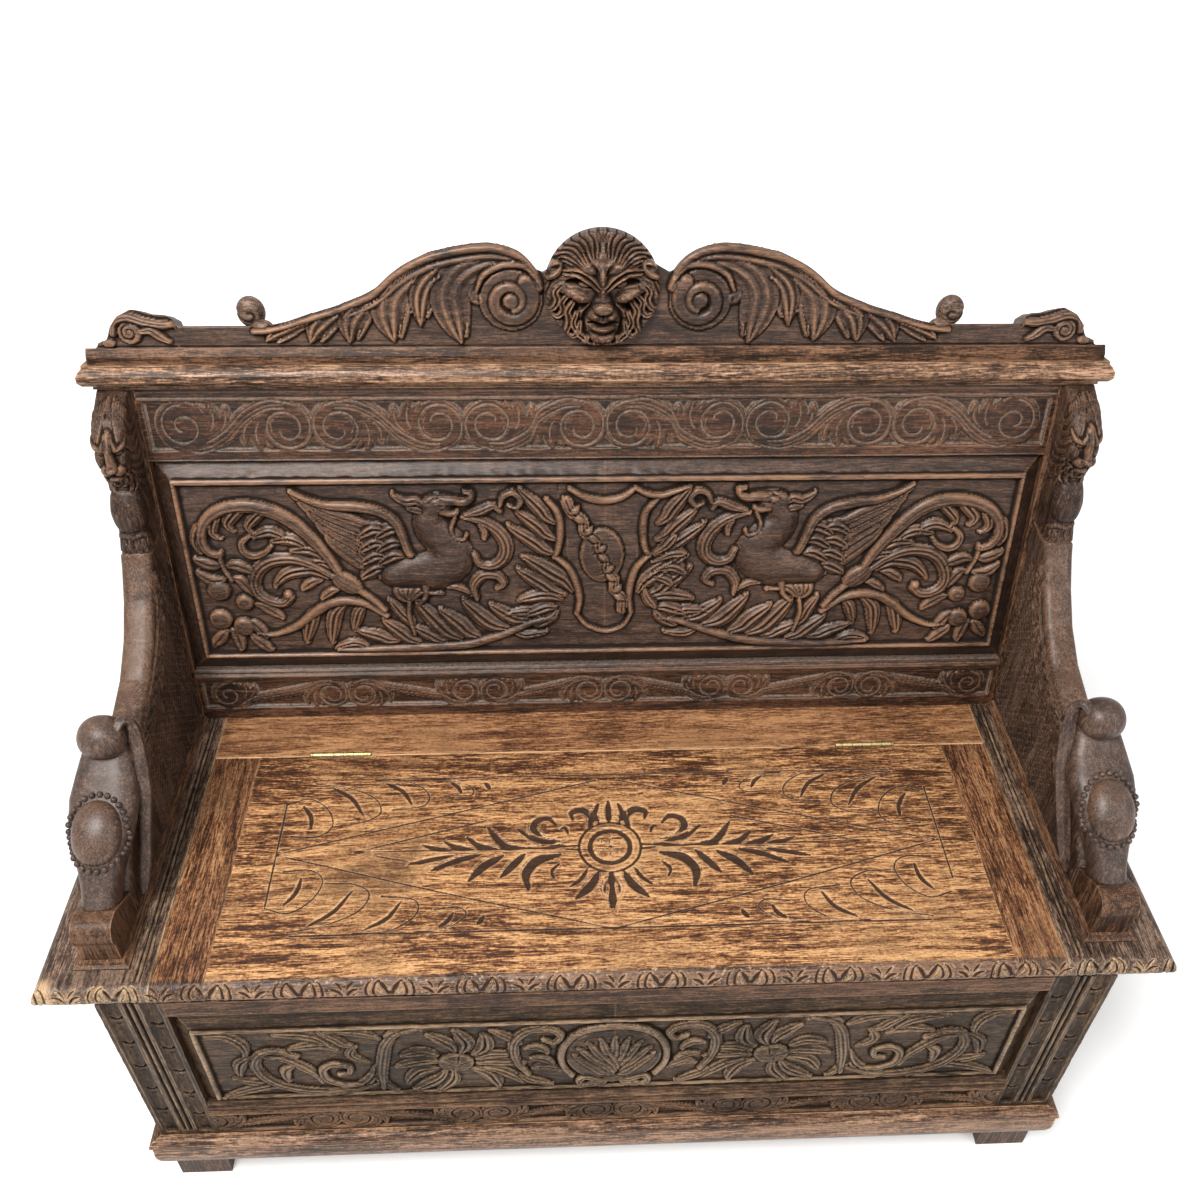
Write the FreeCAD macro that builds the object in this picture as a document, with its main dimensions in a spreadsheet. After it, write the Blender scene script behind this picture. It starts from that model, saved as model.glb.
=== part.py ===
"""Carved oak box settle with a hinged seat lid, built board by board in millimetres.

The chest stands on four block feet. Its frame holds a raised front panel, and the seat on
top of it has two fixed side boards, a fixed rear board and a lid on two brass butt hinges.
The panelled back leans, and everything that belongs to it is drawn in a leaned frame: x along
the settle, y through the thickness of the back, z up its slope from the seat.
"""
import FreeCAD, Part
import math
import os
import Sketcher

V = FreeCAD.Vector
doc = FreeCAD.newDocument("settle")
sheet = doc.addObject("Spreadsheet::Sheet", "sizes")

# Driving dimensions. Depths (y) run back from the face of the front stiles, heights from the floor.
DRIVING = [
    ("seat_top", 477, "seat height"),
    ("seat_board", 27, "thickness of the seat boards and the lid"),
    ("rake", 9.8, "lean of the back in degrees"),
    ("back_face", 407, "depth of the back's front face at the seat"),
    ("back_thick", 27, "thickness of the back's frame"),
    ("frame_half", 563.5, "half the width over the front stiles"),
    ("stile_wide", 71, "width of a front stile"),
    ("stile_deep", 45, "depth of a stile"),
    ("rail_thick", 27, "thickness of a rail"),
    ("chest_deep", 434, "depth of the chest"),
    ("foot_tall", 85, "height of the block feet"),
    ("foot_in", 20, "front of a foot behind the stile face"),
    ("foot_wide", 66, "width and depth of a foot"),
    ("foot_out", 576, "outer side of a foot"),
    ("plinth_tall", 66, "height of the plinth moulding"),
    ("plinth_out", 14, "how far the plinth stands out"),
    ("bottom_rail_top", 226, "top of the front bottom rail"),
    ("front_mould_low", 203, "foot of the moulding on the front bottom rail"),
    ("mould_out", 5, "how far the rail mouldings stand out"),
    ("top_rail_low", 424, "underside of the front top rail"),
    ("top_rail_deep", 40, "depth of the front top rail"),
    ("side_rail_tall", 60, "height of the side top rail"),
    ("groove_deep", 8, "depth of a panel groove"),
    ("groove_wide", 8, "width of a panel groove"),
    ("groove_in", 10, "groove behind the frame's face"),
    ("groove_slack", 0.2, "clearance of a panel in its groove"),
    ("field_in", 17, "bevel at the ends of the front panel's field"),
    ("field_low", 238, "bottom of the front panel's field"),
    ("field_high", 390, "top of the front panel's field"),
    ("field_proud", 2, "front field in front of the stile face"),
    ("field_step", 4, "square step round a raised field"),
    ("side_panel_thick", 12, "thickness of a side panel"),
    ("chest_back_thick", 18, "thickness of the chest's back board"),
    ("bottom_thick", 14, "thickness of the chest's bottom board"),
    ("bottom_gap", 6, "bottom board above the foot of the rails"),
    ("bearer", 20, "width and height of a bottom bearer"),
    ("rear_stile", 45, "width and depth of a rear stile"),
    ("flute_wide", 20, "width of a wide flute on a front stile"),
    ("flute_deep", 4, "depth of a wide flute"),
    ("flute_edge", 5, "flat edge outside a wide flute"),
    ("reed_flute", 5, "width of a narrow flute"),
    ("flute_stop", 8, "stop of the flutes above the plinth"),
    ("lid_half", 500, "half the length of the lid"),
    ("lid_gap", 1, "gap between the lid and the side boards"),
    ("front_lip", 4, "nosing in front of the stile face"),
    ("nose_under", 0.3, "flat left between the two halves of the seat nosing"),
    ("side_reach", 625, "outer edge of the seat side boards"),
    ("seat_deep", 437, "rear edge of the seat boards"),
    ("lid_rest", 0.3, "lid above the rail that it rests on"),
    ("cleat_joint", 443, "joint of the lid's end cleats"),
    ("tongue_long", 12, "length of the lid's end tongues"),
    ("tongue_thick", 9, "thickness of the lid's end tongues"),
    ("tongue_stop", 30, "end of a tongue from the lid's edges"),
    ("hinge_line", 336.5, "depth of the hinge pins"),
    ("hinge_gap", 1.2, "joint between the lid and the rear board"),
    ("hinge_mid", 341, "centre of a hinge from the middle"),
    ("hinge_long", 76.2, "length of a butt hinge"),
    ("hinge_leaf", 1.6, "thickness of a hinge leaf"),
    ("leaf_tall", 22, "height of a hinge leaf"),
    ("barrel", 3.4, "radius of a hinge barrel"),
    ("barrel_room", 0.4, "clearance round a hinge barrel"),
    ("knuckle_gap", 0.2, "gap between two knuckles"),
    ("pin", 1.5, "radius of a hinge pin"),
    ("pin_play", 0.05, "clearance round a hinge pin"),
    ("hinge_rail_deep", 40, "depth of the rail under the hinge line"),
    ("hinge_rail_tall", 28, "height of the rail under the hinge line"),
    ("wing_in", 534, "inner face of a wing"),
    ("wing_thick", 36, "thickness of a wing"),
    ("scroll_proud", 7, "scroll block at an arm's foot outside the wing"),
    ("arm_in", 21, "centre of an arm front outside the wing's inner face"),
    ("wing_foot_front", 34, "front of the wing's foot block"),
    ("wing_front", 97, "front edge of the wing board at the seat"),
    ("wing_top", 753, "top of the wing board, where the beast's breast stands"),
    ("limb_front", 405, "front of the limb at the top of the wing"),
    ("limb_bend", 96, "radius of the limb's bend"),
    ("foot_mould", 8, "width and height of the moulding round a wing's foot"),
    ("arm_swell", 73, "width of an arm front across its oval boss"),
    ("arm_neck", 37, "width of an arm front at its neck"),
    ("knob_depth", 199, "depth of an arm knob's centre"),
    ("knob_high", 659, "height of an arm knob's centre"),
    ("knob", 25.5, "radius of an arm knob"),
    ("boss_half", 27, "half the width of an oval boss"),
    ("boss_long", 36, "half the length of an oval boss"),
    ("boss_out", 19, "half the thickness of an oval boss"),
    ("boss_lean", 40, "slope of the arm front at the boss in degrees"),
    ("back_rail_top", 76, "top of the back's bottom rail, up the slope"),
    ("back_mould_low", 63, "foot of the moulding on the back's bottom rail"),
    ("frieze_low", 366, "underside of the back's frieze rail"),
    ("back_top", 454, "top of the back's frieze rail"),
    ("back_stile_wide", 40, "width of a stile of the back"),
    ("back_field_in", 21.5, "bevel at the ends of the back panel's field"),
    ("back_field_low", 100, "bottom of the back panel's field"),
    ("back_field_high", 345, "top of the back panel's field"),
    ("back_field_proud", 10, "back field in front of the frame"),
    ("cornice_tall", 29, "height of the cornice"),
    ("cornice_out", 15, "how far the cornice stands out"),
    ("crest_foot", 17, "height of the moulding at the crest's foot"),
    ("crest_foot_out", 6, "how far the crest's foot moulding stands out"),
    ("crest_in", 4, "end of the crest board inside the cornice's core"),
    ("crest_thick", 27, "thickness of the crest board"),
    ("crest_flat", 524, "flat top of the crest board, up the slope"),
    ("scroll_high", 613, "top of the crest scrolls"),
    ("scroll_mid", 137, "top of a crest scroll from the middle"),
    ("scroll_bend", 92, "radius of a crest scroll's shoulder"),
    ("crest_knob", 16, "radius of a crest knob"),
    ("crest_knob_mid", 390, "crest knob from the middle"),
    ("mask_clear", 0.5, "gap under the lion mask"),
    ("mask_half", 66, "half the width and height of the lion mask"),
    ("mask_out", 42, "how far the lion mask stands out"),
    ("mask_mane", 15, "thickness of the lion mask's mane"),
    ("mask_cheek", 13, "thickness of the lion mask's cheeks"),
    ("muzzle", 23, "radius of the lion mask's muzzle"),
]
for row, (alias, value, note) in enumerate(DRIVING, start=1):
    sheet.set(f"A{row}", note)
    sheet.set(f"B{row}", str(value))
    sheet.setAlias(f"B{row}", alias)
doc.recompute()


class Size:
    """A number together with the sheet formula that gives it."""

    def __init__(self, value, formula=None):
        self.value = float(value)
        self.formula = formula or repr(float(value))

    def join(self, other, sign, value, swap=False):
        first, second = (other, self) if swap else (self, other)
        return Size(value, f"({first.formula} {sign} {second.formula})")

    def __add__(self, other):
        other = as_size(other)
        return self.join(other, "+", self.value + other.value)

    def __sub__(self, other):
        other = as_size(other)
        return self.join(other, "-", self.value - other.value)

    def __mul__(self, other):
        other = as_size(other)
        return self.join(other, "*", self.value * other.value)

    def __truediv__(self, other):
        other = as_size(other)
        return self.join(other, "/", self.value / other.value)

    def __rsub__(self, other):
        other = as_size(other)
        return self.join(other, "-", other.value - self.value, swap=True)

    def __neg__(self):
        return Size(-self.value, f"(0 - {self.formula})")

    __radd__ = __add__
    __rmul__ = __mul__


def as_size(number):
    return number if isinstance(number, Size) else Size(number)


def size(alias):
    return Size(getattr(sheet, alias), f"sizes.{alias}")


def sine(angle):
    return Size(math.sin(math.radians(angle.value)), f"sin({angle.formula} * 1 deg)")


def cosine(angle):
    return Size(math.cos(math.radians(angle.value)), f"cos({angle.formula} * 1 deg)")


def bind(thing, prop, length):
    thing.setExpression(prop, as_size(length).formula)


# Levels and planes that several pieces share.
seat_top = size("seat_top")
seat_low = seat_top - size("seat_board")
foot_tall = size("foot_tall")
plinth_top = foot_tall + size("plinth_tall")
frame_half = size("frame_half")
chest_deep = size("chest_deep")
rail_thick = size("rail_thick")
stile_in = frame_half - size("stile_wide")
stile_deep = size("stile_deep")
rear_stile_front = chest_deep - size("rear_stile")
rail_in = frame_half - rail_thick
lean_sin = sine(size("rake"))
lean_cos = cosine(size("rake"))
wing_in = size("wing_in")
wing_out = wing_in + size("wing_thick")
arm_mid = wing_in + size("arm_in")
scroll_out = wing_out + size("scroll_proud")
back_thick = size("back_thick")
cornice_top = size("back_top") + size("cornice_tall")
lid_level = seat_low + size("lid_rest")
hinge_front = size("hinge_line") - size("hinge_gap") / 2
hinge_back = size("hinge_line") + size("hinge_gap") / 2


def lean_y(through, up):
    """Depth of a point of the leaned frame, from the stile face."""
    return size("back_face") + lean_cos * through + lean_sin * up


def lean_z(through, up):
    """Height above the floor of a point of the leaned frame."""
    return seat_top + lean_cos * up - lean_sin * through


# The origin lies on the floor under the middle of the whole settle.
front_most = -size("plinth_out")
rear_most = lean_y(size("crest_thick"), size("scroll_high"))
middle = (front_most + rear_most) / 2

SIDES = (("left", -1), ("right", 1))
pieces = {}


def keep(name, thing):
    thing.Label = name
    pieces[name] = thing
    return thing


def place(thing, x=0, y=0, z=0):
    """Put a local origin at a point of the upright frame."""
    bind(thing, "Placement.Base.x", x)
    bind(thing, "Placement.Base.y", as_size(y) - middle)
    bind(thing, "Placement.Base.z", z)
    return thing


def lean(thing, x=0, through=0, up=0):
    """Put a local origin at a point of the leaned frame and lean it with the back."""
    place(thing, x, lean_y(as_size(through), as_size(up)), lean_z(as_size(through), as_size(up)))
    thing.Placement = FreeCAD.Placement(thing.Placement.Base, FreeCAD.Rotation(V(1, 0, 0), -size("rake").value))
    bind(thing, "Placement.Rotation.Angle", -size("rake"))
    return thing


def box(name, low, high):
    """A plain board between two corners of the upright frame."""
    board = doc.addObject("Part::Box", name)
    for prop, start, end in zip(("Length", "Width", "Height"), low, high):
        bind(board, prop, as_size(end) - start)
    return place(board, *low)


def body(name, leaned=False):
    new = doc.addObject("PartDesign::Body", name)
    return lean(new) if leaned else place(new)


def arc_through(start, end, radius, side):
    """The circle arc from start to end; side +1 has its centre to the left of the chord."""
    half = (end - start) * 0.5
    across = V(-half.y, half.x, 0).normalize()
    rise = math.sqrt(max(radius * radius - half.Length ** 2, 0.0))
    centre = start + half + across * (rise * side)
    first, last = (start, end) if side > 0 else (end, start)
    turn = [math.atan2(p.y - centre.y, p.x - centre.x) for p in (first, last)]
    circle = Part.Circle(centre, V(0, 0, 1), radius)
    return Part.ArcOfCircle(circle, turn[0], turn[1])


def pin_point(sketch, edge, end, x, y, tag):
    """Tie one end of an edge to the sketch's origin by its two coordinates."""
    for kind, length in (("X", as_size(x)), ("Y", as_size(y))):
        index = sketch.addConstraint(Sketcher.Constraint(f"Distance{kind}", -1, 1, edge, end, length.value))
        sketch.renameConstraint(index, f"{tag}{kind}")
        sketch.setExpression(f"Constraints.{tag}{kind}", length.formula)


def draw_outline(sketch, corners, tag="p"):
    """Draw a closed outline. A corner is (x, y), or (x, y, radius, side) to start an arc."""
    first = sketch.GeometryCount
    count = len(corners)
    points = [V(as_size(c[0]).value, as_size(c[1]).value, 0) for c in corners]
    starts = []
    for i, corner in enumerate(corners):
        here, there = points[i], points[(i + 1) % count]
        if len(corner) == 2:
            sketch.addGeometry(Part.LineSegment(here, there), False)
            starts.append(1)
            continue
        radius, side = as_size(corner[2]), corner[3]
        sketch.addGeometry(arc_through(here, there, radius.value, side), False)
        starts.append(1 if side > 0 else 2)
        index = sketch.addConstraint(Sketcher.Constraint("Radius", first + i, radius.value))
        sketch.renameConstraint(index, f"{tag}{i}R")
        sketch.setExpression(f"Constraints.{tag}{i}R", radius.formula)
    for i, corner in enumerate(corners):
        after = (i + 1) % count
        sketch.addConstraint(Sketcher.Constraint("Coincident", first + i, 3 - starts[i], first + after, starts[after]))
        pin_point(sketch, first + i, starts[i], corner[0], corner[1], f"{tag}{i}")


def draw_circle(sketch, x, y, radius, tag):
    x, y, radius = as_size(x), as_size(y), as_size(radius)
    edge = sketch.addGeometry(Part.Circle(V(x.value, y.value, 0), V(0, 0, 1), radius.value), False)
    index = sketch.addConstraint(Sketcher.Constraint("Radius", edge, radius.value))
    sketch.renameConstraint(index, f"{tag}R")
    sketch.setExpression(f"Constraints.{tag}R", radius.formula)
    pin_point(sketch, edge, 3, x, y, tag)


def sketch_on(owner, plane, offset=0):
    """An empty sketch on one of a body's own planes, moved along the plane's normal."""
    flat = [f for f in owner.Origin.OriginFeatures if f.Role == plane][0]
    sketch = owner.newObject("Sketcher::SketchObject", f"{owner.Name}_sketch")
    sketch.AttachmentSupport = [(flat, "")]
    sketch.MapMode = "FlatFace"
    bind(sketch, "AttachmentOffset.Base.z", offset)
    return sketch


def pad(owner, plane, corners, length, start=0, backward=False):
    """Pad an outline from a plane of the body."""
    sketch = sketch_on(owner, plane, start)
    draw_outline(sketch, corners)
    feature = owner.newObject("PartDesign::Pad", f"{owner.Name}_pad")
    feature.Profile = sketch
    bind(feature, "Length", length)
    feature.Reversed = backward
    owner.Tip = feature
    return feature


def pocket(owner, sketch, length=None, backward=False):
    """Cut a sketch's outline into the body, right through unless a length is given."""
    feature = owner.newObject("PartDesign::Pocket", f"{owner.Name}_pocket")
    feature.Profile = sketch
    if length is None:
        feature.Type = "ThroughAll"
        feature.Midplane = True
    else:
        bind(feature, "Length", length)
    feature.Reversed = backward
    owner.Tip = feature
    return feature


def bar(name, section, low_x, high_x, leaned=False):
    """A board or moulding of one section, running along the settle."""
    owner = body(name, leaned)
    pad(owner, "YZ_Plane", section, as_size(high_x) - low_x, low_x)
    return owner


def mirror_span(side, near, far):
    """The x range of a piece that spans near to far on one side of the middle."""
    return (near, far) if side > 0 else (-as_size(far), -as_size(near))


def cut(name, base, tools):
    """Take tools away from a piece."""
    tool = tools[0]
    if len(tools) > 1:
        tool = doc.addObject("Part::MultiFuse", f"{name}_tools")
        tool.Shapes = tools
    result = doc.addObject("Part::Cut", f"{name}_cut")
    result.Base = base
    result.Tool = tool
    return result


def rectangle(low_x, low_y, high_x, high_y):
    return [(low_x, low_y), (high_x, low_y), (high_x, high_y), (low_x, high_y)]


# Block feet under the four corners.
def make_feet():
    wide = size("foot_wide")
    out = size("foot_out")
    for side, sign in SIDES:
        low_x, high_x = mirror_span(sign, out - wide, out)
        for row_name, front in (("front", size("foot_in")), ("rear", chest_deep - wide)):
            foot = box(f"foot_{row_name}_{side}", (low_x, front, 0), (high_x, front + wide, foot_tall))
            keep(f"foot_{row_name}_{side}", foot)


# Plinth strips, mitred at the two front corners.
def make_plinth():
    out = size("plinth_out")
    low, top = foot_tall, plinth_top
    torus = out * 0.6
    cove = 60

    def section(reach):
        """Corners from the wall out and up; reach turns a distance out into a coordinate."""
        turn = 1 if reach(1).value > reach(0).value else -1
        return [
            (reach(0), low),
            (reach(2), low, cove, turn),
            (reach(out - 2), top - torus * 2 - 6),
            (reach(out - 2), top - torus * 2),
            (reach(out - torus * 0.8), top - torus * 2, torus * 1.025, turn),
            (reach(out - torus * 0.8), top),
            (reach(0), top),
        ]

    front = bar("plinth_front", section(lambda d: -as_size(d)), -(frame_half + out), frame_half + out)
    mitre = sketch_on(front, "XY_Plane", low - 1)
    for tag, sign in (("a", -1), ("b", 1)):
        tip, root = sign * (frame_half + out + 1), sign * frame_half
        draw_outline(mitre, [(tip, -(out + 1)), (root, 0), (tip, 0)][::sign], tag)
    pocket(front, mitre)
    keep("plinth_front", front)
    for side, sign in SIDES:
        strip = body(f"plinth_{side}")
        outline = section(lambda d: sign * (frame_half + d))
        pad(strip, "XZ_Plane", outline, chest_deep + out, -chest_deep)
        mitre = sketch_on(strip, "XY_Plane", low - 1)
        tip, root = sign * (frame_half + out + 1), sign * frame_half
        front_edge = -(out + 1)
        draw_outline(mitre, [(tip, front_edge), (root, 0), (root, front_edge)][::-sign])
        pocket(strip, mitre)
        keep(f"plinth_{side}", strip)


# Stiles of the chest. The front ones are fluted, and all are grooved for the panels.
def make_stiles():
    groove, wide, inset = size("groove_deep"), size("groove_wide"), size("groove_in")
    side_out = frame_half - (rail_thick - size("side_panel_thick")) / 2
    side_in = side_out - size("side_panel_thick")
    tall = seat_low - foot_tall
    for side, sign in SIDES:
        stile = body(f"front_stile_{side}")
        outline = [
            (sign * frame_half, 0), (sign * frame_half, stile_deep),
            (sign * side_out, stile_deep), (sign * side_out, stile_deep - groove),
            (sign * side_in, stile_deep - groove), (sign * side_in, stile_deep),
            (sign * stile_in, stile_deep), (sign * stile_in, inset + wide),
            (sign * (stile_in + groove), inset + wide), (sign * (stile_in + groove), inset),
            (sign * stile_in, inset), (sign * stile_in, 0),
        ]
        pad(stile, "XY_Plane", outline, tall, foot_tall)
        cut_long = seat_low - plinth_top - size("flute_stop")
        half, deep = size("flute_wide") / 2, size("flute_deep")
        radius = (half * half + deep * deep) / (deep * 2)
        narrow = size("reed_flute") / 2
        first = frame_half - size("flute_edge") - half
        last = stile_in + size("flute_edge") + half
        wide_cut = sketch_on(stile, "XY_Plane", seat_low)
        for tag, centre in (("a", first), ("b", last)):
            draw_circle(wide_cut, sign * centre, deep - radius, radius, tag)
        pocket(stile, wide_cut, cut_long)
        narrow_cut = sketch_on(stile, "XY_Plane", seat_low)
        centre = (first + last) / 2
        for tag, shift in (("a", -narrow * 1.5), ("b", narrow * 1.5)):
            draw_circle(narrow_cut, sign * (centre + shift), 0, narrow, tag)
        pocket(stile, narrow_cut, cut_long)
        keep(f"front_stile_{side}", stile)
        rear = body(f"rear_stile_{side}")
        inner = frame_half - size("rear_stile")
        board_back = chest_deep - 4
        board_front = board_back - size("chest_back_thick")
        outline = [
            (sign * frame_half, rear_stile_front), (sign * frame_half, chest_deep),
            (sign * inner, chest_deep), (sign * inner, board_back),
            (sign * (inner + groove), board_back), (sign * (inner + groove), board_front),
            (sign * inner, board_front), (sign * inner, rear_stile_front),
            (sign * side_in, rear_stile_front), (sign * side_in, rear_stile_front + groove),
            (sign * side_out, rear_stile_front + groove), (sign * side_out, rear_stile_front),
        ]
        pad(rear, "XY_Plane", outline, tall, foot_tall)
        keep(f"rear_stile_{side}", rear)
    back = box("chest_back", (-(inner + groove), board_front, foot_tall), (inner + groove, board_back, seat_low))
    keep("chest_back", back)


# Rails and panels of the chest.
def make_front_frame():
    inset, wide, deep = size("groove_in"), size("groove_wide"), size("groove_deep")
    slack, out = size("groove_slack"), size("mould_out")
    low_top, high_low = size("bottom_rail_top"), size("top_rail_low")
    mould = size("front_mould_low")
    section = [
        (0, foot_tall), (rail_thick, foot_tall), (rail_thick, low_top), (inset + wide, low_top),
        (inset + wide, low_top - deep), (inset, low_top - deep), (inset, low_top), (3, low_top),
        (-out, mould + out * 2), (-out, mould + 3), (0, mould),
    ]
    keep("front_bottom_rail", bar("front_bottom_rail", section, -stile_in, stile_in))
    top_deep = size("top_rail_deep")
    section = [
        (0, high_low), (inset, high_low), (inset, high_low + deep), (inset + wide, high_low + deep),
        (inset + wide, high_low), (top_deep, high_low), (top_deep, seat_low), (0, seat_low),
    ]
    keep("front_top_rail", bar("front_top_rail", section, -stile_in, stile_in))
    panel = body("front_panel")
    reach = deep - slack
    tongue = rectangle(-(stile_in + reach), low_top - reach, stile_in + reach, high_low + reach)
    front, back = inset + slack, inset + wide - slack
    pad(panel, "XZ_Plane", tongue, back - front, -back)
    half, low, high = stile_in - size("field_in"), size("field_low"), size("field_high")
    step = size("field_step")
    field_face = -size("field_proud")
    raise_field(panel, (stile_in, low_top, high_low), (half, low, high), front, field_face, step)
    keep("front_panel", panel)


def raise_field(panel, sight, field, groove_face, field_face, step):
    """Bevel a panel up from the sight edge of its frame to a raised field with a square step."""
    foot = sketch_on(panel, "XZ_Plane", -groove_face)
    draw_outline(foot, rectangle(-sight[0], sight[1], sight[0], sight[2]))
    crown = sketch_on(panel, "XZ_Plane", -(field_face + step))
    draw_outline(crown, rectangle(-field[0], field[1], field[0], field[2]))
    bevel = panel.newObject("PartDesign::AdditiveLoft", f"{panel.Name}_bevel")
    bevel.Profile = foot
    bevel.Sections = [crown]
    bevel.Ruled = True
    panel.Tip = bevel
    outline = rectangle(-field[0], field[1], field[0], field[2])
    pad(panel, "XZ_Plane", outline, step, -(field_face + step))


def make_chest_sides():
    groove, slack = size("groove_deep"), size("groove_slack")
    thick = size("side_panel_thick")
    panel_out = frame_half - (rail_thick - thick) / 2
    panel_in = panel_out - thick
    low_top = size("bottom_rail_top")
    high_low = seat_low - size("side_rail_tall")
    for side, sign in SIDES:
        for name, foot, head, lip in (("bottom", foot_tall, low_top, -groove), ("top", seat_low, high_low, groove)):
            rail = body(f"side_{name}_rail_{side}")
            outline = [
                (sign * frame_half, foot), (sign * rail_in, foot), (sign * rail_in, head), (sign * panel_in, head),
                (sign * panel_in, head + lip), (sign * panel_out, head + lip), (sign * panel_out, head),
                (sign * frame_half, head),
            ]
            pad(rail, "XZ_Plane", outline, rear_stile_front - stile_deep, -rear_stile_front)
            keep(f"side_{name}_rail_{side}", rail)
        low_x, high_x = mirror_span(sign, panel_in + slack, panel_out - slack)
        reach = groove - slack
        low = (low_x, stile_deep - reach, low_top - reach)
        high = (high_x, rear_stile_front + reach, high_low + reach)
        keep(f"side_panel_{side}", box(f"side_panel_{side}", low, high))


def make_chest_floor():
    level = foot_tall + size("bottom_gap")
    bearer = size("bearer")
    rear = chest_deep - 4 - size("chest_back_thick")
    inner = frame_half - size("rear_stile")
    floor = body("chest_bottom")
    outline = []
    for sign in (1, -1):
        corners = [
            (sign * stile_in, rail_thick), (sign * stile_in, stile_deep), (sign * rail_in, stile_deep),
            (sign * rail_in, rear_stile_front), (sign * inner, rear_stile_front), (sign * inner, rear),
        ]
        outline += corners if sign > 0 else corners[::-1]
    pad(floor, "XY_Plane", outline, size("bottom_thick"), level + bearer)
    keep("chest_bottom", floor)
    strips = []
    for name, front in (("front", rail_thick), ("rear", rear - bearer)):
        strips.append(box(f"bearer_{name}", (-stile_in, front, level), (stile_in, front + bearer, level + bearer)))
    pair = doc.addObject("Part::Compound", "bottom_bearers")
    pair.Links = strips
    keep("bottom_bearers", pair)
    deep, tall = size("hinge_rail_deep"), size("hinge_rail_tall")
    rail = box("hinge_rail", (-rail_in, hinge_back, seat_low - tall), (rail_in, hinge_back + deep, seat_low))
    keep("hinge_rail", rail)


# Seat boards and the lid.
def nosed_section(rear, low):
    """Section of a seat board with its nosing at the front."""
    front, flat = -size("front_lip"), size("nose_under")
    nose = (seat_top - low - flat) / 2
    return [
        (rear, low), (rear, seat_top), (front + nose, seat_top, nose, 1), (front, seat_top - nose),
        (front, low + nose, nose, 1), (front + nose, low),
    ]


def hinge_tools(name, face, outward):
    """Boxes and cylinders that let both hinges into a board's edge."""
    tools = []
    leaf, tall = size("hinge_leaf"), size("leaf_tall")
    room = size("barrel") + size("barrel_room")
    long = size("hinge_long") + size("knuckle_gap") * 2
    for side, hand in SIDES:
        start = hand * size("hinge_mid") - long / 2
        near, far = (face, face + leaf) if outward > 0 else (face - leaf, face)
        seat = box(f"{name}_leaf_{side}", (start, near, seat_top - tall - size("barrel")), (start + long, far, seat_top + 1))
        tools.append(seat)
        round_seat = doc.addObject("Part::Cylinder", f"{name}_barrel_{side}")
        bind(round_seat, "Radius", room)
        bind(round_seat, "Height", long)
        place(round_seat, start, size("hinge_line"), seat_top)
        turn_along_x(round_seat)
        tools.append(round_seat)
    return tools


def turn_along_x(cylinder):
    """Lay a cylinder along the settle."""
    cylinder.Placement = FreeCAD.Placement(cylinder.Placement.Base, FreeCAD.Rotation(V(0, 1, 0), 90))


def make_seat():
    gap = size("lid_gap")
    joint = size("cleat_joint")
    # The lid board has a tongue at each end, and the cleats are grooved for it.
    lid = bar("lid_plank", nosed_section(hinge_front, lid_level), -joint, joint)
    middle_z = (lid_level + seat_top) / 2
    half, stop = size("tongue_thick") / 2, size("tongue_stop")
    front = stop - size("front_lip")
    rear = hinge_front - stop
    tongue = rectangle(front, middle_z - half, rear, middle_z + half)
    reach = joint + size("tongue_long")
    pad(lid, "YZ_Plane", tongue, reach * 2, -reach)
    tools = hinge_tools("lid_seat", hinge_front, -1)
    keep("lid_board", cut("lid_board", lid, tools))
    for side, sign in SIDES:
        low_x, high_x = mirror_span(sign, joint, size("lid_half") - gap / 2)
        cleat = bar(f"lid_cleat_{side}", nosed_section(hinge_front, lid_level), low_x, high_x)
        slack = size("groove_slack")
        slot = sketch_on(cleat, "YZ_Plane", sign * joint)
        draw_outline(slot, rectangle(front - slack, middle_z - half - slack, rear + slack, middle_z + half + slack))
        pocket(cleat, slot, size("tongue_long") + slack, backward=sign > 0)
        keep(f"lid_cleat_{side}", cleat)
    ends = size("lid_half") + gap / 2
    plank = box("rear_plank", (-ends, hinge_back, seat_low), (ends, size("seat_deep"), seat_top))
    tools = hinge_tools("rear_seat", hinge_back, 1)
    keep("rear_board", cut("rear_board", plank, tools))
    for side, sign in SIDES:
        low_x, high_x = mirror_span(sign, ends, size("side_reach"))
        board = bar(f"seat_side_{side}", nosed_section(size("seat_deep"), seat_low), low_x, high_x)
        # The nosing returns along the outer edge.
        reach = size("side_reach")
        nose = (size("seat_board") - size("nose_under")) / 2
        outer, inner, past = sign * reach, sign * (reach - nose), sign * (reach + 1)
        side_turn = sketch_on(board, "XZ_Plane")
        draw_outline(side_turn, [
            (inner, seat_top, nose, -sign), (outer, seat_top - nose), (past, seat_top - nose),
            (past, seat_top + 1), (inner, seat_top + 1),
        ], "u")
        draw_outline(side_turn, [
            (inner, seat_low, nose, sign), (outer, seat_low + nose), (past, seat_low + nose),
            (past, seat_low - 1), (inner, seat_low - 1),
        ], "v")
        pocket(board, side_turn)
        keep(f"seat_side_{side}", board)


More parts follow.
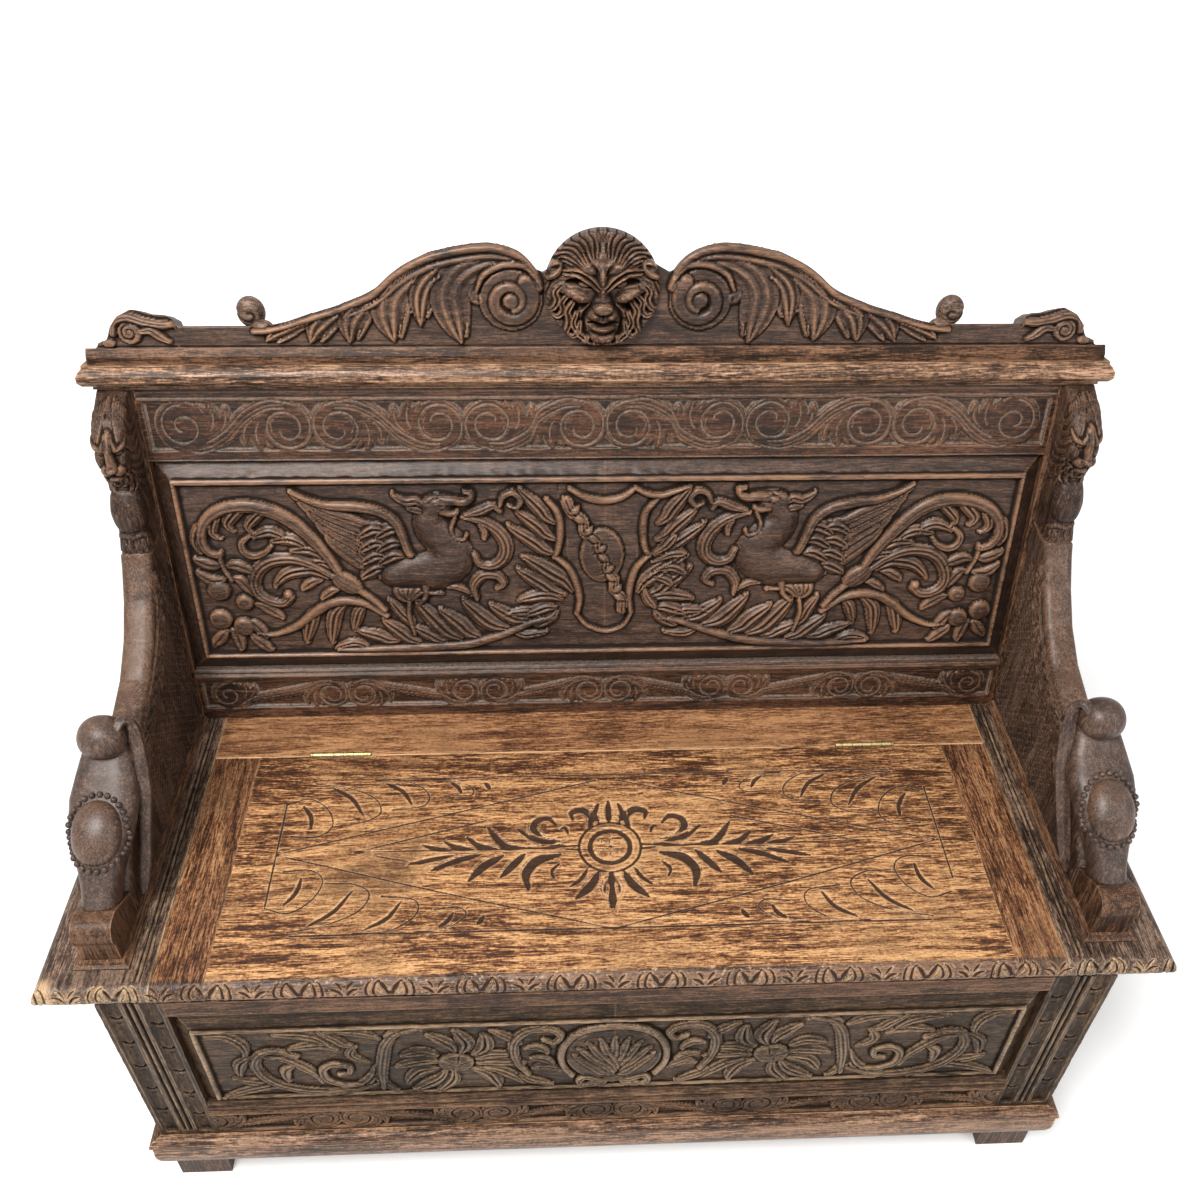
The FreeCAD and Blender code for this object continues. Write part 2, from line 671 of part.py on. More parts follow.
# Butt hinges. The leaf of the lid carries three knuckles and the fixed leaf two.
def make_hinges():
    long, leaf, tall = size("hinge_long"), size("hinge_leaf"), size("leaf_tall")
    barrel, gap = size("barrel"), size("knuckle_gap")
    knuckle = long / 5
    for side, sign in SIDES:
        start = sign * size("hinge_mid") - long / 2
        for owner, outward, odd in (("lid", -1, 0), ("board", 1, 1)):
            face = hinge_front if outward < 0 else hinge_back
            near, far = (face - leaf, face) if outward < 0 else (face, face + leaf)
            top = seat_top - barrel - gap
            parts = [box(f"plate_{owner}_{side}", (start, near, seat_top - tall - barrel), (start + long, far, top))]
            for i in range(odd, 5, 2):
                low, high = start + knuckle * i + gap / 2, start + knuckle * (i + 1) - gap / 2
                parts.append(box(f"tab_{owner}_{side}_{i}", (low, near, top), (high, far, seat_top)))
                ring = doc.addObject("Part::Cylinder", f"knuckle_{owner}_{side}_{i}")
                bind(ring, "Radius", barrel)
                bind(ring, "Height", high - low)
                place(ring, low, size("hinge_line"), seat_top)
                turn_along_x(ring)
                parts.append(ring)
            whole = doc.addObject("Part::MultiFuse", f"leaf_{owner}_{side}")
            whole.Shapes = parts
            bore = doc.addObject("Part::Cylinder", f"bore_{owner}_{side}")
            bind(bore, "Radius", size("pin") + size("pin_play"))
            bind(bore, "Height", long + 2)
            place(bore, start - 1, size("hinge_line"), seat_top)
            turn_along_x(bore)
            name = f"hinge_leaf_{owner}_{side}"
            keep(name, cut(name, whole, [bore]))
        pin = doc.addObject("Part::Cylinder", f"hinge_pin_{side}")
        bind(pin, "Radius", size("pin"))
        bind(pin, "Height", long)
        place(pin, start, size("hinge_line"), seat_top)
        turn_along_x(pin)
        keep(f"hinge_pin_{side}", pin)


# Wings and arms. Their outlines are drawn in the y-z plane.
ARM_BACK = [(0, 41), (21, 65), (50, 98), (110, 139)]


def arm_point(depth, rise):
    """A point of the arm's profile, behind the front of the wing board and above the seat."""
    return (size("wing_front") + depth, seat_top + rise)


def make_wings():
    rise = size("wing_top") - seat_top
    joint = [arm_point(*p) for p in ARM_BACK]
    back_at_top = size("back_face") + rise * lean_sin / lean_cos
    for side, sign in SIDES:
        outline = [(size("wing_front"), seat_top)] + joint + [
            arm_point(131, 152), arm_point(161, 158),
            (*arm_point(244, 197), size("limb_bend"), 1),
            (size("limb_front"), size("wing_top")), (back_at_top, size("wing_top")), (size("back_face"), seat_top),
        ]
        low_x, high_x = mirror_span(sign, wing_in, wing_out)
        keep(f"wing_{side}", bar(f"wing_{side}", outline, low_x, high_x))


def make_beasts():
    """The lion head and breast on top of each wing, under the cornice."""
    rise = size("wing_top") - seat_top
    back_at_top = size("back_face") + rise * lean_sin / lean_cos
    up = size("back_top")
    for side, sign in SIDES:
        crown = (lean_y(as_size(-4), up), lean_z(as_size(-4), up))
        outline = [
            (back_at_top, size("wing_top")), (lean_y(as_size(0), up), lean_z(as_size(0), up)), (*crown, 75, 1),
            arm_point(325, 413), arm_point(304, 391), arm_point(306, 383), arm_point(318, 378),
            (*arm_point(315, 367), 14, 1), (*arm_point(329, 353), 90, 1),
            arm_point(319, 308), (size("limb_front"), size("wing_top")),
        ]
        low_x, high_x = mirror_span(sign, wing_in, wing_out)
        keep(f"lion_head_{side}", bar(f"lion_head_{side}", outline, low_x, high_x))


def button(name, radius, long, bevel):
    """A turned disc with bevelled rims, standing along z."""
    parts = []
    for part, low, tall, foot, head in (
        ("foot", as_size(0), bevel, radius - bevel, radius),
        ("head", long - bevel, bevel, radius, radius - bevel),
    ):
        cone = doc.addObject("Part::Cone", f"{name}_{part}")
        bind(cone, "Radius1", foot)
        bind(cone, "Radius2", head)
        bind(cone, "Height", tall)
        bind(cone, "Placement.Base.z", low)
        parts.append(cone)
    drum = doc.addObject("Part::Cylinder", f"{name}_drum")
    bind(drum, "Radius", radius)
    bind(drum, "Height", long - bevel * 2)
    bind(drum, "Placement.Base.z", bevel)
    whole = doc.addObject("Part::MultiFuse", name)
    whole.Shapes = parts + [drum]
    return whole


def oval_boss(name):
    """An oval boss with a straight rim and a bevelled crown, facing along z."""
    boss = body(name)
    wide, long, out = size("boss_half"), size("boss_long"), size("boss_out")
    side = long - wide
    outline = [
        (wide, -side), (wide, side, wide, 1), (0, long, wide, 1),
        (-wide, side), (-wide, -side, wide, 1), (0, -long, wide, 1),
    ]
    pad(boss, "XY_Plane", outline, out * 0.5)
    crown = sketch_on(boss, "XY_Plane", out * 0.5)
    draw_outline(crown, outline)
    top = boss.newObject("PartDesign::Pad", f"{name}_crown")
    top.Profile = crown
    bind(top, "Length", out * 0.5)
    top.TaperAngle = -45
    boss.Tip = top
    return boss


def make_arm_fronts():
    swell, neck = size("arm_swell") / 2, size("arm_neck") / 2
    joint = [arm_point(*p) for p in ARM_BACK]
    for side, sign in SIDES:
        post = body(f"arm_post_{side}")
        profile = [
            joint[0], joint[1], joint[2], joint[3], arm_point(131, 152), arm_point(127, 175),
            arm_point(91, 171), (*arm_point(73, 153), 120, 1), (*arm_point(28, 129), 70, 1),
            (*arm_point(-13, 90), 60, -1), arm_point(-39, 62),
        ]
        centre = sign * arm_mid
        low_x, high_x = mirror_span(sign, arm_mid - swell - 2, arm_mid + swell + 2)
        pad(post, "YZ_Plane", profile, high_x - low_x, low_x)
        front = sketch_on(post, "XZ_Plane")
        far = swell + 20
        foot, head = seat_top + 20, seat_top + 220
        draw_outline(front, rectangle(centre - far, foot, centre + far, head), "o")
        heights = [seat_top + h for h in (30, 63, 88, 129, 155, 169, 210)]
        widths = [neck, neck, swell * 0.71, swell, swell * 0.84, swell * 0.7, swell * 0.7]
        bends = [None, (60, 1), (60, -1), (70, -1), (30, 1), None]
        right = [(centre + w, h) for w, h in zip(widths, heights)]
        left = [(centre - w, h) for w, h in zip(widths, heights)][::-1]
        for i, bend in enumerate(bends):
            if bend:
                right[i] = (*right[i], bend[0], -bend[1])
                left[5 - i] = (*left[5 - i], bend[0], -bend[1])
        draw_outline(front, right + left, "w")
        pocket(post, front)
        knob = button(f"arm_knob_{side}", size("knob"), size("knob") * 2, size("knob") * 0.42)
        place(knob, centre - size("knob"), size("knob_depth"), size("knob_high"))
        turn_along_x(knob)
        boss = oval_boss(f"arm_boss_{side}")
        place(boss, centre, size("wing_front") + 21, seat_top + 119)
        boss.Placement = FreeCAD.Placement(boss.Placement.Base, FreeCAD.Rotation(V(1, 0, 0), size("boss_lean").value))
        bind(boss, "Placement.Rotation.Angle", size("boss_lean"))
        whole = doc.addObject("Part::MultiFuse", f"arm_front_{side}")
        whole.Shapes = [post, knob, boss]
        keep(f"arm_front_{side}", whole)


def make_arm_feet():
    """The scroll block at the foot of each arm front."""
    joint = arm_point(*ARM_BACK[0])
    front = size("wing_foot_front")
    for side, sign in SIDES:
        outline = [
            (size("wing_front"), seat_top), joint, arm_point(-39, 62),
            (*arm_point(-45, 62), 18, 1), (front, seat_top + 35), (front, seat_top),
        ]
        low_x, high_x = mirror_span(sign, wing_in, scroll_out)
        keep(f"arm_foot_{side}", bar(f"arm_foot_{side}", outline, low_x, high_x))


def free_sketch(name, corners, closed=True):
    """A sketch by itself, for a sweep."""
    sketch = doc.addObject("Sketcher::SketchObject", name)
    if closed:
        draw_outline(sketch, corners)
        return sketch
    for i, (start, end) in enumerate(zip(corners, corners[1:])):
        points = [V(as_size(c[0]).value, as_size(c[1]).value, 0) for c in (start, end)]
        sketch.addGeometry(Part.LineSegment(*points), False)
        if i:
            sketch.addConstraint(Sketcher.Constraint("Coincident", i - 1, 2, i, 1))
        pin_point(sketch, i, 1, start[0], start[1], f"q{i}")
    pin_point(sketch, len(corners) - 2, 2, corners[-1][0], corners[-1][1], "end")
    return sketch


def stand_up(sketch):
    """Turn a sketch so that its y runs up."""
    sketch.Placement = FreeCAD.Placement(sketch.Placement.Base, FreeCAD.Rotation(V(1, 0, 0), 90))


def sweep(name, profile, path, turns):
    """Run a section round mitred corners."""
    run = doc.addObject("Part::Sweep", name)
    run.Sections = [profile]
    run.Spine = (path, [f"Edge{i + 1}" for i in range(turns + 1)])
    run.Solid = True
    run.Transition = "Right corner"
    return run


def make_foot_mouldings():
    wide = size("foot_mould")
    rear = size("back_face")
    for side, sign in SIDES:
        near, far = sign * wing_in, sign * scroll_out
        front = size("wing_foot_front")
        stop = size("wing_front")
        path = free_sketch(f"foot_path_{side}", [(near, rear), (near, front), (far, front), (far, stop)], closed=False)
        place(path, 0, 0, seat_top)
        inward = -sign
        section = [
            (near, 0), (near + inward * wide, 0), (near + inward * wide, wide * 0.35),
            (near + inward * wide * 0.6, wide * 0.6), (near + inward * wide * 0.3, wide), (near, wide),
        ]
        profile = free_sketch(f"foot_section_{side}", section)
        place(profile, 0, rear, seat_top)
        stand_up(profile)
        keep(f"wing_moulding_{side}", sweep(f"wing_moulding_{side}", profile, path, 2))


# The leaned back: frame, panel, cornice and crest.
def make_back_frame():
    inset, wide, deep = size("groove_in"), size("groove_wide"), size("groove_deep")
    slack, out = size("groove_slack"), size("mould_out")
    sight = wing_out - size("back_stile_wide")
    low_top, mould = size("back_rail_top"), size("back_mould_low")
    foot = back_thick * lean_sin / lean_cos
    section = [
        (0, 0), (back_thick, foot), (back_thick, low_top), (inset + wide, low_top),
        (inset + wide, low_top - deep), (inset, low_top - deep), (inset, low_top), (2, low_top),
        (-out, mould + out), (-out, mould + 3), (0, mould),
    ]
    keep("back_bottom_rail", bar("back_bottom_rail", section, -sight, sight, leaned=True))
    low, top = size("frieze_low"), size("back_top")
    section = [
        (0, low), (inset, low), (inset, low + deep), (inset + wide, low + deep),
        (inset + wide, low), (back_thick, low), (back_thick, top), (0, top),
    ]
    keep("back_frieze_rail", bar("back_frieze_rail", section, -sight, sight, leaned=True))
    for side, sign in SIDES:
        stile = body(f"back_stile_{side}", leaned=True)
        low_x, high_x = mirror_span(sign, sight, wing_out)
        pad(stile, "YZ_Plane", [(0, 0), (back_thick, foot), (back_thick, top), (0, top)], high_x - low_x, low_x)
        slot = sketch_on(stile, "XY_Plane")
        draw_outline(slot, rectangle(*(
            (sight, inset, sight + deep, inset + wide) if sign > 0 else (-sight - deep, inset, -sight, inset + wide))))
        pocket(stile, slot)
        keep(f"back_stile_{side}", stile)
    panel = body("back_panel", leaned=True)
    reach = deep - slack
    front, back = inset + slack, inset + wide - slack
    tongue = rectangle(-(sight + reach), low_top - reach, sight + reach, low + reach)
    pad(panel, "XZ_Plane", tongue, back - front, -back)
    field = (sight - size("back_field_in"), size("back_field_low"), size("back_field_high"))
    raise_field(panel, (sight, low_top, low), field, front, -size("back_field_proud"), size("field_step"))
    keep("back_panel", panel)


def edge_moulding(name, section, low, high, thick):
    """A slab of the leaned back with a moulding round its front and ends."""
    path = free_sketch(f"{name}_path", [(-wing_out, thick), (-wing_out, 0), (wing_out, 0), (wing_out, thick)], False)
    lean(path, 0, 0, 0)
    profile = free_sketch(f"{name}_section", [(-wing_out - reach, up) for reach, up in section])
    lean(profile, 0, thick, 0)
    turned = FreeCAD.Rotation(V(1, 0, 0), 90 - size("rake").value)
    profile.Placement = FreeCAD.Placement(profile.Placement.Base, turned)
    bind(profile, "Placement.Rotation.Angle", 90 - size("rake"))
    run = sweep(f"{name}_run", profile, path, 2)
    core = body(f"{name}_core", leaned=True)
    pad(core, "YZ_Plane", rectangle(0, low, thick, high), wing_out * 2, -wing_out)
    whole = doc.addObject("Part::MultiFuse", name)
    whole.Shapes = [core, run]
    whole.Refine = True
    return whole


def make_cornice():
    low, high, out = size("back_top"), cornice_top, size("cornice_out")
    nose = [
        (0, low), (3, low), (3, low + 4), (out - 4, low + 6), (out, low + 11), (out, low + 18),
        (out - 3, high - 6), (out - 6, high - 3), (out - 6, high), (0, high),
    ]
    keep("cornice", edge_moulding("cornice", nose, low, high, back_thick))


def make_crest():
    foot, top = cornice_top, size("crest_flat")
    half, flat = wing_out - size("crest_in"), size("crest_flat")
    mid, high, bend = size("scroll_mid"), size("scroll_high"), size("scroll_bend")
    board = body("crest_plank", leaned=True)
    rise = high - flat
    right = [
        (half, foot), (half, foot + 14), (half - 6, flat - 20), (half - 18, flat - 15), (half - 25, flat),
        (mid + 230, flat), (mid + 230, flat + rise * 0.05, 330, -1), (mid + 113, flat + rise * 0.46),
        (mid + 55, flat + rise * 0.88, bend, 1), (mid, high, bend, 1), (mid - 68, flat + rise * 0.66),
        (mid - 97, flat + rise * 0.8),
    ]
    left = []
    for i, corner in enumerate(right[::-1]):
        before = right[len(right) - 2 - i] if i < len(right) - 1 else None
        point = (-corner[0], corner[1])
        left.append((*point, *before[2:]) if before is not None and len(before) > 2 else point)
    pad(board, "XZ_Plane", right + left, size("crest_thick"), 0, backward=True)
    parts = [board]
    radius = size("crest_knob")
    for side, sign in SIDES:
        knob = button(f"crest_knob_{side}", radius, size("crest_thick"), radius * 0.3)
        lean(knob, sign * size("crest_knob_mid"), size("crest_thick"), flat + radius * 0.75)
        knob.Placement = FreeCAD.Placement(knob.Placement.Base, FreeCAD.Rotation(V(1, 0, 0), 90 - size("rake").value))
        bind(knob, "Placement.Rotation.Angle", 90 - size("rake"))
        parts.append(knob)
    whole = doc.addObject("Part::MultiFuse", "crest_board")
    whole.Shapes = parts
    keep("crest_board", whole)
    out = size("crest_foot_out")
    strip = [(0, foot), (-out, foot), (-out, foot + 9), (-out * 0.3, foot + size("crest_foot")), (0, foot + size("crest_foot"))]
    keep("crest_foot_moulding", bar("crest_foot_moulding", strip, -(half + out), half + out, leaned=True))
    for side, sign in SIDES:
        end = body(f"crest_end_{side}", leaned=True)
        outline = [
            (sign * (half - 26), flat), (sign * (half - 97), flat), (sign * (half - 95), flat + 6.5),
            (sign * (half - 69), flat + 13, 60, -sign), (sign * (half - 50), flat + 18, 26, -sign),
        ]
        pad(end, "XZ_Plane", outline, size("crest_thick"), 0, backward=True)
        keep(f"crest_end_{side}", end)


def make_mask():
    """The lion mask in the middle of the crest: a lobed mane, a face in two bevels and a muzzle."""
    half, out = size("mask_half"), size("mask_out")
    up = cornice_top + size("crest_foot") + size("mask_clear") + half
    mane = body("mask_mane", leaned=True)
    right = [
        (half * 0.35, up + half * 0.97), (half * 0.58, up + half * 0.9, half * 0.6, -1),
        (half * 0.93, up + half * 0.5), (half, up + half * 0.3), (half * 0.9, up - half * 0.1),
        (half, up - half * 0.42), (half * 0.72, up - half * 0.5), (half * 0.7, up - half * 0.82),
        (half * 0.35, up - half * 0.95), (0, up - half),
    ]
    left = [(-x, y) for x, y, *_ in right[:-1]][::-1]
    corners = [(0, up + half * 1.02)] + [(x, y) for x, y, *_ in right] + left
    pad(mane, "XZ_Plane", corners[::-1], size("mask_mane"), 0)
    cheek, rim, snout = size("mask_cheek"), size("mask_mane"), size("muzzle")
    parts = [mane]
    for part, foot, head, through, tall, height in (
        ("face", half * 0.91, half * 0.76, rim, cheek, up),
        ("brow", half * 0.76, half * 0.42, rim + cheek, out - rim - cheek, up),
        ("snout", snout, snout * 0.65, out - snout * 0.7, snout * 1.15, up - half * 0.24),
    ):
        cone = doc.addObject("Part::Cone", f"mask_{part}")
        bind(cone, "Radius1", foot)
        bind(cone, "Radius2", head)
        bind(cone, "Height", tall)
        lean(cone, 0, -through, height)
        cone.Placement = FreeCAD.Placement(cone.Placement.Base, FreeCAD.Rotation(V(1, 0, 0), 90 - size("rake").value))
        bind(cone, "Placement.Rotation.Angle", 90 - size("rake"))
        parts.append(cone)
    whole = doc.addObject("Part::MultiFuse", "mask_whole")
    whole.Shapes = parts
    behind = body("mask_behind", leaned=True)
    far = half * 2
    pad(behind, "YZ_Plane", rectangle(0, up - far, far, up + far), far * 2, -far)
    keep("crest_mask", cut("crest_mask", whole, [behind]))


make_feet()
make_plinth()
make_stiles()
make_front_frame()
make_chest_sides()
make_chest_floor()
make_seat()
make_hinges()
make_wings()
make_beasts()
make_arm_fronts()
make_arm_feet()
make_foot_mouldings()
make_back_frame()
make_cornice()
make_crest()
make_mask()
doc.recompute()

failed = [o.Label for o in doc.Objects if "Invalid" in o.State or "Error" in o.State]
for name, piece in pieces.items():
    if piece.Shape.isNull() or not piece.Shape.isValid():
        failed.append(name)
if failed:
    raise SystemExit(f"these objects failed: {failed}")

os.makedirs("parts", exist_ok=True)
for name, piece in pieces.items():
    piece.Shape.exportStep(f"parts/{name}.step")
print(f"{len(pieces)} pieces written")
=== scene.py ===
# %% [markdown]
# # A carved oak box settle
#
# The real object is a seat for two over a chest: oak boards joined in frames, a lid on two brass
# hinges, and a leaning back between two winged arms. Almost every face of it is carved. The solid
# model gives the boards, joints and hinges, and this script carves them.
#
# Carving could be faked with bump in a material, or sculpted by hand. Here each ornament is drawn
# as strokes on a grid of heights, as a carver draws on a board and then cuts round the lines. The
# relief is then real, so it shows from the side and in an exported mesh, and a stroke can be
# changed by moving one point.
#
# Lengths are in millimetres until a mesh is made. x runs along the settle, y from front to back
# and z up. The back leans, so its carvings are drawn in a leaned frame: x, `through` (into the
# back) and `up` (along its slope).

# %% The frame of solids, and the sizes that all the carvings share
import math
import bpy
import numpy as np
from mathutils import Matrix, Vector


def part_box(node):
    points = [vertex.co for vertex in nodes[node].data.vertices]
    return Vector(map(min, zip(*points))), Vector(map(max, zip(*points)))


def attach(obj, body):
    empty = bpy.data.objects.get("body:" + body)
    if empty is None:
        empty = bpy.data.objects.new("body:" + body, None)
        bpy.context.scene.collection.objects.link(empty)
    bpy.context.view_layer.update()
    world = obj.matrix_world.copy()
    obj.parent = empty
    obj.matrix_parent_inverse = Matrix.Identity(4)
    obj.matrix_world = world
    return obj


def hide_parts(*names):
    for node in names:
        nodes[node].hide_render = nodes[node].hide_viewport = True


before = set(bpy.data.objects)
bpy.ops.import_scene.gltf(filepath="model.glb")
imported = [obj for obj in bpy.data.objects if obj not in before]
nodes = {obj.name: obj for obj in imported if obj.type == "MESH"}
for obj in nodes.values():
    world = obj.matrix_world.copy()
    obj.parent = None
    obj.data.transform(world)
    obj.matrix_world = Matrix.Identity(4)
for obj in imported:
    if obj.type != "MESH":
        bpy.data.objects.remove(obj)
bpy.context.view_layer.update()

MM = 0.001
MIDDLE = 261.972
SEAT = 477.0
BACK_FACE = 407.0
LEAN = math.radians(9.8)
SIDES = (("left", -1), ("right", 1))
rng = np.random.default_rng(7)

# %% [markdown]
# ## The camera
#
# The photograph was taken from above head height, looking down at the seat. A camera could be
# turned by eye until the picture fits. Here its place, turn and focal length come from a pinhole
# fit to the settle's corners, because that gives all of them at once.

# %% The camera of the photograph
PIXELS = 1200
FOCAL_PIXELS = 1148.794
AXIS_X, AXIS_Y = 616.341, 638.988
PITCH, YAW, ROLL = 0.72192667, 0.06061879, -0.02476055
EYE = (-51.469, -691.107, 1575.42)
SENSOR = 36.0


def make_camera():
    data = bpy.data.cameras.new("camera")
    data.sensor_width = SENSOR
    data.lens = FOCAL_PIXELS / PIXELS * SENSOR
    data.shift_x = (PIXELS / 2 - AXIS_X) / PIXELS
    data.shift_y = (AXIS_Y - PIXELS / 2) / PIXELS
    data.clip_end = 50
    camera = bpy.data.objects.new("camera", data)
    forward = Vector((math.sin(YAW) * math.cos(PITCH), math.cos(YAW) * math.cos(PITCH), -math.sin(PITCH)))
    level = Vector((math.cos(YAW), -math.sin(YAW), 0))
    down = forward.cross(level)
    right = math.cos(ROLL) * level + math.sin(ROLL) * down
    down = forward.cross(right)
    turn = Matrix((right, -down, -forward)).transposed()
    place = Vector((EYE[0], EYE[1] - MIDDLE, EYE[2])) * MM
    camera.matrix_world = Matrix.Translation(place) @ turn.to_4x4()
    bpy.context.scene.collection.objects.link(camera)
    bpy.context.scene.camera = camera
    print("camera at", tuple(round(c, 3) for c in place), "m, lens", round(data.lens, 1), "mm")


make_camera()

# %% [markdown]
# ## Short words for shader nodes
#
# A material is a tree of nodes, and each node takes several lines to add, fill and link. This
# class does that in one call and gives back the node's output, so a tree reads like a formula.

# %% Nodes by short calls
class Nodes:
    def __init__(self, tree):
        self.tree = tree

    def feed(self, socket, value):
        """Link an output, or set a plain value. A colour needs only its red, green and blue."""
        if isinstance(value, bpy.types.NodeSocket):
            self.tree.links.new(value, socket)
        elif socket.type == "RGBA":
            socket.default_value = (*value, 1.0)
        else:
            socket.default_value = value

    def add(self, kind, settings=None, out=0, **inputs):
        """A node with its inputs given by name, with _ for a space, or as i0, i1 by number."""
        node = self.tree.nodes.new(kind)
        for key, value in (settings or {}).items():
            setattr(node, key, value)
        for key, value in inputs.items():
            by_number = key[0] == "i" and key[1:].isdigit()
            self.feed(node.inputs[int(key[1:]) if by_number else key.replace("_", " ")], value)
        return node.outputs[out]

    def math(self, kind, a, b=0.0, clamp=False):
        return self.add("ShaderNodeMath", {"operation": kind, "use_clamp": clamp}, i0=a, i1=b)

    def noise(self, vector, scale, detail=4.0, rough=0.55, distort=0.0):
        return self.add("ShaderNodeTexNoise", Vector=vector, Scale=scale, Detail=detail, Roughness=rough,
            Distortion=distort)

    def mix(self, factor, a, b):
        settings = {"data_type": "RGBA", "blend_type": "MIX", "clamp_factor": True}
        return self.add("ShaderNodeMix", settings, 2, i0=factor, i6=a, i7=b)

    def ramp(self, value, low, high, flip=False):
        """0 below low and 1 above high, smoothly, or the other way round with flip."""
        settings = {"interpolation_type": "SMOOTHSTEP", "clamp": True}
        start, end = (1.0, 0.0) if flip else (0.0, 1.0)
        return self.add("ShaderNodeMapRange", settings, Value=value, From_Min=low, From_Max=high,
            To_Min=start, To_Max=end)

    def where(self):
        """A point's place in the object's own frame."""
        return self.add("ShaderNodeTexCoord", out=3)


def new_material(name):
    material = bpy.data.materials.new(name)
    material.use_nodes = True
    return material, Nodes(material.node_tree), material.node_tree.nodes["Principled BSDF"]

# %% [markdown]
# ## The floor and the light
#
# The settle stands in a bare white room, with its shadow under it. Stronger lamps would whiten the
# floor, but they would bleach the wood as well. So the lamps stay plain, and the floor and the
# world only look paler to the camera than they are to the wood.

# %% What the camera sees
def seen_by_camera(n):
    """1 for a camera ray, a mirror ray or a ray through glass, and 0 for light on the object."""
    path = n.tree.nodes.new("ShaderNodeLightPath")
    total = path.outputs["Is Camera Ray"]
    for name in ("Is Glossy Ray", "Is Transmission Ray"):
        total = n.math("ADD", total, path.outputs[name], clamp=True)
    return total

# %% The floor
FLOOR_HALF = 9.0


def make_floor():
    """The camera sees the floor paler the farther it lies from the settle."""
    mesh = bpy.data.meshes.new("floor")
    corners = [(x * FLOOR_HALF, y * FLOOR_HALF, 0) for x, y in ((-1, -1), (1, -1), (1, 1), (-1, 1))]
    mesh.from_pydata(corners, [], [(0, 1, 2, 3)])
    floor = bpy.data.objects.new("floor", mesh)
    bpy.context.scene.collection.objects.link(floor)
    pale, n, shader = new_material("pale floor")
    shader.inputs["Base Color"].default_value = (0.93, 0.93, 0.93, 1)
    shader.inputs["Roughness"].default_value = 0.9
    shader.inputs["Emission Color"].default_value = (1, 1, 1, 1)
    seen = seen_by_camera(n)
    far = n.add("ShaderNodeVectorMath", {"operation": "LENGTH"}, 1, i0=n.where())
    glow = n.add("ShaderNodeMapRange", Value=far, From_Min=0.6, From_Max=3.0, To_Min=0.10, To_Max=0.75)
    n.feed(shader.inputs["Emission Strength"], n.math("MULTIPLY", seen, glow))
    mesh.materials.append(pale)
    print("floor", 2 * FLOOR_HALF, "m wide")


make_floor()

# %% The world and two lamps
def make_world():
    world = bpy.data.worlds.new("studio")
    world.use_nodes = True
    n = Nodes(world.node_tree)
    background = world.node_tree.nodes["Background"]
    background.inputs["Color"].default_value = (1, 1, 1, 1)
    level = n.tree.nodes.new("ShaderNodeMapRange")
    for name, value in (("To Min", 0.36), ("To Max", 1.0), ("Value", seen_by_camera(n))):
        n.feed(level.inputs[name], value)
    n.feed(background.inputs["Strength"], level.outputs[0])
    bpy.context.scene.world = world


def area_light(name, place, size, power, colour=(1, 1, 1)):
    """A round lamp that shines at the middle of the settle."""
    data = bpy.data.lights.new(name, "AREA")
    data.shape = "DISK"
    data.size = size
    data.energy = power
    data.color = colour
    lamp = bpy.data.objects.new(name, data)
    lamp.location = place
    aim = Vector((0, 0, 0.5)) - Vector(place)
    lamp.rotation_euler = aim.to_track_quat("-Z", "Y").to_euler()
    bpy.context.scene.collection.objects.link(lamp)
    print(name, power, "W")


make_world()
area_light("key", (-1.0, -1.5, 3.4), 1.5, 185, (1.0, 0.98, 0.95))
area_light("fill", (2.4, -2.0, 2.4), 2.0, 38)
bpy.context.scene.view_settings.view_transform = "Standard"

# %% [markdown]
# ## Old oak
#
# All the wood is oak that stain, smoke and wax have darkened. Hands have rubbed its edges bare, and
# dust lies in its hollows. Shade in the hollows and highlights on the tops and ridges of the carving
# are painted into the colour as well. A photograph of oak could be wrapped round each board, but it
# would stretch over the carving. One node group makes the wood instead, from noise that is drawn
# out along the board, so any number of boards can share it and none of them look alike.
#
# Its inputs age and shade it: `Hollow` is how deep a point lies in a carving and darkens it as
# painted shade, the wear input is how far it is rubbed or stands out and lightens it as bare wood
# and as painted highlight, `Line` is where pale dust lies, and `Stain` darkens the wood in clouds.

# %% The inputs of the wood
# One colour is painted shade for the hollows; the bare colour stands for rubbed wood and for painted
# highlights.
OAK_INPUTS = (("Along", "NodeSocketVector", (1.0, 8.0, 8.0)), ("Seed", "NodeSocketFloat", 0.0),
    ("Dark", "NodeSocketColor", (0.009, 0.005, 0.0035)), ("Middle", "NodeSocketColor",
    (0.046, 0.024, 0.0155)), ("Light", "NodeSocketColor", (0.125, 0.070, 0.045)),
    ("Bare", "NodeSocketColor", (0.27, 0.140, 0.075)), ("Dust", "NodeSocketColor", (0.30, 0.255, 0.205)),
    ("Pit", "NodeSocketColor", (0.006, 0.0035, 0.0025)), ("Hollow", "NodeSocketFloat", 0.0),
    ("Line", "NodeSocketFloat", 0.0), ("Wear and highlight", "NodeSocketFloat", 0.0), ("Stain", "NodeSocketFloat", 0.3),
    ("Streaks", "NodeSocketFloat", 1.0), ("Tone", "NodeSocketFloat", 0.46))


def open_oak_group():
    tree = bpy.data.node_groups.new("old oak", "ShaderNodeTree")
    for name, kind, value in OAK_INPUTS:
        socket = tree.interface.new_socket(name, in_out="INPUT", socket_type=kind)
        socket.default_value = (*value, 1.0) if kind == "NodeSocketColor" else value
    outputs = (("Colour", "NodeSocketColor"), ("Roughness", "NodeSocketFloat"),
        ("Height", "NodeSocketFloat"))
    for name, kind in outputs:
        tree.interface.new_socket(name, in_out="OUTPUT", socket_type=kind)
    return tree

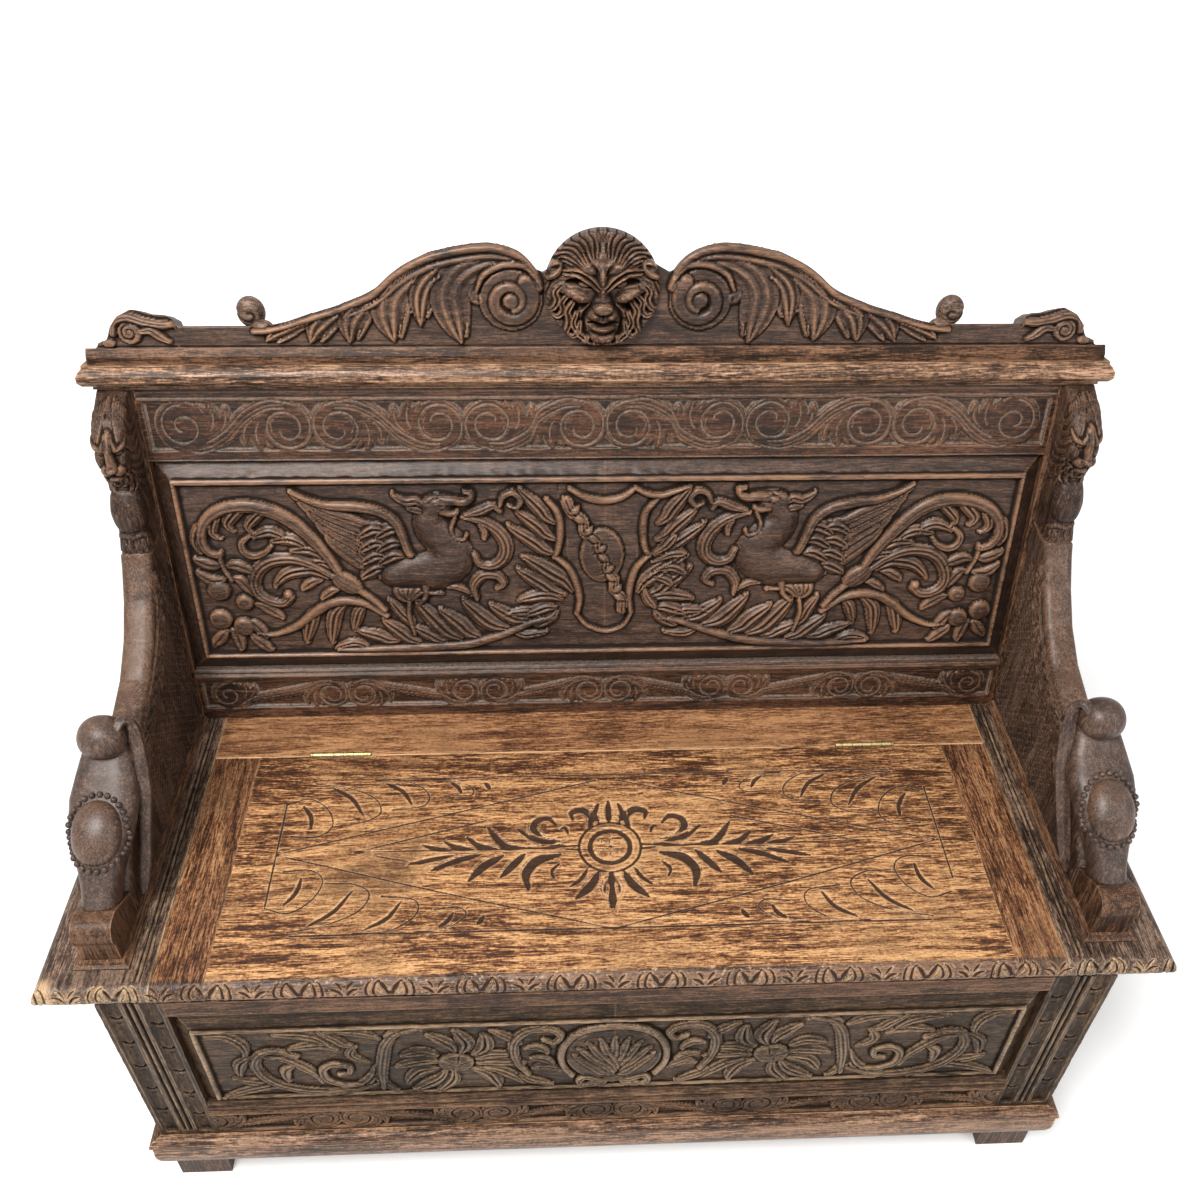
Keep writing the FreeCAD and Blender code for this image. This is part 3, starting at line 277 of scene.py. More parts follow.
# %% The wood itself
def make_oak_group():
    tree = open_oak_group()
    n = Nodes(tree)
    given = tree.nodes.new("NodeGroupInput").outputs
    end = tree.nodes.new("NodeGroupOutput")
    where = n.where()
    shift = n.add("ShaderNodeVectorMath", {"operation": "SCALE"}, i0=(3.1, 1.7, 2.3), Scale=given["Seed"])
    moved = n.add("ShaderNodeVectorMath", {"operation": "ADD"}, i0=where, i1=shift)
    board = n.add("ShaderNodeVectorMath", {"operation": "MULTIPLY"}, i0=moved, i1=given["Along"])
    rings = n.noise(board, 4.0, 6.0, 0.68, 2.4)
    fibre = n.noise(board, 50.0, 4.0, 0.75, 0.3)
    pores = n.ramp(n.noise(board, 95.0, 2.0, 0.5), 0.55, 0.68)
    clouds = n.noise(moved, 7.0, 8.0, 0.66, 0.6)
    fine = n.noise(moved, 260.0, 4.0, 0.7)
    # Each noise pulls the tone up and down round its middle, by its own share.
    tone = n.math("MULTIPLY", n.math("SUBTRACT", rings, 0.5), 2.3)
    for source, share in ((fibre, 3.5), (clouds, 1.7), (fine, 1.2)):
        tone = n.math("ADD", tone, n.math("MULTIPLY", n.math("SUBTRACT", source, 0.5), share))
    tone = n.math("ADD", n.math("MULTIPLY", tone, given["Streaks"]), given["Tone"], clamp=True)
    wood = n.mix(n.math("MULTIPLY", tone, 2.0, clamp=True), given["Dark"], given["Middle"])
    wood = n.mix(n.math("SUBTRACT", n.math("MULTIPLY", tone, 2.0), 1.0, clamp=True), wood, given["Light"])
    wood = n.mix(n.math("MULTIPLY", pores, 0.72), wood, given["Dark"])
    # Age and painted light come in layers: stain, then bare rubbed wood and painted highlights, painted
    # shade in the hollows, and dust on top.
    blot = n.ramp(n.math("ADD", clouds, n.math("MULTIPLY", fibre, 0.9)), 0.98, 1.22)
    wood = n.mix(n.math("MULTIPLY", blot, given["Stain"]), wood, given["Dark"])
    patchy = n.math("MULTIPLY", given["Wear and highlight"], n.ramp(n.math("ADD", fibre, clouds), 0.75, 1.20),
        clamp=True)
    wood = n.mix(patchy, wood, given["Bare"])
    # The hollows are darkened as painted shade.
    wood = n.mix(n.math("MULTIPLY", given["Hollow"], 0.95, clamp=True), wood, given["Pit"])
    dusty = n.math("MULTIPLY", given["Line"], n.ramp(fine, 0.25, 0.65), clamp=True)
    n.feed(end.inputs["Colour"], n.mix(dusty, wood, given["Dust"]))
    rough = n.math("ADD", n.math("MULTIPLY", fibre, 0.3), 0.40)
    rough = n.math("ADD", rough, n.math("MULTIPLY", given["Hollow"], 0.5))
    rough = n.math("SUBTRACT", rough, n.math("MULTIPLY", given["Wear and highlight"], 0.2), clamp=True)
    n.feed(end.inputs["Roughness"], rough)
    n.feed(end.inputs["Height"], n.math("SUBTRACT", n.math("MULTIPLY", fibre, 0.7),
        n.math("MULTIPLY", pores, 0.5)))
    print("old oak:", len(tree.nodes), "nodes")
    return tree


oak_group = make_oak_group()

# %% [markdown]
# ## One oak for each board
#
# Each board is the same wood with its own grain direction, seed and tones, and some have their own
# marks: a dark nosing, a bare patch, pale scratches. Separate trees would repeat all of that, so one
# function builds every oak. Carved pieces read two values from their mesh, `hollow` and `line`,
# which were measured on the grid of heights, so painted shade, painted highlights, wear and dust
# follow the carving at any angle.

# %% Tones and wear that only some boards have
GRAIN = {"x": (1.0, 12.0, 12.0), "y": (12.0, 1.0, 12.0), "z": (12.0, 12.0, 1.0)}


def darken_nosing(n, group, nose, values):
    """The nosing of the lid is darker than its flat, and the lid is darker towards its ends and its rear."""
    depth = n.add("ShaderNodeSeparateXYZ", None, 1, Vector=n.where())
    front = n.ramp(depth, -0.2545, -0.2500)
    for key, value in nose.items():
        n.feed(group.inputs[key], n.mix(front, value, values[key]))
    across = n.add("ShaderNodeSeparateXYZ", Vector=n.where())
    ends = n.ramp(n.math("ABSOLUTE", across), 0.31, 0.45)
    dim = n.math("MAXIMUM", n.math("MULTIPLY", n.ramp(depth, -0.01, 0.055), 0.27),
        n.math("MULTIPLY", ends, 0.10))
    dim = n.math("SUBTRACT", dim, n.math("MULTIPLY", n.ramp(depth, -0.249, -0.225, flip=True), 0.16))
    n.feed(group.inputs["Tone"], n.math("SUBTRACT", values["Tone"], dim))
    return depth


def bare_patch(n, wear_and_highlight, x, y, z, radius):
    """A ragged patch round a point, where the finish has gone."""
    far = n.add("ShaderNodeVectorMath", {"operation": "DISTANCE"}, 1, i0=n.where(), i1=(x, y, z))
    ragged = n.math("ADD", far, n.math("MULTIPLY", n.noise(n.where(), 60.0, 4.0, 0.6), 0.03))
    bare = n.ramp(ragged, radius, radius * 1.25 + 0.006, flip=True)
    return n.math("MAXIMUM", wear_and_highlight, n.math("MULTIPLY", bare, 1.35))

# %% Painted shade and highlights, wear and dust from the carving
def carved_shade_and_wear(n, group, wear_and_highlight, pit, ridge, dust, scratch):
    """Painted shade in the hollows and fine cuts, bare wood and painted highlights on the tops and ridges,
    and dust or pale scratches in the fine lines.
    """
    hollow = n.add("ShaderNodeAttribute", {"attribute_name": "hollow"}, 2)
    line = n.add("ShaderNodeAttribute", {"attribute_name": "line"}, 2)
    # Fine cuts are darkened as painted shade, a little where dust lies and not at all where there are
    # scratches.
    cut_shade = n.math("MULTIPLY", n.ramp(line, 0.1, 0.7), 0.2 if dust else 0.0 if scratch else 0.9)
    n.feed(group.inputs["Hollow"], n.math("MAXIMUM", n.ramp(hollow, *pit), cut_shade))
    # Tops of forms and thin ridges turn towards the bare colour: partly real wear, partly painted highlight.
    high = n.math("MULTIPLY", n.ramp(n.math("MULTIPLY", hollow, -1.0), 0.8, 3.2), 0.30)
    thin = n.math("MULTIPLY", n.ramp(n.math("MULTIPLY", line, -1.0), *ridge), 0.55)
    wear_and_highlight = n.math("MAXIMUM", n.math("ADD", high, thin, clamp=True), wear_and_highlight)
    if scratch:
        pale = n.math("SUBTRACT", n.ramp(line, *scratch[:2]), n.ramp(hollow, *scratch[2:]), clamp=True)
        n.feed(group.inputs["Line"], n.math("MULTIPLY", pale, 0.8))
    elif dust:
        n.feed(group.inputs["Line"], n.math("MULTIPLY", n.ramp(line, 0.16, 0.65), dust))
    return wear_and_highlight

# %% The oak of one board
def oak(name, grain="x", seed=0.0, carved=False, gloss=0.35, edge=0.0016, dust=0.0, pit=(0.2, 3.0),
        ridge=(0.12, 0.75), scratch=None, nose=None, patch=None, **values):
    """The two spans say where painted shade in the hollows, and wear with painted highlight on the ridges,
    start and end, and values go to the group's inputs.
    """
    material, n, shader = new_material(name)
    group = n.tree.nodes.new("ShaderNodeGroup")
    group.node_tree = oak_group
    for key, value in (("Along", GRAIN[grain]), ("Seed", seed), *values.items()):
        n.feed(group.inputs[key], value)
    if nose:
        depth = darken_nosing(n, group, nose, values)
    soft = n.add("ShaderNodeBevel", {"samples": 4}, Radius=edge * 2)
    true = n.add("ShaderNodeNewGeometry", out=3)
    bend = n.add("ShaderNodeVectorMath", {"operation": "DOT_PRODUCT"}, 1, i0=soft, i1=true)
    edges = n.ramp(bend, 0.80, 0.985, flip=True)
    wear_and_highlight = n.math("MULTIPLY", edges, 0.3 if carved and not patch else 1.0)
    if nose:
        wear_and_highlight = n.math("MAXIMUM", wear_and_highlight, n.math("MULTIPLY", n.ramp(depth, 0.0708, 0.0728), 1.6))
    if carved:
        wear_and_highlight = carved_shade_and_wear(n, group, wear_and_highlight, pit, ridge, dust, scratch)
    if patch:
        wear_and_highlight = bare_patch(n, wear_and_highlight, *patch)
    n.feed(group.inputs["Wear and highlight"], wear_and_highlight)
    bump = n.add("ShaderNodeBump", Height=group.outputs["Height"], Distance=0.0004, Strength=0.7)
    n.feed(shader.inputs["Normal"], bump)
    n.feed(shader.inputs["Base Color"], group.outputs["Colour"])
    n.feed(shader.inputs["Roughness"], group.outputs["Roughness"])
    shader.inputs["Specular IOR Level"].default_value = gloss * 0.4
    shader.inputs["Coat Roughness"].default_value = 0.36
    shader.inputs["Coat IOR"].default_value = 1.45
    wax = n.math("SUBTRACT", 0.9, group.outputs["Roughness"], clamp=True)
    n.feed(shader.inputs["Coat Weight"], n.math("MULTIPLY", wax, gloss * 1.5, clamp=True))
    print("material", name)
    return material

# %% [markdown]
# ## The carver's tools
#
# A carver has a few gouges and makes everything with them. A `Relief` is a board as a grid of
# heights, and its methods are the gouges. `stroke` raises or cuts a shape along a smooth line whose
# width and height change on the way: a leaf lobe, a stem or a feather. `blade` does that with its
# own width at each point, `groove` cuts a line, and `dome` raises a round form, such as a berry.
#
# The same could be done with curves and Boolean cuts, which break on hundreds of crossing forms.
# On a grid a later stroke simply lies over the earlier ones, with a thin cut round its edge.

# %% Smooth lines and soft grids
def smooth_line(points, spacing=0.8):
    """A smooth curve through points, which may carry more columns, such as width and height."""
    p = np.array(points, float)
    ends = np.vstack([2 * p[0] - p[1], p, 2 * p[-1] - p[-2]])
    out = []
    for a, b, c, d in zip(ends, ends[1:], ends[2:], ends[3:]):
        count = max(2, int(np.hypot(*(c - b)[:2]) / spacing))
        t = np.linspace(0, 1, count, endpoint=False)[:, None]
        out.append(0.5 * (2 * b + (c - a) * t + (2 * a - 5 * b + 4 * c - d) * t ** 2
            + (3 * b - a - 3 * c + d) * t ** 3))
    return np.vstack(out + [p[-1:]])


def taper(count, start, middle, end, peak=0.45):
    """Values that swell from start to middle and fall to end."""
    t = np.linspace(0, 1, count)
    up = start + (middle - start) * np.sin(np.clip(t / peak, 0, 1) * np.pi / 2)
    down = end + (middle - end) * np.cos(np.clip((t - peak) / (1 - peak), 0, 1) * np.pi / 2)
    return np.where(t < peak, up, down)


def spread(value, count):
    """One number for each point of a line, from one number or from (start, middle, end)."""
    return np.full(count, float(value)) if np.isscalar(value) else taper(count, *value)


def soften(grid, radius):
    """A soft blur by a few box averages."""
    size = max(1, int(radius))
    for axis in (0, 1):
        for _ in range(3):
            padded = np.pad(grid, [(size, size) if a == axis else (0, 0) for a in (0, 1)], mode="edge")
            total = np.cumsum(padded, axis=axis)
            total = np.insert(total, 0, 0, axis=axis)
            width = 2 * size + 1
            high = np.take(total, np.arange(width, total.shape[axis]), axis=axis)
            low = np.take(total, np.arange(0, total.shape[axis] - width), axis=axis)
            grid = (high - low) / width
    return grid

# %% The relief and its gouges
FAR = 1e9


class Relief:
    """A grid of heights over u and v, with its ground at one height."""

    def __init__(self, u0, u1, v0, v1, step, ground=0.0):
        self.u0, self.v0, self.step, self.ground = u0, v0, step, ground
        self.u = np.arange(u0, u1 + step / 2, step)
        self.v = np.arange(v0, v1 + step / 2, step)
        self.h = np.full((len(self.v), len(self.u)), float(ground))
        self.wear = np.zeros_like(self.h)

    def window(self, line, reach):
        """Slices of the grid that hold a line and its surroundings."""
        low, high = line.min(0) - reach, line.max(0) + reach
        i0, i1 = (int(max(0, (w - self.u0) / self.step)) for w in (low[0], high[0]))
        j0, j1 = (int(max(0, (w - self.v0) / self.step)) for w in (low[1], high[1]))
        return slice(j0, j1 + 2), slice(i0, i1 + 2)

    def nearest(self, line, half, cut):
        """For each point near a line: its distance in half-widths, the nearest point of the line,
        how far to the side it lies, and its gap to the stroke's edge."""
        lead = np.gradient(line, axis=0)
        lead /= np.maximum(np.hypot(*lead.T), 1e-9)[:, None]
        rows, cols = self.window(line, half.max() + cut * 2 + self.step)
        u, v = self.u[cols], self.v[rows]
        best, gap = (np.full((len(v), len(u)), FAR) for _ in range(2))
        which = np.zeros((len(v), len(u)), int)
        for k, ((x, y), w) in enumerate(zip(line, half)):
            r = w + cut * 2 + self.step
            a0, a1 = np.searchsorted(u, (x - r, x + r))
            b0, b1 = np.searchsorted(v, (y - r, y + r))
            far = np.hypot(u[None, a0:a1] - x, v[b0:b1, None] - y)
            part = (slice(b0, b1), slice(a0, a1))
            q = far / max(w, 0.1)
            which[part] = np.where(q < best[part], k, which[part])
            best[part] = np.minimum(q, best[part])
            gap[part] = np.minimum(gap[part], far - w)
        du, dv = u[None, :] - line[which, 0], v[:, None] - line[which, 1]
        side = (dv * lead[which, 0] - du * lead[which, 1]) / np.maximum(half, 0.1)[which]
        return (rows, cols), best, which, side, gap

    def stroke(self, points, width, height, edge=0.2, vein=0.0, flutes=0, cut=0.7, base=None, over=True,
            flat=0.5):
        """Carve along points. Width and height are (start, middle, end) or one number."""
        line = smooth_line(points, self.step * 0.9)
        half, tall = spread(width, len(line)), spread(height, len(line))
        part, best, which, side, gap = self.nearest(line, half, cut)
        inside = best < 1
        round_top = np.sqrt(np.clip(1 - np.clip(best, 0, 1) ** 2, 0, 1)) ** (2 * flat)
        form = edge + (1 - edge) * round_top
        if vein:
            form = form - vein * np.exp(-(side / 0.16) ** 2)
        if flutes:
            form = form - 0.26 * (0.5 + 0.5 * np.cos(side * np.pi * (flutes + 1)))
        level = (self.ground if base is None else base) + tall[which] * form
        h = self.h[part]
        if over:
            ring = (gap > 0) & (gap < cut * 1.6)
            h[ring] = np.maximum(h[ring] - cut * 0.8, self.ground - 0.4)
            h[inside] = np.where(level > h - 2.2, level, h)[inside]
        else:
            h[inside] = np.maximum(h, level)[inside]
        return self

    def blade(self, shape, height, flutes=2, edge=0.25, cut=1.0):
        """Carve a leaf along points that carry their own half-width: (x, y, half)."""
        line = smooth_line(shape, self.step * 0.9)
        part, best, which, side, gap = self.nearest(line[:, :2], np.maximum(line[:, 2], 0.4), cut)
        place = np.linspace(0, 1, len(line))[which]
        inside = best < 1
        form = edge + (1 - edge) * np.sqrt(np.clip(1 - np.clip(best, 0, 1) ** 2, 0, 1))
        form *= 0.55 + 0.45 * np.sin(np.clip(place, 0, 0.86) * 1.82)
        form -= 0.36 * (0.5 + 0.5 * np.cos(side * np.pi * (flutes + 1))) * (1 - 0.2 * place)
        form -= 0.07 * np.clip(place * 3 - 2, 0, 1) * np.sin(place * 60) ** 2
        level = self.ground + height * form
        h = self.h[part]
        ring = (gap > 0) & (gap < cut * 1.6)
        h[ring] = np.maximum(h[ring] - cut, self.ground - 0.6)
        h[inside] = np.where(level > h - 3.0, level, h)[inside]
        self.wear[part][inside] = (3.0 * np.clip(place * 2.6 - 1.5, 0, 1))[inside]
        return self

    def groove(self, points, width, depth):
        """Cut a round-bottomed line."""
        line = smooth_line(points, self.step * 0.8)
        half = spread(width, len(line))
        rows, cols = self.window(line, half.max() + self.step)
        u, v = self.u[cols], self.v[rows]
        bite = np.zeros((len(v), len(u)))
        for (x, y), w in zip(line[:, :2], half):
            a0, a1 = np.searchsorted(u, (x - w, x + w))
            b0, b1 = np.searchsorted(v, (y - w, y + w))
            q = ((u[None, a0:a1] - x) ** 2 + (v[b0:b1, None] - y) ** 2) / max(w, 0.1) ** 2
            part = (slice(b0, b1), slice(a0, a1))
            bite[part] = np.maximum(bite[part], np.clip(1 - q, 0, 1) * min(1, w / half.max() + 0.2))
        self.h[rows, cols] -= depth * bite
        return self

    def dome(self, x, y, wide, tall, height, edge=0.3, base=None, cut=0.7, turn=0.0):
        """Raise a round or oval form."""
        du, dv = self.u[None, :] - x, self.v[:, None] - y
        c, s = math.cos(turn), math.sin(turn)
        q = np.hypot((du * c + dv * s) / wide, (dv * c - du * s) / tall)
        ring = (q > 1) & ((q - 1) * min(wide, tall) < cut * 1.6)
        self.h[ring] = np.maximum(self.h[ring] - cut * 0.8, self.ground - 0.4)
        form = edge + (1 - edge) * np.sqrt(np.clip(1 - q * q, 0, 1))
        level = (self.ground if base is None else base) + height * form
        self.h[q < 1] = np.maximum(level, self.h)[q < 1]
        return self

    def hollows(self, radius=4.0):
        """How far each point lies below its wider surroundings, and below its close ones."""
        wide = soften(self.h, radius / self.step)
        near = soften(self.h, 1)
        return np.stack([wide - self.h - self.wear, near - self.h], -1)

    def sample(self, grid, x, y):
        """Values of a grid at free points."""
        i = np.clip((x - self.u0) / self.step, 0, len(self.u) - 1.001)
        j = np.clip((y - self.v0) / self.step, 0, len(self.v) - 1.001)
        i0, j0 = i.astype(int), j.astype(int)
        fi, fj = i - i0, j - j0
        if grid.ndim == 3:
            fi, fj = fi[..., None], fj[..., None]
        top = grid[j0, i0] * (1 - fi) + grid[j0, i0 + 1] * fi
        low = grid[j0 + 1, i0] * (1 - fi) + grid[j0 + 1, i0 + 1] * fi
        return top * (1 - fj) + low * fj

# %% [markdown]
# ## From grids to boards
#
# Each carved board is a solid plank on the real settle. Displacing a plane would leave an open
# sheet, so `carved_sheet` takes a front grid and a point behind each point of its border, and
# closes the two into one solid. `lean` and `upright` turn drawing coordinates into metres in the
# settle's frame, and `link` tells the frame which body a piece rides on and which finish it has.

# %% Places in metres
def lean(x, through, up):
    y = BACK_FACE + through * math.cos(LEAN) + up * math.sin(LEAN) - MIDDLE
    z = SEAT + up * math.cos(LEAN) - through * math.sin(LEAN)
    return np.stack(np.broadcast_arrays(x, y, z), -1) * MM


def upright(x, y, z):
    return np.stack(np.broadcast_arrays(x, np.asarray(y) - MIDDLE, z), -1) * MM

# %% A mesh from arrays
def link(name, mesh, material, body="root", slot="oak_dark"):
    mesh.materials.append(material)
    mesh.polygons.foreach_set("use_smooth", np.ones(len(mesh.polygons), bool))
    mesh.update()
    piece = bpy.data.objects.new(name, mesh)
    bpy.context.scene.collection.objects.link(piece)
    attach(piece, body)
    print(f"{name}: {len(mesh.polygons)} faces, rides on {body}")
    return piece


def mark_creases(mesh, rings, count):
    """Mark the edges between neighbours of a ring as sharp."""
    ends = np.zeros(len(mesh.edges) * 2, np.int32)
    mesh.edges.foreach_get("vertices", ends)
    ends = ends.reshape(-1, 2)
    sharp = np.zeros(len(ends), bool)
    for ring in rings:
        order = np.full(count, -10, np.int64)
        order[ring] = np.arange(len(ring))
        a, b = order[ends[:, 0]], order[ends[:, 1]]
        apart = np.abs(a - b)
        sharp |= (a >= 0) & (b >= 0) & ((apart == 1) | (apart == len(ring) - 1))
    mark = mesh.attributes.new("sharp_edge", "BOOLEAN", "EDGE")
    mark.data.foreach_set("value", sharp)


def raw_mesh(name, verts, quads, values, crease=()):
    """A mesh of four-sided faces, with the values `hollow` and `line` at each point."""
    mesh = bpy.data.meshes.new(name)
    mesh.vertices.add(len(verts))
    mesh.vertices.foreach_set("co", np.ascontiguousarray(verts, float).ravel())
    mesh.loops.add(quads.size)
    mesh.loops.foreach_set("vertex_index", np.ascontiguousarray(quads, np.int32).ravel())
    mesh.polygons.add(len(quads))
    mesh.polygons.foreach_set("loop_start", np.arange(0, quads.size, 4, dtype=np.int32))
    mesh.update(calc_edges=True)
    values = np.broadcast_to(np.asarray(values, np.float32).reshape(len(verts), -1), (len(verts), 2))
    for k, layer_name in enumerate(("hollow", "line")):
        layer = mesh.attributes.new(layer_name, "FLOAT", "POINT")
        layer.data.foreach_set("value", np.ascontiguousarray(values[:, k], np.float32))
    if len(crease):
        mark_creases(mesh, crease, len(verts))
    mesh.validate()
    return mesh

# %% Faces of grids, tubes and ends
def grid_quads(rows, cols, flip=False):
    j, i = np.meshgrid(np.arange(rows - 1), np.arange(cols - 1), indexing="ij")
    a = (j * cols + i).ravel()
    quads = np.stack([a, a + 1, a + cols + 1, a + cols], 1)
    return quads[:, ::-1] if flip else quads


def fan(ring, apex, flip=False):
    """Faces that close a ring to one point, two of the ring's edges at a time."""
    k = np.arange(0, len(ring) - 2, 2)
    order = (2, 1, 0) if flip else (0, 1, 2)
    return np.stack([ring[k + step] for step in order] + [np.full(len(k), apex)], 1)


def tube_faces(rows, cols):
    """Faces of a tube of rings. The points after its grid are the middles of its two ends."""
    index = np.arange(rows * cols).reshape(rows, cols)
    ends = [fan(index[0], rows * cols, flip=True), fan(index[-1], rows * cols + 1)]
    return np.vstack([grid_quads(rows, cols)] + ends)

# %% A carved sheet, closed behind
def strip_caps(ring, rows, cols):
    """Back faces for a hollow outline: a strip under each column, and a fan at each end."""
    count, corner = len(ring), rows + cols - 2
    low = ring[:cols]
    high = ring[corner:corner + cols][::-1]
    left = np.append(ring[(np.arange(count, count - rows, -1)) % count], high[1])
    right = np.concatenate([[high[-2]], ring[cols - 1:corner + 1][::-1]])
    caps = [np.stack([low[1:-2], high[1:-2], high[2:-1], low[2:-1]], 1)]
    for apex, side in ((low[1], left), (low[-2], right)):
        caps.append(np.roll(fan(side, apex), 1, axis=1))
    return np.vstack(caps)


def carved_sheet(name, front, behind, hollow, material, flip=False, upright_strips=False, **more):
    """A solid with a carved front grid of points. behind gives the back point of each border point."""
    rows, cols = front.shape[:2]
    index = np.arange(rows * cols).reshape(rows, cols)
    border = np.concatenate([index[0, :], index[1:, -1], index[-1, -2::-1], index[-2:0:-1, 0]])
    back = behind.reshape(-1, 3)[border]
    count = len(border)
    verts = np.vstack([front.reshape(-1, 3), back])
    ring = np.arange(count) + rows * cols
    following = np.roll(np.arange(count), -1)
    walls = np.stack([border, ring, ring[following], border[following]], 1)
    if upright_strips:
        caps = strip_caps(ring, rows, cols)
    else:
        verts = np.vstack([verts, back.mean(0)[None]])
        half = np.arange(0, count, 2)
        centre = np.full(len(half), len(verts) - 1)
        caps = np.stack([ring[half], centre, ring[(half + 2) % count], ring[(half + 1) % count]], 1)
    quads = np.vstack([grid_quads(rows, cols), walls, caps])
    if flip:
        quads = quads[:, ::-1]
    values = np.zeros((len(verts), 2))
    values[:rows * cols] = hollow.reshape(rows * cols, -1)
    return link(name, raw_mesh(name, verts, quads, values, (border, ring)), material, **more)

# %% Boards of the back and of the chest
def lean_board(name, relief, back_depth, material, cols=slice(None)):
    """A carved board of the leaned back, or only some columns of it."""
    x, up = np.meshgrid(relief.u[cols], relief.v)
    behind = lean(x, back_depth + 0 * x, up)
    return carved_sheet(name, lean(x, -relief.h[:, cols], up), behind, relief.hollows()[:, cols],
        material)


def face_board(name, relief, back_depth, material, cols=slice(None), rows=slice(None)):
    """A carved board that stands upright in the chest's front."""
    x, z = np.meshgrid(relief.u[cols], relief.v[rows])
    front = upright(x, -relief.h[rows][:, cols], z)
    behind = upright(x, back_depth + 0 * x, z)
    return carved_sheet(name, front, behind, relief.hollows()[rows][:, cols], material)

# %% [markdown]
# ## Leaves, and halves that mirror
#
# Acanthus, feathers and flower petals are all leaves to the carver: a lobe that swells and comes to
# a curled or blunt tip. Two functions draw them from a few points each. Most panels are one half
# and its mirror image, so `Half` sends each point through a function before it draws. A mirrored
# mesh would be exact. Points that go a little astray on the second half look cut by hand.

# %% Two kinds of leaf
def turned(vector, angle):
    c, s = math.cos(angle), math.sin(angle)
    return np.array([vector[0] * c - vector[1] * s, vector[0] * s + vector[1] * c])


def leaf(relief, points, width, height, vein=0.35, curl=0.22, **more):
    """A lobe that starts narrow, swells and curls over at its blunt point, with a cut vein."""
    p = [np.array(point, float) for point in points]
    first, last = p[1] - p[0], p[-1] - p[-2]
    hand = 1 if first[0] * last[1] - first[1] * last[0] >= 0 else -1
    hook = p[-1] + turned(last, 1.15 * hand) * curl * min(1, 14 / np.hypot(*last))
    middle = (p[0] + p[1]) / 2 - turned(first, hand * math.pi / 2) * 0.09
    widths = (width * 0.45, width * 1.2, width * 0.3)
    heights = (height * 0.75, height, height * 0.9)
    relief.stroke([p[0], middle, *p[1:], hook], widths, heights, vein=vein, **more)


def lobe(relief, points, width, height, flutes=2, tips=False):
    """A hanging leaf that starts narrow, swells towards its end and comes to a blunt point."""
    line = smooth_line(points, 1.0)[:, :2]
    if tips:
        # Two side tips stand out from under the main one.
        for hand in (-1, 1):
            k = int(len(line) * 0.52)
            lead = line[k + 2] - line[k - 2]
            lead /= np.hypot(*lead)
            out = turned(lead, hand * math.pi / 2)
            root, end = line[k], line[int(len(line) * 0.86)]
            side_tip = [root, root + lead * width * 0.5 + out * width * 0.55, end + out * width * 0.95]
            relief.stroke(side_tip, (width * 0.3, width * 0.42, width * 0.16), height * 0.82, vein=0.4)
    t = np.linspace(0, 1, len(line))
    half = width * (0.26 + 0.74 * np.sin(np.clip(t / 0.74, 0, 1) * np.pi / 2) ** 1.5)
    half = half * np.clip(1 - (np.maximum(t - 0.74, 0) / 0.27) ** 1.7, 0.08, 1)
    step = max(1, len(line) // 16)
    keep = list(range(0, len(line) - 1, step)) + [len(line) - 1]
    relief.blade([(*line[i], half[i]) for i in keep], height, flutes)

# %% Half of a carving
class Half:
    """Draws on one half of a relief. place moves each point, and side is -1 left, 1 right."""

    def __init__(self, relief, place, side):
        self.relief, self.place, self.side = relief, place, side

    def stroke(self, points, *sizes, **more):
        self.relief.stroke(self.place(points), *sizes, **more)

    def groove(self, points, width, depth):
        self.relief.groove(self.place(points), width, depth)

    def leaf(self, points, *sizes, **more):
        leaf(self.relief, self.place(points), *sizes, **more)

    def lobe(self, points, *sizes, **more):
        lobe(self.relief, self.place(points), *sizes, **more)

    def dome(self, x, y, *sizes, **more):
        self.relief.dome(*self.place([(x, y)])[0], *sizes, **more)


def tool_marks(relief, depth, mask=1):
    """The small unevenness that a gouge leaves."""
    marks = soften(rng.normal(0, 1, relief.h.shape), 2)
    marks /= marks.std()
    relief.h += depth * marks * mask

# %% [markdown]
# ## The back panel
#
# One wide panel fills the back of the real settle. Its rim slopes down into the frame. Inside a
# narrow ledge the ground is sunk 8 mm, so that leafy scrolls, fruit and two dragons stand up on
# both sides of a shield. A carver first draws the outlines, then cuts the ground away and models
# each leaf. Here the ground is set first, and each leaf is raised from it by its own stroke.
#
# The numbers are places on the panel in millimetres, x from the middle and `up` from the seat.
# Only the left half is drawn. One function per ornament keeps each list of points short.

# %% The ground of the back panel
FIELD, GROUND = 10.0, 2.2
RISE = FIELD - GROUND


def as_drawn(points):
    return points


def mirrored(points):
    return [(-x, up) for x, up in points]


def astray(points):
    """Points of the left half, mirrored and a little astray."""
    return [(-x + 3 + 2.5 * math.sin(up * 0.05), up + 2.5 * math.sin(x * 0.03)) for x, up in points]


def panel_ground():
    panel = Relief(-530, 530, 76, 366, 1.45, GROUND)
    x, up = np.abs(panel.u)[None, :], panel.v[:, None]
    out = np.maximum(np.maximum((x - 508.5) / 21.5, (100 - up) / 24), (up - 345) / 21)
    inner = np.maximum(np.maximum(x - 502.5, 106 - up), up - 337)
    field = GROUND + (FIELD - GROUND) * np.clip(inner / 2.5, 0, 1)
    panel.h = np.where(out > 0, 6 - 16.2 * out, field)
    return panel

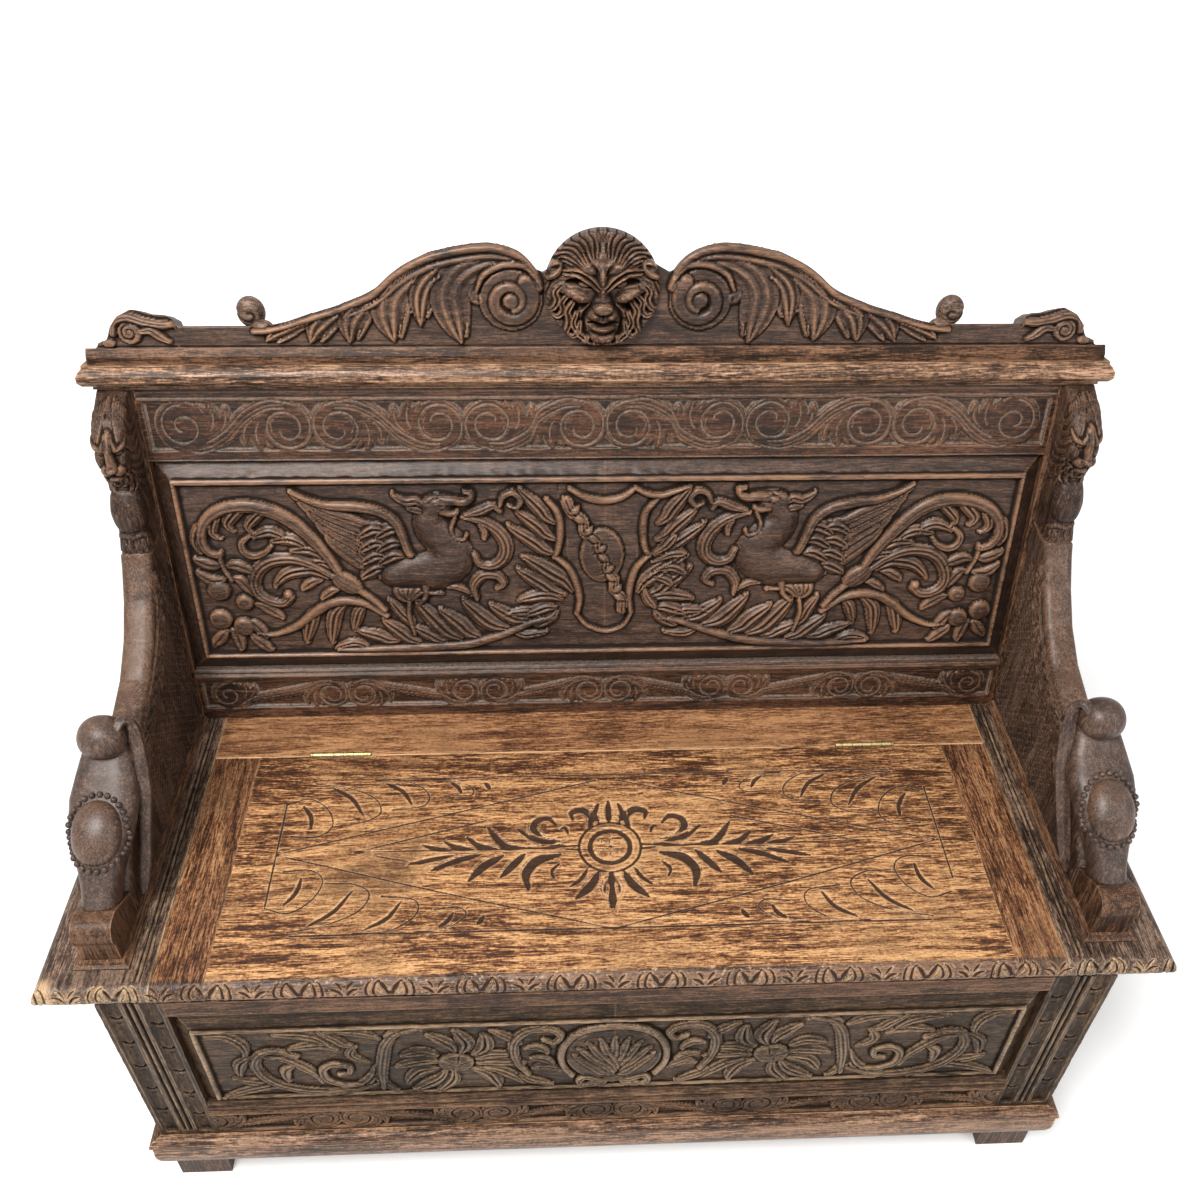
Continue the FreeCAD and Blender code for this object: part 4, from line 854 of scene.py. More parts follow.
# %% The tail, which ends in a thick leafy curl over the fruit
def carve_tail(draw):
    for points, wide in (([(-400, 304), (-418, 296), (-428, 284), (-424, 276)], 6),
            ([(-425, 310), (-443, 300), (-452, 288), (-447, 278)], 7),
            ([(-452, 308), (-468, 292), (-472, 276), (-463, 268)], 6),
            ([(-478, 290), (-490, 278), (-494, 262), (-490, 250)], 6)):
        draw.leaf(points, wide, RISE + 0.4, flutes=2)
    for points, wide in (([(-330, 222), (-345, 234), (-360, 236)], 6.5),
            ([(-344, 240), (-362, 252), (-380, 251)], 7.5), ([(-362, 254), (-384, 266), (-402, 264)],
            7.5), ([(-384, 265), (-406, 276), (-424, 270)], 7)):
        draw.leaf(points, wide, RISE * 0.95, vein=0.3, flutes=2)
    draw.stroke([(-428, 272), (-439, 262), (-438, 250), (-428, 244), (-414, 248), (-404, 258)],
        (3, 5.5, 3), RISE * 0.9, flutes=1)
    draw.stroke([(-324, 214), (-336, 238), (-350, 261), (-368, 283), (-388, 299), (-410, 308),
        (-432, 311), (-455, 307), (-472, 297), (-483, 281), (-486, 264), (-480, 251), (-468, 246)],
        (5, 9.5, 5), RISE + 1.2, vein=0.12)
    draw.groove([(-352, 259), (-370, 280), (-390, 295), (-411, 303), (-433, 305), (-454, 301),
        (-468, 291)], 1.3, 1.6)

# %% The middle scroll, a fat fluted leaf that curls round its own lobes
def carve_middle_scroll(draw):
    draw.leaf([(-350, 209), (-362, 207), (-374, 198)], 6, RISE * 0.9)
    draw.leaf([(-342, 213), (-366, 224), (-390, 219), (-407, 203)], 8, RISE, flutes=2)
    draw.stroke([(-336, 216), (-356, 230), (-380, 239), (-404, 238), (-422, 228), (-432, 210),
        (-430, 193), (-417, 181), (-401, 178), (-391, 186)], (5, 9, 6), RISE + 0.8, flutes=2)
    draw.dome(-393, 190, 6, 6, RISE + 1)

# %% The lower scroll and its hanging leaves
def carve_lower_scroll(draw):
    for points, wide in (([(-354, 172), (-370, 152), (-379, 122)], 8),
            ([(-324, 176), (-341, 154), (-347, 121)], 8), ([(-300, 173), (-311, 158), (-317, 138)], 6.5)):
        draw.leaf(points, wide, RISE, vein=0.2, flutes=2)
    draw.stroke([(-274, 158), (-296, 174), (-320, 180), (-344, 176), (-363, 164), (-381, 149),
        (-399, 139), (-420, 133), (-438, 136)], (4, 6.5, 2.2), RISE + 0.6)
    draw.stroke([(-304, 194), (-290, 182), (-276, 166)], (5, 5, 4), RISE)
    draw.leaf([(-330, 196), (-342, 192), (-352, 184)], 5, RISE * 0.9)
    draw.dome(-319, 206, 21, 13, RISE + 2.2, turn=0.65 * draw.side)
    for k in (-6.5, 0, 6.5):
        draw.groove([(-333 - k * 0.3, 216 + k), (-319, 205 + k * 1.1), (-304 + k * 0.3, 194 + k)], 1.0,
            1.2)

# %% The fruit and its leaves
def carve_fruit(draw):
    for points in ([(-468, 212), (-486, 212), (-498, 222)], [(-462, 230), (-448, 231), (-430, 222)],
            [(-456, 214), (-446, 208), (-436, 193)], [(-434, 176), (-420, 170), (-405, 158)],
            [(-446, 152), (-436, 142), (-428, 130)], [(-496, 116), (-488, 126), (-478, 138)],
            [(-446, 132), (-438, 122), (-426, 110)], [(-470, 140), (-464, 128), (-462, 112)],
            [(-470, 232), (-486, 234), (-498, 240)]):
        draw.leaf(points, 7, RISE * 0.85)
    draw.stroke([(-466, 250), (-468, 240), (-466, 228), (-459, 211)], (3.4, 3.0, 3.0), RISE * 0.9)
    for x, up, size in ((-477, 197, 14), (-448, 180, 11), (-481, 156, 14), (-454, 145, 13)):
        draw.dome(x, up, size, size, RISE + 1.6)
        draw.dome(x, up, 3, 3, RISE + 1.9)

# %% The acanthus along the foot
def carve_acanthus(draw):
    for points, wide in (([(-262, 120), (-288, 128), (-312, 136)], 8),
            ([(-236, 117), (-258, 132), (-278, 150)], 9), ([(-203, 118), (-222, 128), (-242, 140)], 8),
            ([(-242, 136), (-256, 161), (-268, 180)], 7), ([(-184, 122), (-210, 144), (-234, 176)], 11),
            ([(-160, 124), (-184, 144), (-206, 164)], 10), ([(-122, 136), (-152, 150), (-176, 176)], 10),
            ([(-96, 148), (-120, 154), (-142, 170)], 9), ([(-300, 110), (-322, 118), (-342, 112)], 6),
            ([(-118, 134), (-98, 126), (-74, 130)], 6), ([(-74, 150), (-96, 160), (-124, 158)], 7)):
        draw.leaf(points, wide, RISE * 0.95, vein=0.3, flutes=2)
    draw.stroke([(-241, 130), (-246, 156), (-244, 183)], (2.5, 3, 3), RISE)
    for points in ([(-244, 178), (-256, 192), (-256, 206)], [(-244, 180), (-244, 196), (-240, 212)],
            [(-242, 180), (-226, 194), (-204, 190)]):
        draw.leaf(points, 6.5, RISE)
    draw.stroke([(-340, 109), (-280, 109), (-234, 110), (-179, 113), (-143, 123), (-115, 134), (-92, 145),
        (-66, 152)], (3, 6.5, 4), RISE)

# %% [markdown]
# ## The dragons
#
# A dragon's body, breast, neck and head run into each other on the real panel, with no cut
# between them. Strokes on the panel itself would each leave an edge. So the body is first raised
# on a grid of its own and softened, and that one form is then laid on the panel. Feathers, beak,
# eye and claw are ordinary strokes over it.

# %% The dragon's wing: long feathers, short ones over their roots, and the leading ridge
def carve_feathers(draw):
    for k in range(5):
        a = k / 4
        draw.leaf([(-272 - 4 * a, 284 - 62 * a), (-304 - 4 * a, 290 - 50 * a),
            (-338 + 8 * a, 304 - 44 * a), (-371 + 34 * a, 325 - 52 * a)], 8.0, RISE * (0.95 - 0.1 * a),
            vein=0.25)
    for k in range(4):
        a = k / 3
        for shift in (0, 22):
            draw.leaf([(-246 - shift - 3 * a, 276 - 52 * a), (-262 - shift, 277 - 54 * a),
                (-276 - shift, 268 - 54 * a)], 8.5, RISE + 0.3, flutes=2)
    draw.stroke([(-373, 330), (-352, 318), (-330, 311), (-300, 309), (-272, 303), (-254, 290),
        (-246, 270), (-241, 250), (-234, 238), (-222, 236)], (2.5, 7, 4), RISE + 1.6, vein=0.12)

# %% The dragon's body
def carve_body(panel, draw):
    form = Relief(-530, 530, 76, 366, panel.step, GROUND)
    body = Half(form, draw.place, draw.side)
    body.stroke([(-262, 214), (-240, 218), (-215, 221), (-196, 226), (-186, 240), (-194, 258),
        (-209, 274), (-214, 290), (-205, 303)], (14, 25, 11), RISE + 3.2, edge=0.0, cut=0, over=False)
    body.stroke([(-214, 214), (-200, 224), (-192, 236)], (20, 25, 20), RISE + 3.6, edge=0.0, cut=0,
        over=False)
    body.stroke([(-212, 300), (-205, 309), (-192, 312)], (10, 14, 10), RISE + 3.2, edge=0.0, cut=0,
        over=False)
    shape = soften(form.h, 2)
    near = soften((shape > GROUND + 1.0).astype(float), 1)
    panel.h = np.where((near > 0.05) & (shape < GROUND + 1.6),
        np.maximum(panel.h - 1.6 * near, GROUND - 0.4), panel.h)
    panel.h = np.where(shape > GROUND + 1.6, np.maximum(shape, GROUND + 1.6), panel.h)

# %% Its ribs, head, beak and claw
def carve_dragon(panel, draw):
    carve_body(panel, draw)
    for k in range(9):
        x, up = -258 + 9 * k, 214 + 1.6 * k
        draw.groove([(x, up + 12 - k * 0.4), (x + 4, up + 3), (x + 2, up - 8 + k * 0.3)], 0.8, 0.5)
    draw.leaf([(-212, 310), (-226, 316), (-238, 315), (-253, 324)], 5.5, RISE + 1)
    draw.leaf([(-214, 302), (-226, 304), (-236, 306)], 4.5, RISE)
    draw.dome(-203, 310, 18, 13, RISE + 3.2, turn=0.15 * draw.side)
    draw.stroke([(-196, 315), (-182, 316), (-170, 314), (-162, 318), (-160, 325), (-168, 327)],
        (8, 6, 2.4), RISE + 2.4)
    draw.stroke([(-196, 302), (-186, 299), (-178, 300)], (6, 5, 3), RISE + 1.4)
    draw.stroke([(-178, 302), (-182, 290), (-186, 278), (-182, 267), (-172, 264), (-168, 270)],
        (2.6, 3, 2.4), RISE)
    draw.groove([(-190, 306), (-180, 307), (-171, 309)], 1.3, 2.0)
    draw.dome(-202, 314, 6.5, 5, RISE + 3.8, edge=0.75)
    draw.dome(-201, 313.5, 3.2, 2.6, RISE + 4.8)
    draw.groove([(-212, 314), (-202, 320.5), (-192, 316)], 1.2, 1.6)
    draw.stroke([(-222, 200), (-224, 184), (-232, 174)], (6, 4, 3), RISE)
    draw.leaf([(-196, 197), (-178, 196), (-166, 188)], 4, RISE)

# %% [markdown]
# ## The shield
#
# An oval shield with a ribbon down it fills the middle. Fluted curls and leaves close the gap
# between it and the dragons, so that no bare ground is left.

# %% Curls and leaves between the dragon and the shield
def carve_curls(draw):
    for points, wide in (([(-160, 180), (-163, 198), (-152, 213), (-134, 213), (-126, 202), (-134, 195)],
            7.5), ([(-172, 294), (-150, 288), (-130, 274), (-121, 256), (-124, 238), (-138, 227),
            (-154, 230), (-160, 243)], 9), ([(-152, 284), (-146, 276), (-147, 264)], 6),
            ([(-168, 297), (-151, 301), (-134, 308), (-126, 300)], 7),
            ([(-126, 308), (-122, 320), (-110, 325), (-101, 316), (-106, 306), (-116, 308)], 5)):
        draw.stroke(points, (3, wide, wide * 0.5), RISE + 0.8, flutes=2)
    for points, wide in (([(-60, 242), (-86, 258), (-116, 280)], 8),
            ([(-60, 262), (-82, 280), (-106, 300)], 8), ([(-60, 284), (-79, 304), (-101, 328)], 8),
            ([(-40, 190), (-64, 214), (-98, 238)], 10), ([(-50, 184), (-78, 200), (-106, 220)], 9),
            ([(-54, 178), (-80, 184), (-106, 178)], 8), ([(-62, 166), (-80, 164), (-98, 156)], 8),
            ([(-60, 160), (-72, 148), (-86, 140)], 7)):
        draw.leaf(points, wide, RISE + 0.4, flutes=2)

# %% The shield and its ribbon
def carve_shield(panel):
    left = [(-70, 316), (-57, 298), (-54, 274), (-57, 250), (-62, 238)]
    lower = [(-60, 238), (-44, 222), (-35, 200), (-31, 178), (-34, 158)]
    foot = [(-36, 158), (-22, 140), (2, 131), (24, 139), (34, 156)]
    panel.stroke([(-2, 320), (-2, 285), (-2, 250), (-1, 215), (0, 180), (0, 152)], (54, 44, 26), 1.2,
        flat=0.1, edge=0.9, cut=0, over=False)
    for points, wide in ((left, 5), (lower, 5), (foot, 3.6), ([(64, 316), (50, 298), (47, 274), (50, 250),
            (56, 238)], 5), ([(54, 238), (40, 222), (33, 200), (31, 178), (34, 158)], 5)):
        panel.stroke(points, (wide * 0.7, wide, wide * 0.7), RISE + 0.4)
    panel.stroke([(-42, 330), (-24, 319), (-2, 314), (20, 318), (37, 330)], (3.6, 5.6, 3.6), RISE + 0.4)
    panel.stroke([(37, 330), (52, 322), (68, 320), (84, 325), (98, 330)], (3.6, 4.6, 2.4), RISE + 0.4)
    panel.dome(-3, 240, 27, 37, RISE + 1.4, edge=0.55, cut=1.2)
    ribbon = [(-46, 314), (-40, 300), (-27, 288), (-24, 272), (-10, 262), (-8, 248), (2, 236), (2, 220),
        (12, 208), (12, 192), (22, 180), (22, 162)]
    panel.stroke(ribbon, (7, 6.5, 6), RISE + 3.2, flat=0.3, edge=0.6, flutes=2)
    for k, (x, up) in enumerate(ribbon[1:-1]):
        panel.dome(x + 4 * (-1) ** k, up + 2, 7.0, 4.6, RISE + 3.8, edge=0.6, cut=1.2,
            turn=0.7 * (-1) ** k)
        panel.groove([(x - 7, up - 5), (x, up - 3), (x + 7, up - 6)], 1.1, 1.8)
    # The beast's leafy mask on the right of the shield.
    for points, wide in (([(56, 238), (74, 250), (88, 268)], 8), ([(60, 228), (82, 240), (102, 242)], 8),
            ([(62, 216), (84, 222), (102, 214)], 9), ([(56, 208), (74, 206), (86, 198)], 8),
            ([(48, 200), (54, 180), (66, 164)], 7)):
        lobe(panel, points, wide * 1.1, RISE + 1.6, 2)

# %% The whole back panel
def make_back_panel():
    panel = panel_ground()
    frame_only = panel.h.copy()
    for place, side in ((as_drawn, -1), (astray, 1)):
        draw = Half(panel, place, side)
        for carve in (carve_tail, carve_middle_scroll, carve_lower_scroll, carve_fruit, carve_acanthus,
                carve_feathers):
            carve(draw)
        carve_dragon(panel, draw)
        carve_curls(draw)
    carve_shield(panel)
    inside = (np.abs(panel.u)[None, :] < 505) & (panel.v[:, None] > 103.5) & (panel.v[:, None] < 341)
    panel.h = np.where(inside, panel.h, frame_only)
    sunk = np.clip((FIELD - 2 - panel.h) / 4, 0, 1) * (panel.h > GROUND - 2)
    tool_marks(panel, 0.22, 0.5 + sunk)
    middle = len(panel.u) // 2
    left = lean_board("back_panel_carving_left", panel, 17.8, carved_dark, slice(0, middle + 1))
    right = lean_board("back_panel_carving_right", panel, 17.8, carved_dark, slice(middle, None))
    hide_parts("back_panel")
    print("back panel stands", round(panel.h.max(), 1), "mm out, right half has",
        len(right.data.vertices), "points")


carved_dark = oak("carved oak", "x", 1.0, carved=True, gloss=0.5, Streaks=0.8, pit=(0.1, 2.3))
make_back_panel()

# %% [markdown]
# ## The friezes
#
# The same pattern fills three bands of the real settle: scroll discs that touch in pairs, joined
# by S-shaped leaves. A chip-carver repeats one drawing along the band. So does this: one unit is
# drawn between two discs, in sizes of the disc's radius, and the band sets it from pair to pair.
# The ground is cut down first, and the discs are left nearly flat, with their spirals cut in.

# %% One unit of a scroll band
def scroll_unit(relief, xa, xb, middle, radius, ground, scale):
    """Carve the part between a low disc at xa and a high disc at xb, which may be on its left."""
    tall, span = -ground, abs(xb - xa) / radius
    hand = 1 if xb > xa else -1
    solid = {"base": ground, "flat": 0.14, "edge": 0.74, "cut": 0.5}

    def at(points, turn):
        if turn:
            points = [(span - p, -q) for p, q in points]
        return [(xa + hand * p * radius, middle + q * radius) for p, q in points]

    stem = [(0.0, 0.86), (0.5, 0.88), (1.0, 0.72), (1.55, 0.38), (span / 2, 0.0), (span - 1.55, -0.38),
        (span - 1.0, -0.72), (span - 0.5, -0.88), (span, -0.86)]
    for turn in (False, True):
        for points, wide in (([(0.45, 0.50), (0.98, 0.20), (1.18, -0.30), (1.08, -0.92)], 0.27),
                ([(0.85, 0.50), (1.35, 0.20), (1.62, -0.20), (1.66, -0.70)], 0.21),
                ([(0.2, 0.2), (0.80, -0.25), (0.82, -0.60), (0.66, -0.86)], 0.20)):
            relief.stroke(at(points, turn), (radius * wide * 0.8, radius * wide, radius * wide * 0.3),
                tall, **solid)
            relief.groove(at(points, turn), (0.6, 1.3 * scale, 0.6), 1.7)
    relief.stroke(at(stem, False), (radius * 0.19, radius * 0.25, radius * 0.19), tall, **solid)
    for turn in (False, True):
        relief.dome(*at([(0, 0)], turn)[0], radius * 0.985, radius * 0.985, tall, edge=0.99, base=ground,
            cut=0.6)
    for turn in (False, True):
        # The rim line winds in to the eye, and the eye lies off the disc's centre.
        t = np.linspace(0, 1, 40)
        angle = math.pi / 2 + t * 3.5 * math.pi
        r = 0.93 * (1 - t) ** 0.75 + 0.16 * t + 0.05
        curl = [(p * math.cos(a), p * math.sin(a) - 0.12 * s) for p, a, s in zip(r, angle, t)]
        relief.groove(at(curl[::2], turn), (1.4 * scale, 1.7 * scale, 1.2 * scale), 2.3)
        relief.groove(at([(0.05, 0.62), (0.50, 0.48), (0.78, 0.10), (0.70, -0.35), (0.42, -0.66)], turn),
            (0.5, 1.2 * scale, 0.5), 1.5)
        relief.groove(at([(0.20, 0.42), (0.52, 0.22), (0.58, -0.12), (0.44, -0.40)], turn),
            (0.4, scale, 0.4), 1.2)
    for shift, width in ((0.20, 1.5), (-0.22, 1.2), (-0.04, 0.9)):
        relief.groove(at([(p, q + shift * (0.55 + 0.45 * math.cos((p / span - 0.5) * 3))) for p,
            q in stem], False), width * scale, 1.9)

# %% A whole scroll band
def end_disc(relief, x, shift, middle, radius, ground, scale):
    """A disc beside the first or last pair, with its spiral."""
    relief.dome(x + shift * radius * 0.975, middle, radius * 0.985, radius * 0.985, -ground, edge=0.99,
        base=ground, cut=0.6)
    curl = []
    for s in np.linspace(0, 1, 24):
        r, a = radius * (0.9 - 0.7 * s), 1.5 + shift * s * 9
        curl.append((x + shift * radius * 0.975 + r * math.cos(a), middle + r * math.sin(a)))
    relief.groove(curl, 1.5 * scale, 2.0)


def scroll_band(relief, low, high, ground, pairs, reach, scale=1.0):
    """Carve the running scroll between two heights of a board. pairs holds (x, up) with up 1 or -1."""
    middle, radius = (low + high) / 2, (high - low) / 2
    band = (relief.v > low) & (relief.v < high)
    inside = band[:, None] & (np.abs(relief.u) < reach)[None, :]
    slope = np.clip(np.minimum(relief.v - low, high - relief.v) / 1.5, 0, 1)[:, None]
    relief.h = np.where(inside, relief.h + ground * slope, relief.h)
    gap = radius * 0.975
    for (xa, up), (xb, _) in zip(pairs, pairs[1:]):
        ends = (xa + gap, xb - gap)
        low_disc, high_disc = ends if up < 0 else ends[::-1]
        scroll_unit(relief, low_disc, high_disc, middle, radius, ground, scale)
    for x, _ in (pairs[0], pairs[-1]):
        for shift in (-1, 1):
            if abs(x + shift * radius) < reach:
                end_disc(relief, x, shift, middle, radius, ground, scale)
    relief.h = np.where(inside | ~band[:, None], relief.h, np.minimum(relief.h, 0))

# %% [markdown]
# ## The rails that carry the friezes
#
# Two rails frame the back panel, and a third is the chest's lowest board in front. Each is a plank
# with a moulding run along one edge. A moulding could be a swept profile. On a grid of heights it
# is simply a curve over the board's height, so the scroll band can be cut into the same surface.

# %% The rails of the back
PAIRS = [(-513, 1), (-338, -1), (-164, 1), (0, -1), (164, 1), (338, -1), (513, 1)]


def make_back_rails():
    top = Relief(-530, 530, 366, 454, 1.3)
    for low, high, depth in ((366, 368, 2.0), (441, 443.5, 1.5), (449, 450.5, 0.8)):
        top.h -= depth * ((top.v > low) & (top.v < high))[:, None]
    scroll_band(top, 378, 438, -4.6, PAIRS, 524)
    tool_marks(top, 0.12)
    piece = lean_board("back_frieze_carving", top, 27, frieze_oak)
    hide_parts("back_frieze_rail")
    low = Relief(-530, 530, 0, 76, 1.3)
    moulding = np.interp(low.v, [0, 62, 63.5, 66, 68, 70.5, 72, 76],
        [0, 0, 1.0, 4.6, 4.8, 1.5, 2.2, -1.8])
    low.h += moulding[:, None]
    scroll_band(low, 16, 57, -4.2, PAIRS, 524, 0.8)
    tool_marks(low, 0.12)
    piece = lean_board("back_rail_carving", low, 27, frieze_oak)
    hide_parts("back_bottom_rail")

# %% The rail of the chest's front
def make_front_rail():
    rail = Relief(-492.5, 492.5, 85, 226, 1.3)
    moulding = np.interp(rail.v, [85, 202, 203, 206, 209, 213, 217, 221, 226], [0, 0, 1.5, 5.0, 4.6, 1.6,
        2.2, -1.0, -3.0])
    rail.h += moulding[:, None]
    scroll_band(rail, 156, 198, -5.4, PAIRS, 484, 1.05)
    tool_marks(rail, 0.12)
    coarse = np.concatenate([np.arange(0, 46, 9), np.arange(48, len(rail.v))])
    piece = face_board("front_rail_carving", rail, 27, rail_oak, rows=coarse)
    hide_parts("front_bottom_rail")


frieze_oak = oak("frieze oak", "x", 3.0, carved=True, gloss=0.45, dust=0.7, pit=(0.6, 3.4),
    ridge=(0.6, 1.6), Pit=(0.034, 0.028, 0.023), Middle=(0.040, 0.016, 0.008),
    Light=(0.125, 0.056, 0.028), Dark=(0.007, 0.0035, 0.002), Dust=(0.19, 0.15, 0.12))
rail_oak = oak("front rail oak", "x", 4.0, carved=True, gloss=0.2, pit=(0.5, 3.6), ridge=(0.1, 0.7),
    Streaks=0.9, Pit=(0.012, 0.008, 0.0055), Middle=(0.062, 0.034, 0.019), Light=(0.165, 0.098, 0.058),
    Dark=(0.012, 0.007, 0.0045), Dust=(0.34, 0.27, 0.20))
make_back_rails()
make_front_rail()

# %% [markdown]
# ## The crest
#
# The crest is one board with a shaped top: volutes roll in at the middle, acanthus leaves hang over
# the long shoulders, and a small scroll ends it on each side. A sawn outline could be a Boolean
# cut. Here a straight grid is drawn out to the curve of the top instead, which keeps the rows of
# faces even and the board closed. The carving is sampled from its own flat grid.

# %% The outline of the crest
CREST_TOP = [(0, 590), (34, 594), (41, 596), (55, 590), (69, 582), (74, 584), (84, 597), (97, 606.5),
    (118, 612.5), (137, 613), (160, 610), (179, 606), (192, 602.5), (215, 592), (232, 581), (250, 566),
    (270, 556), (300, 545), (330, 536), (350, 530), (366, 526), (380, 524), (471, 524), (471.5, 530.5),
    (480, 536), (497, 537), (508, 541), (517, 542), (530, 536), (540, 524), (541.5, 524), (547, 510),
    (559, 504.5), (560.5, 497), (566, 496.5)]


def crest_top(x):
    xs, tops = zip(*CREST_TOP)
    bend = smooth_line([p for p in CREST_TOP if 70 < p[0] < 382], 1.0)
    tops = np.interp(np.abs(x), xs, tops)
    return np.where((np.abs(x) > 75) & (np.abs(x) < 379), np.interp(np.abs(x), bend[:, 0], bend[:, 1]),
        tops)

# %% Leaves that hang over the crest's shoulders
CREST_RISE = 8.0


def carve_crest_leaves(draw):
    for points, wide in (([(-249, 566), (-255, 556), (-250, 545)], 7),
            ([(-186, 580), (-189, 566), (-184, 556)], 7), ([(-140, 572), (-146, 560), (-136, 550)], 8),
            ([(-300, 542), (-304, 532), (-297, 524)], 6), ([(-218, 560), (-216, 546), (-208, 540)], 6)):
        draw.lobe(points, wide, CREST_RISE * 0.8, 1)
    for points, wide in (([(-280, 546), (-316, 534), (-342, 527), (-362, 518), (-374, 508)], 11),
            ([(-236, 566), (-276, 549), (-300, 537), (-317, 523), (-326, 506)], 14),
            ([(-196, 584), (-236, 566), (-262, 551), (-279, 532), (-283, 506)], 16),
            ([(-140, 600), (-184, 591), (-212, 577), (-233, 558), (-238, 536), (-234, 507)], 20),
            ([(-112, 601), (-150, 596), (-182, 581), (-200, 560), (-204, 524)], 13),
            ([(-76, 574), (-92, 591), (-126, 595), (-156, 583), (-171, 560), (-168, 534), (-160, 505)],
            20)):
        draw.lobe(points, wide, CREST_RISE, 2, tips=wide > 10)

# %% The crest's rim and its volute
def carve_volute(draw):
    # The rim, and the strands that run beside it.
    rim = [(-73, 566), (-77, 578)] + [(-x, crest_top(x) - 5.0) for x in range(86, 390, 12)]
    inner = [(x + 4, up - 9) for x, up in rim[3:20]]
    draw.stroke(inner, (3.0, 4.0, 2.0), CREST_RISE - 1)
    draw.stroke(rim, (5.5, 5.0, 3.4), CREST_RISE + 0.8)
    # The volute: a thick band round a deep spiral cut.
    draw.dome(-104, 552, 34, 33, CREST_RISE * 0.45, edge=0.8, cut=1.6)
    draw.stroke([(-77, 580), (-90, 590), (-112, 590), (-132, 580), (-141, 562)], (3, 4.5, 2), CREST_RISE,
        cut=1.0)
    b = np.linspace(0, 1, 44)
    curl = [(-104 + (26.5 - 16 * c ** 0.8) * math.cos(0.9 - c * 8.6),
        552 + (26 - 15.5 * c ** 0.8) * math.sin(0.9 - c * 8.6)) for c in b]
    draw.stroke(curl[::2], (8.0, 6.5, 4.0), CREST_RISE + 1, edge=0.5, cut=1.2)
    draw.dome(-104, 552, 8.5, 8.5, CREST_RISE + 1.0, edge=0.6, cut=1.0)

# %% The small leaf scroll at the crest's end
def carve_crest_end(draw):
    draw.dome(-520, 518, 12.5, 12.5, CREST_RISE * 0.8, edge=0.7)
    draw.stroke([(-538, 517), (-534, 530), (-520, 535), (-503, 530), (-487, 527), (-474, 527)],
        (4, 6.5, 4.5), CREST_RISE, flutes=2)
    draw.stroke([(-508, 519), (-497, 520), (-488, 513), (-479, 508)], (3, 5.5, 3), CREST_RISE * 0.8,
        vein=0.4)
    eye = []
    for w in np.linspace(0, 1, 14):
        r, a = 9.5 - 7 * w, draw.side * -w * 9 + 1.2
        eye.append((draw.side * 520 + r * math.cos(a), 518 + r * math.sin(a)))
    draw.relief.groove(eye, (0.8, 1.6, 0.8), 2.6)
    draw.dome(-545, 506, 7, 5, CREST_RISE * 0.6, edge=0.6)

# %% The whole crest
def make_crest():
    crest = Relief(-566, 566, 483, 616, 1.35)
    for place, side in ((as_drawn, -1), (mirrored, 1)):
        draw = Half(crest, place, side)
        carve_crest_leaves(draw)
        carve_volute(draw)
        carve_crest_end(draw)
    crest.h -= 1.2 * ((crest.v > 500) & (crest.v < 503))[:, None]
    tool_marks(crest, 0.18)
    x = crest.u
    top = crest_top(x)
    t = np.linspace(0, 1, 88)[:, None]
    up = 483 + t * (top - 483)[None, :]
    across = np.broadcast_to(x, up.shape)
    round_off = 1.6 * np.clip(1 - (top[None, :] - up) / 2.4, 0, 1) ** 2
    h = crest.sample(crest.h, across, up) - round_off
    hollow = crest.sample(crest.hollows(), across, up)
    hollow = hollow * np.clip((top[None, :] - up) / 1.5, 0, 1)[..., None]
    # The rear edge of the top is rounded away, so little of the top shows from in front.
    behind = lean(across, 27 + 0 * up, up - 9.0 * (t == 1))
    piece = carved_sheet("crest_carving", lean(across, -h, up), behind, hollow, carved_dark,
        upright_strips=True)
    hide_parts("crest_board", "crest_end_left", "crest_end_right")
    print("crest rises to", round(top.max()), "mm up the slope")


make_crest()

# %% [markdown]
# ## The chest's front panel
#
# The front panel has two leafy scrolls on each side of a round shell. It is carved lower than the
# back, because knees and boots pass it. It is drawn in the same way as the back panel, as a left
# half and an uneven mirror image.

# %% The outer scroll of the front panel
FRONT_RISE = 5.0


def astray_in_front(points):
    return [(-x + 2, z + 2 * math.sin(x * 0.04)) for x, z in points]


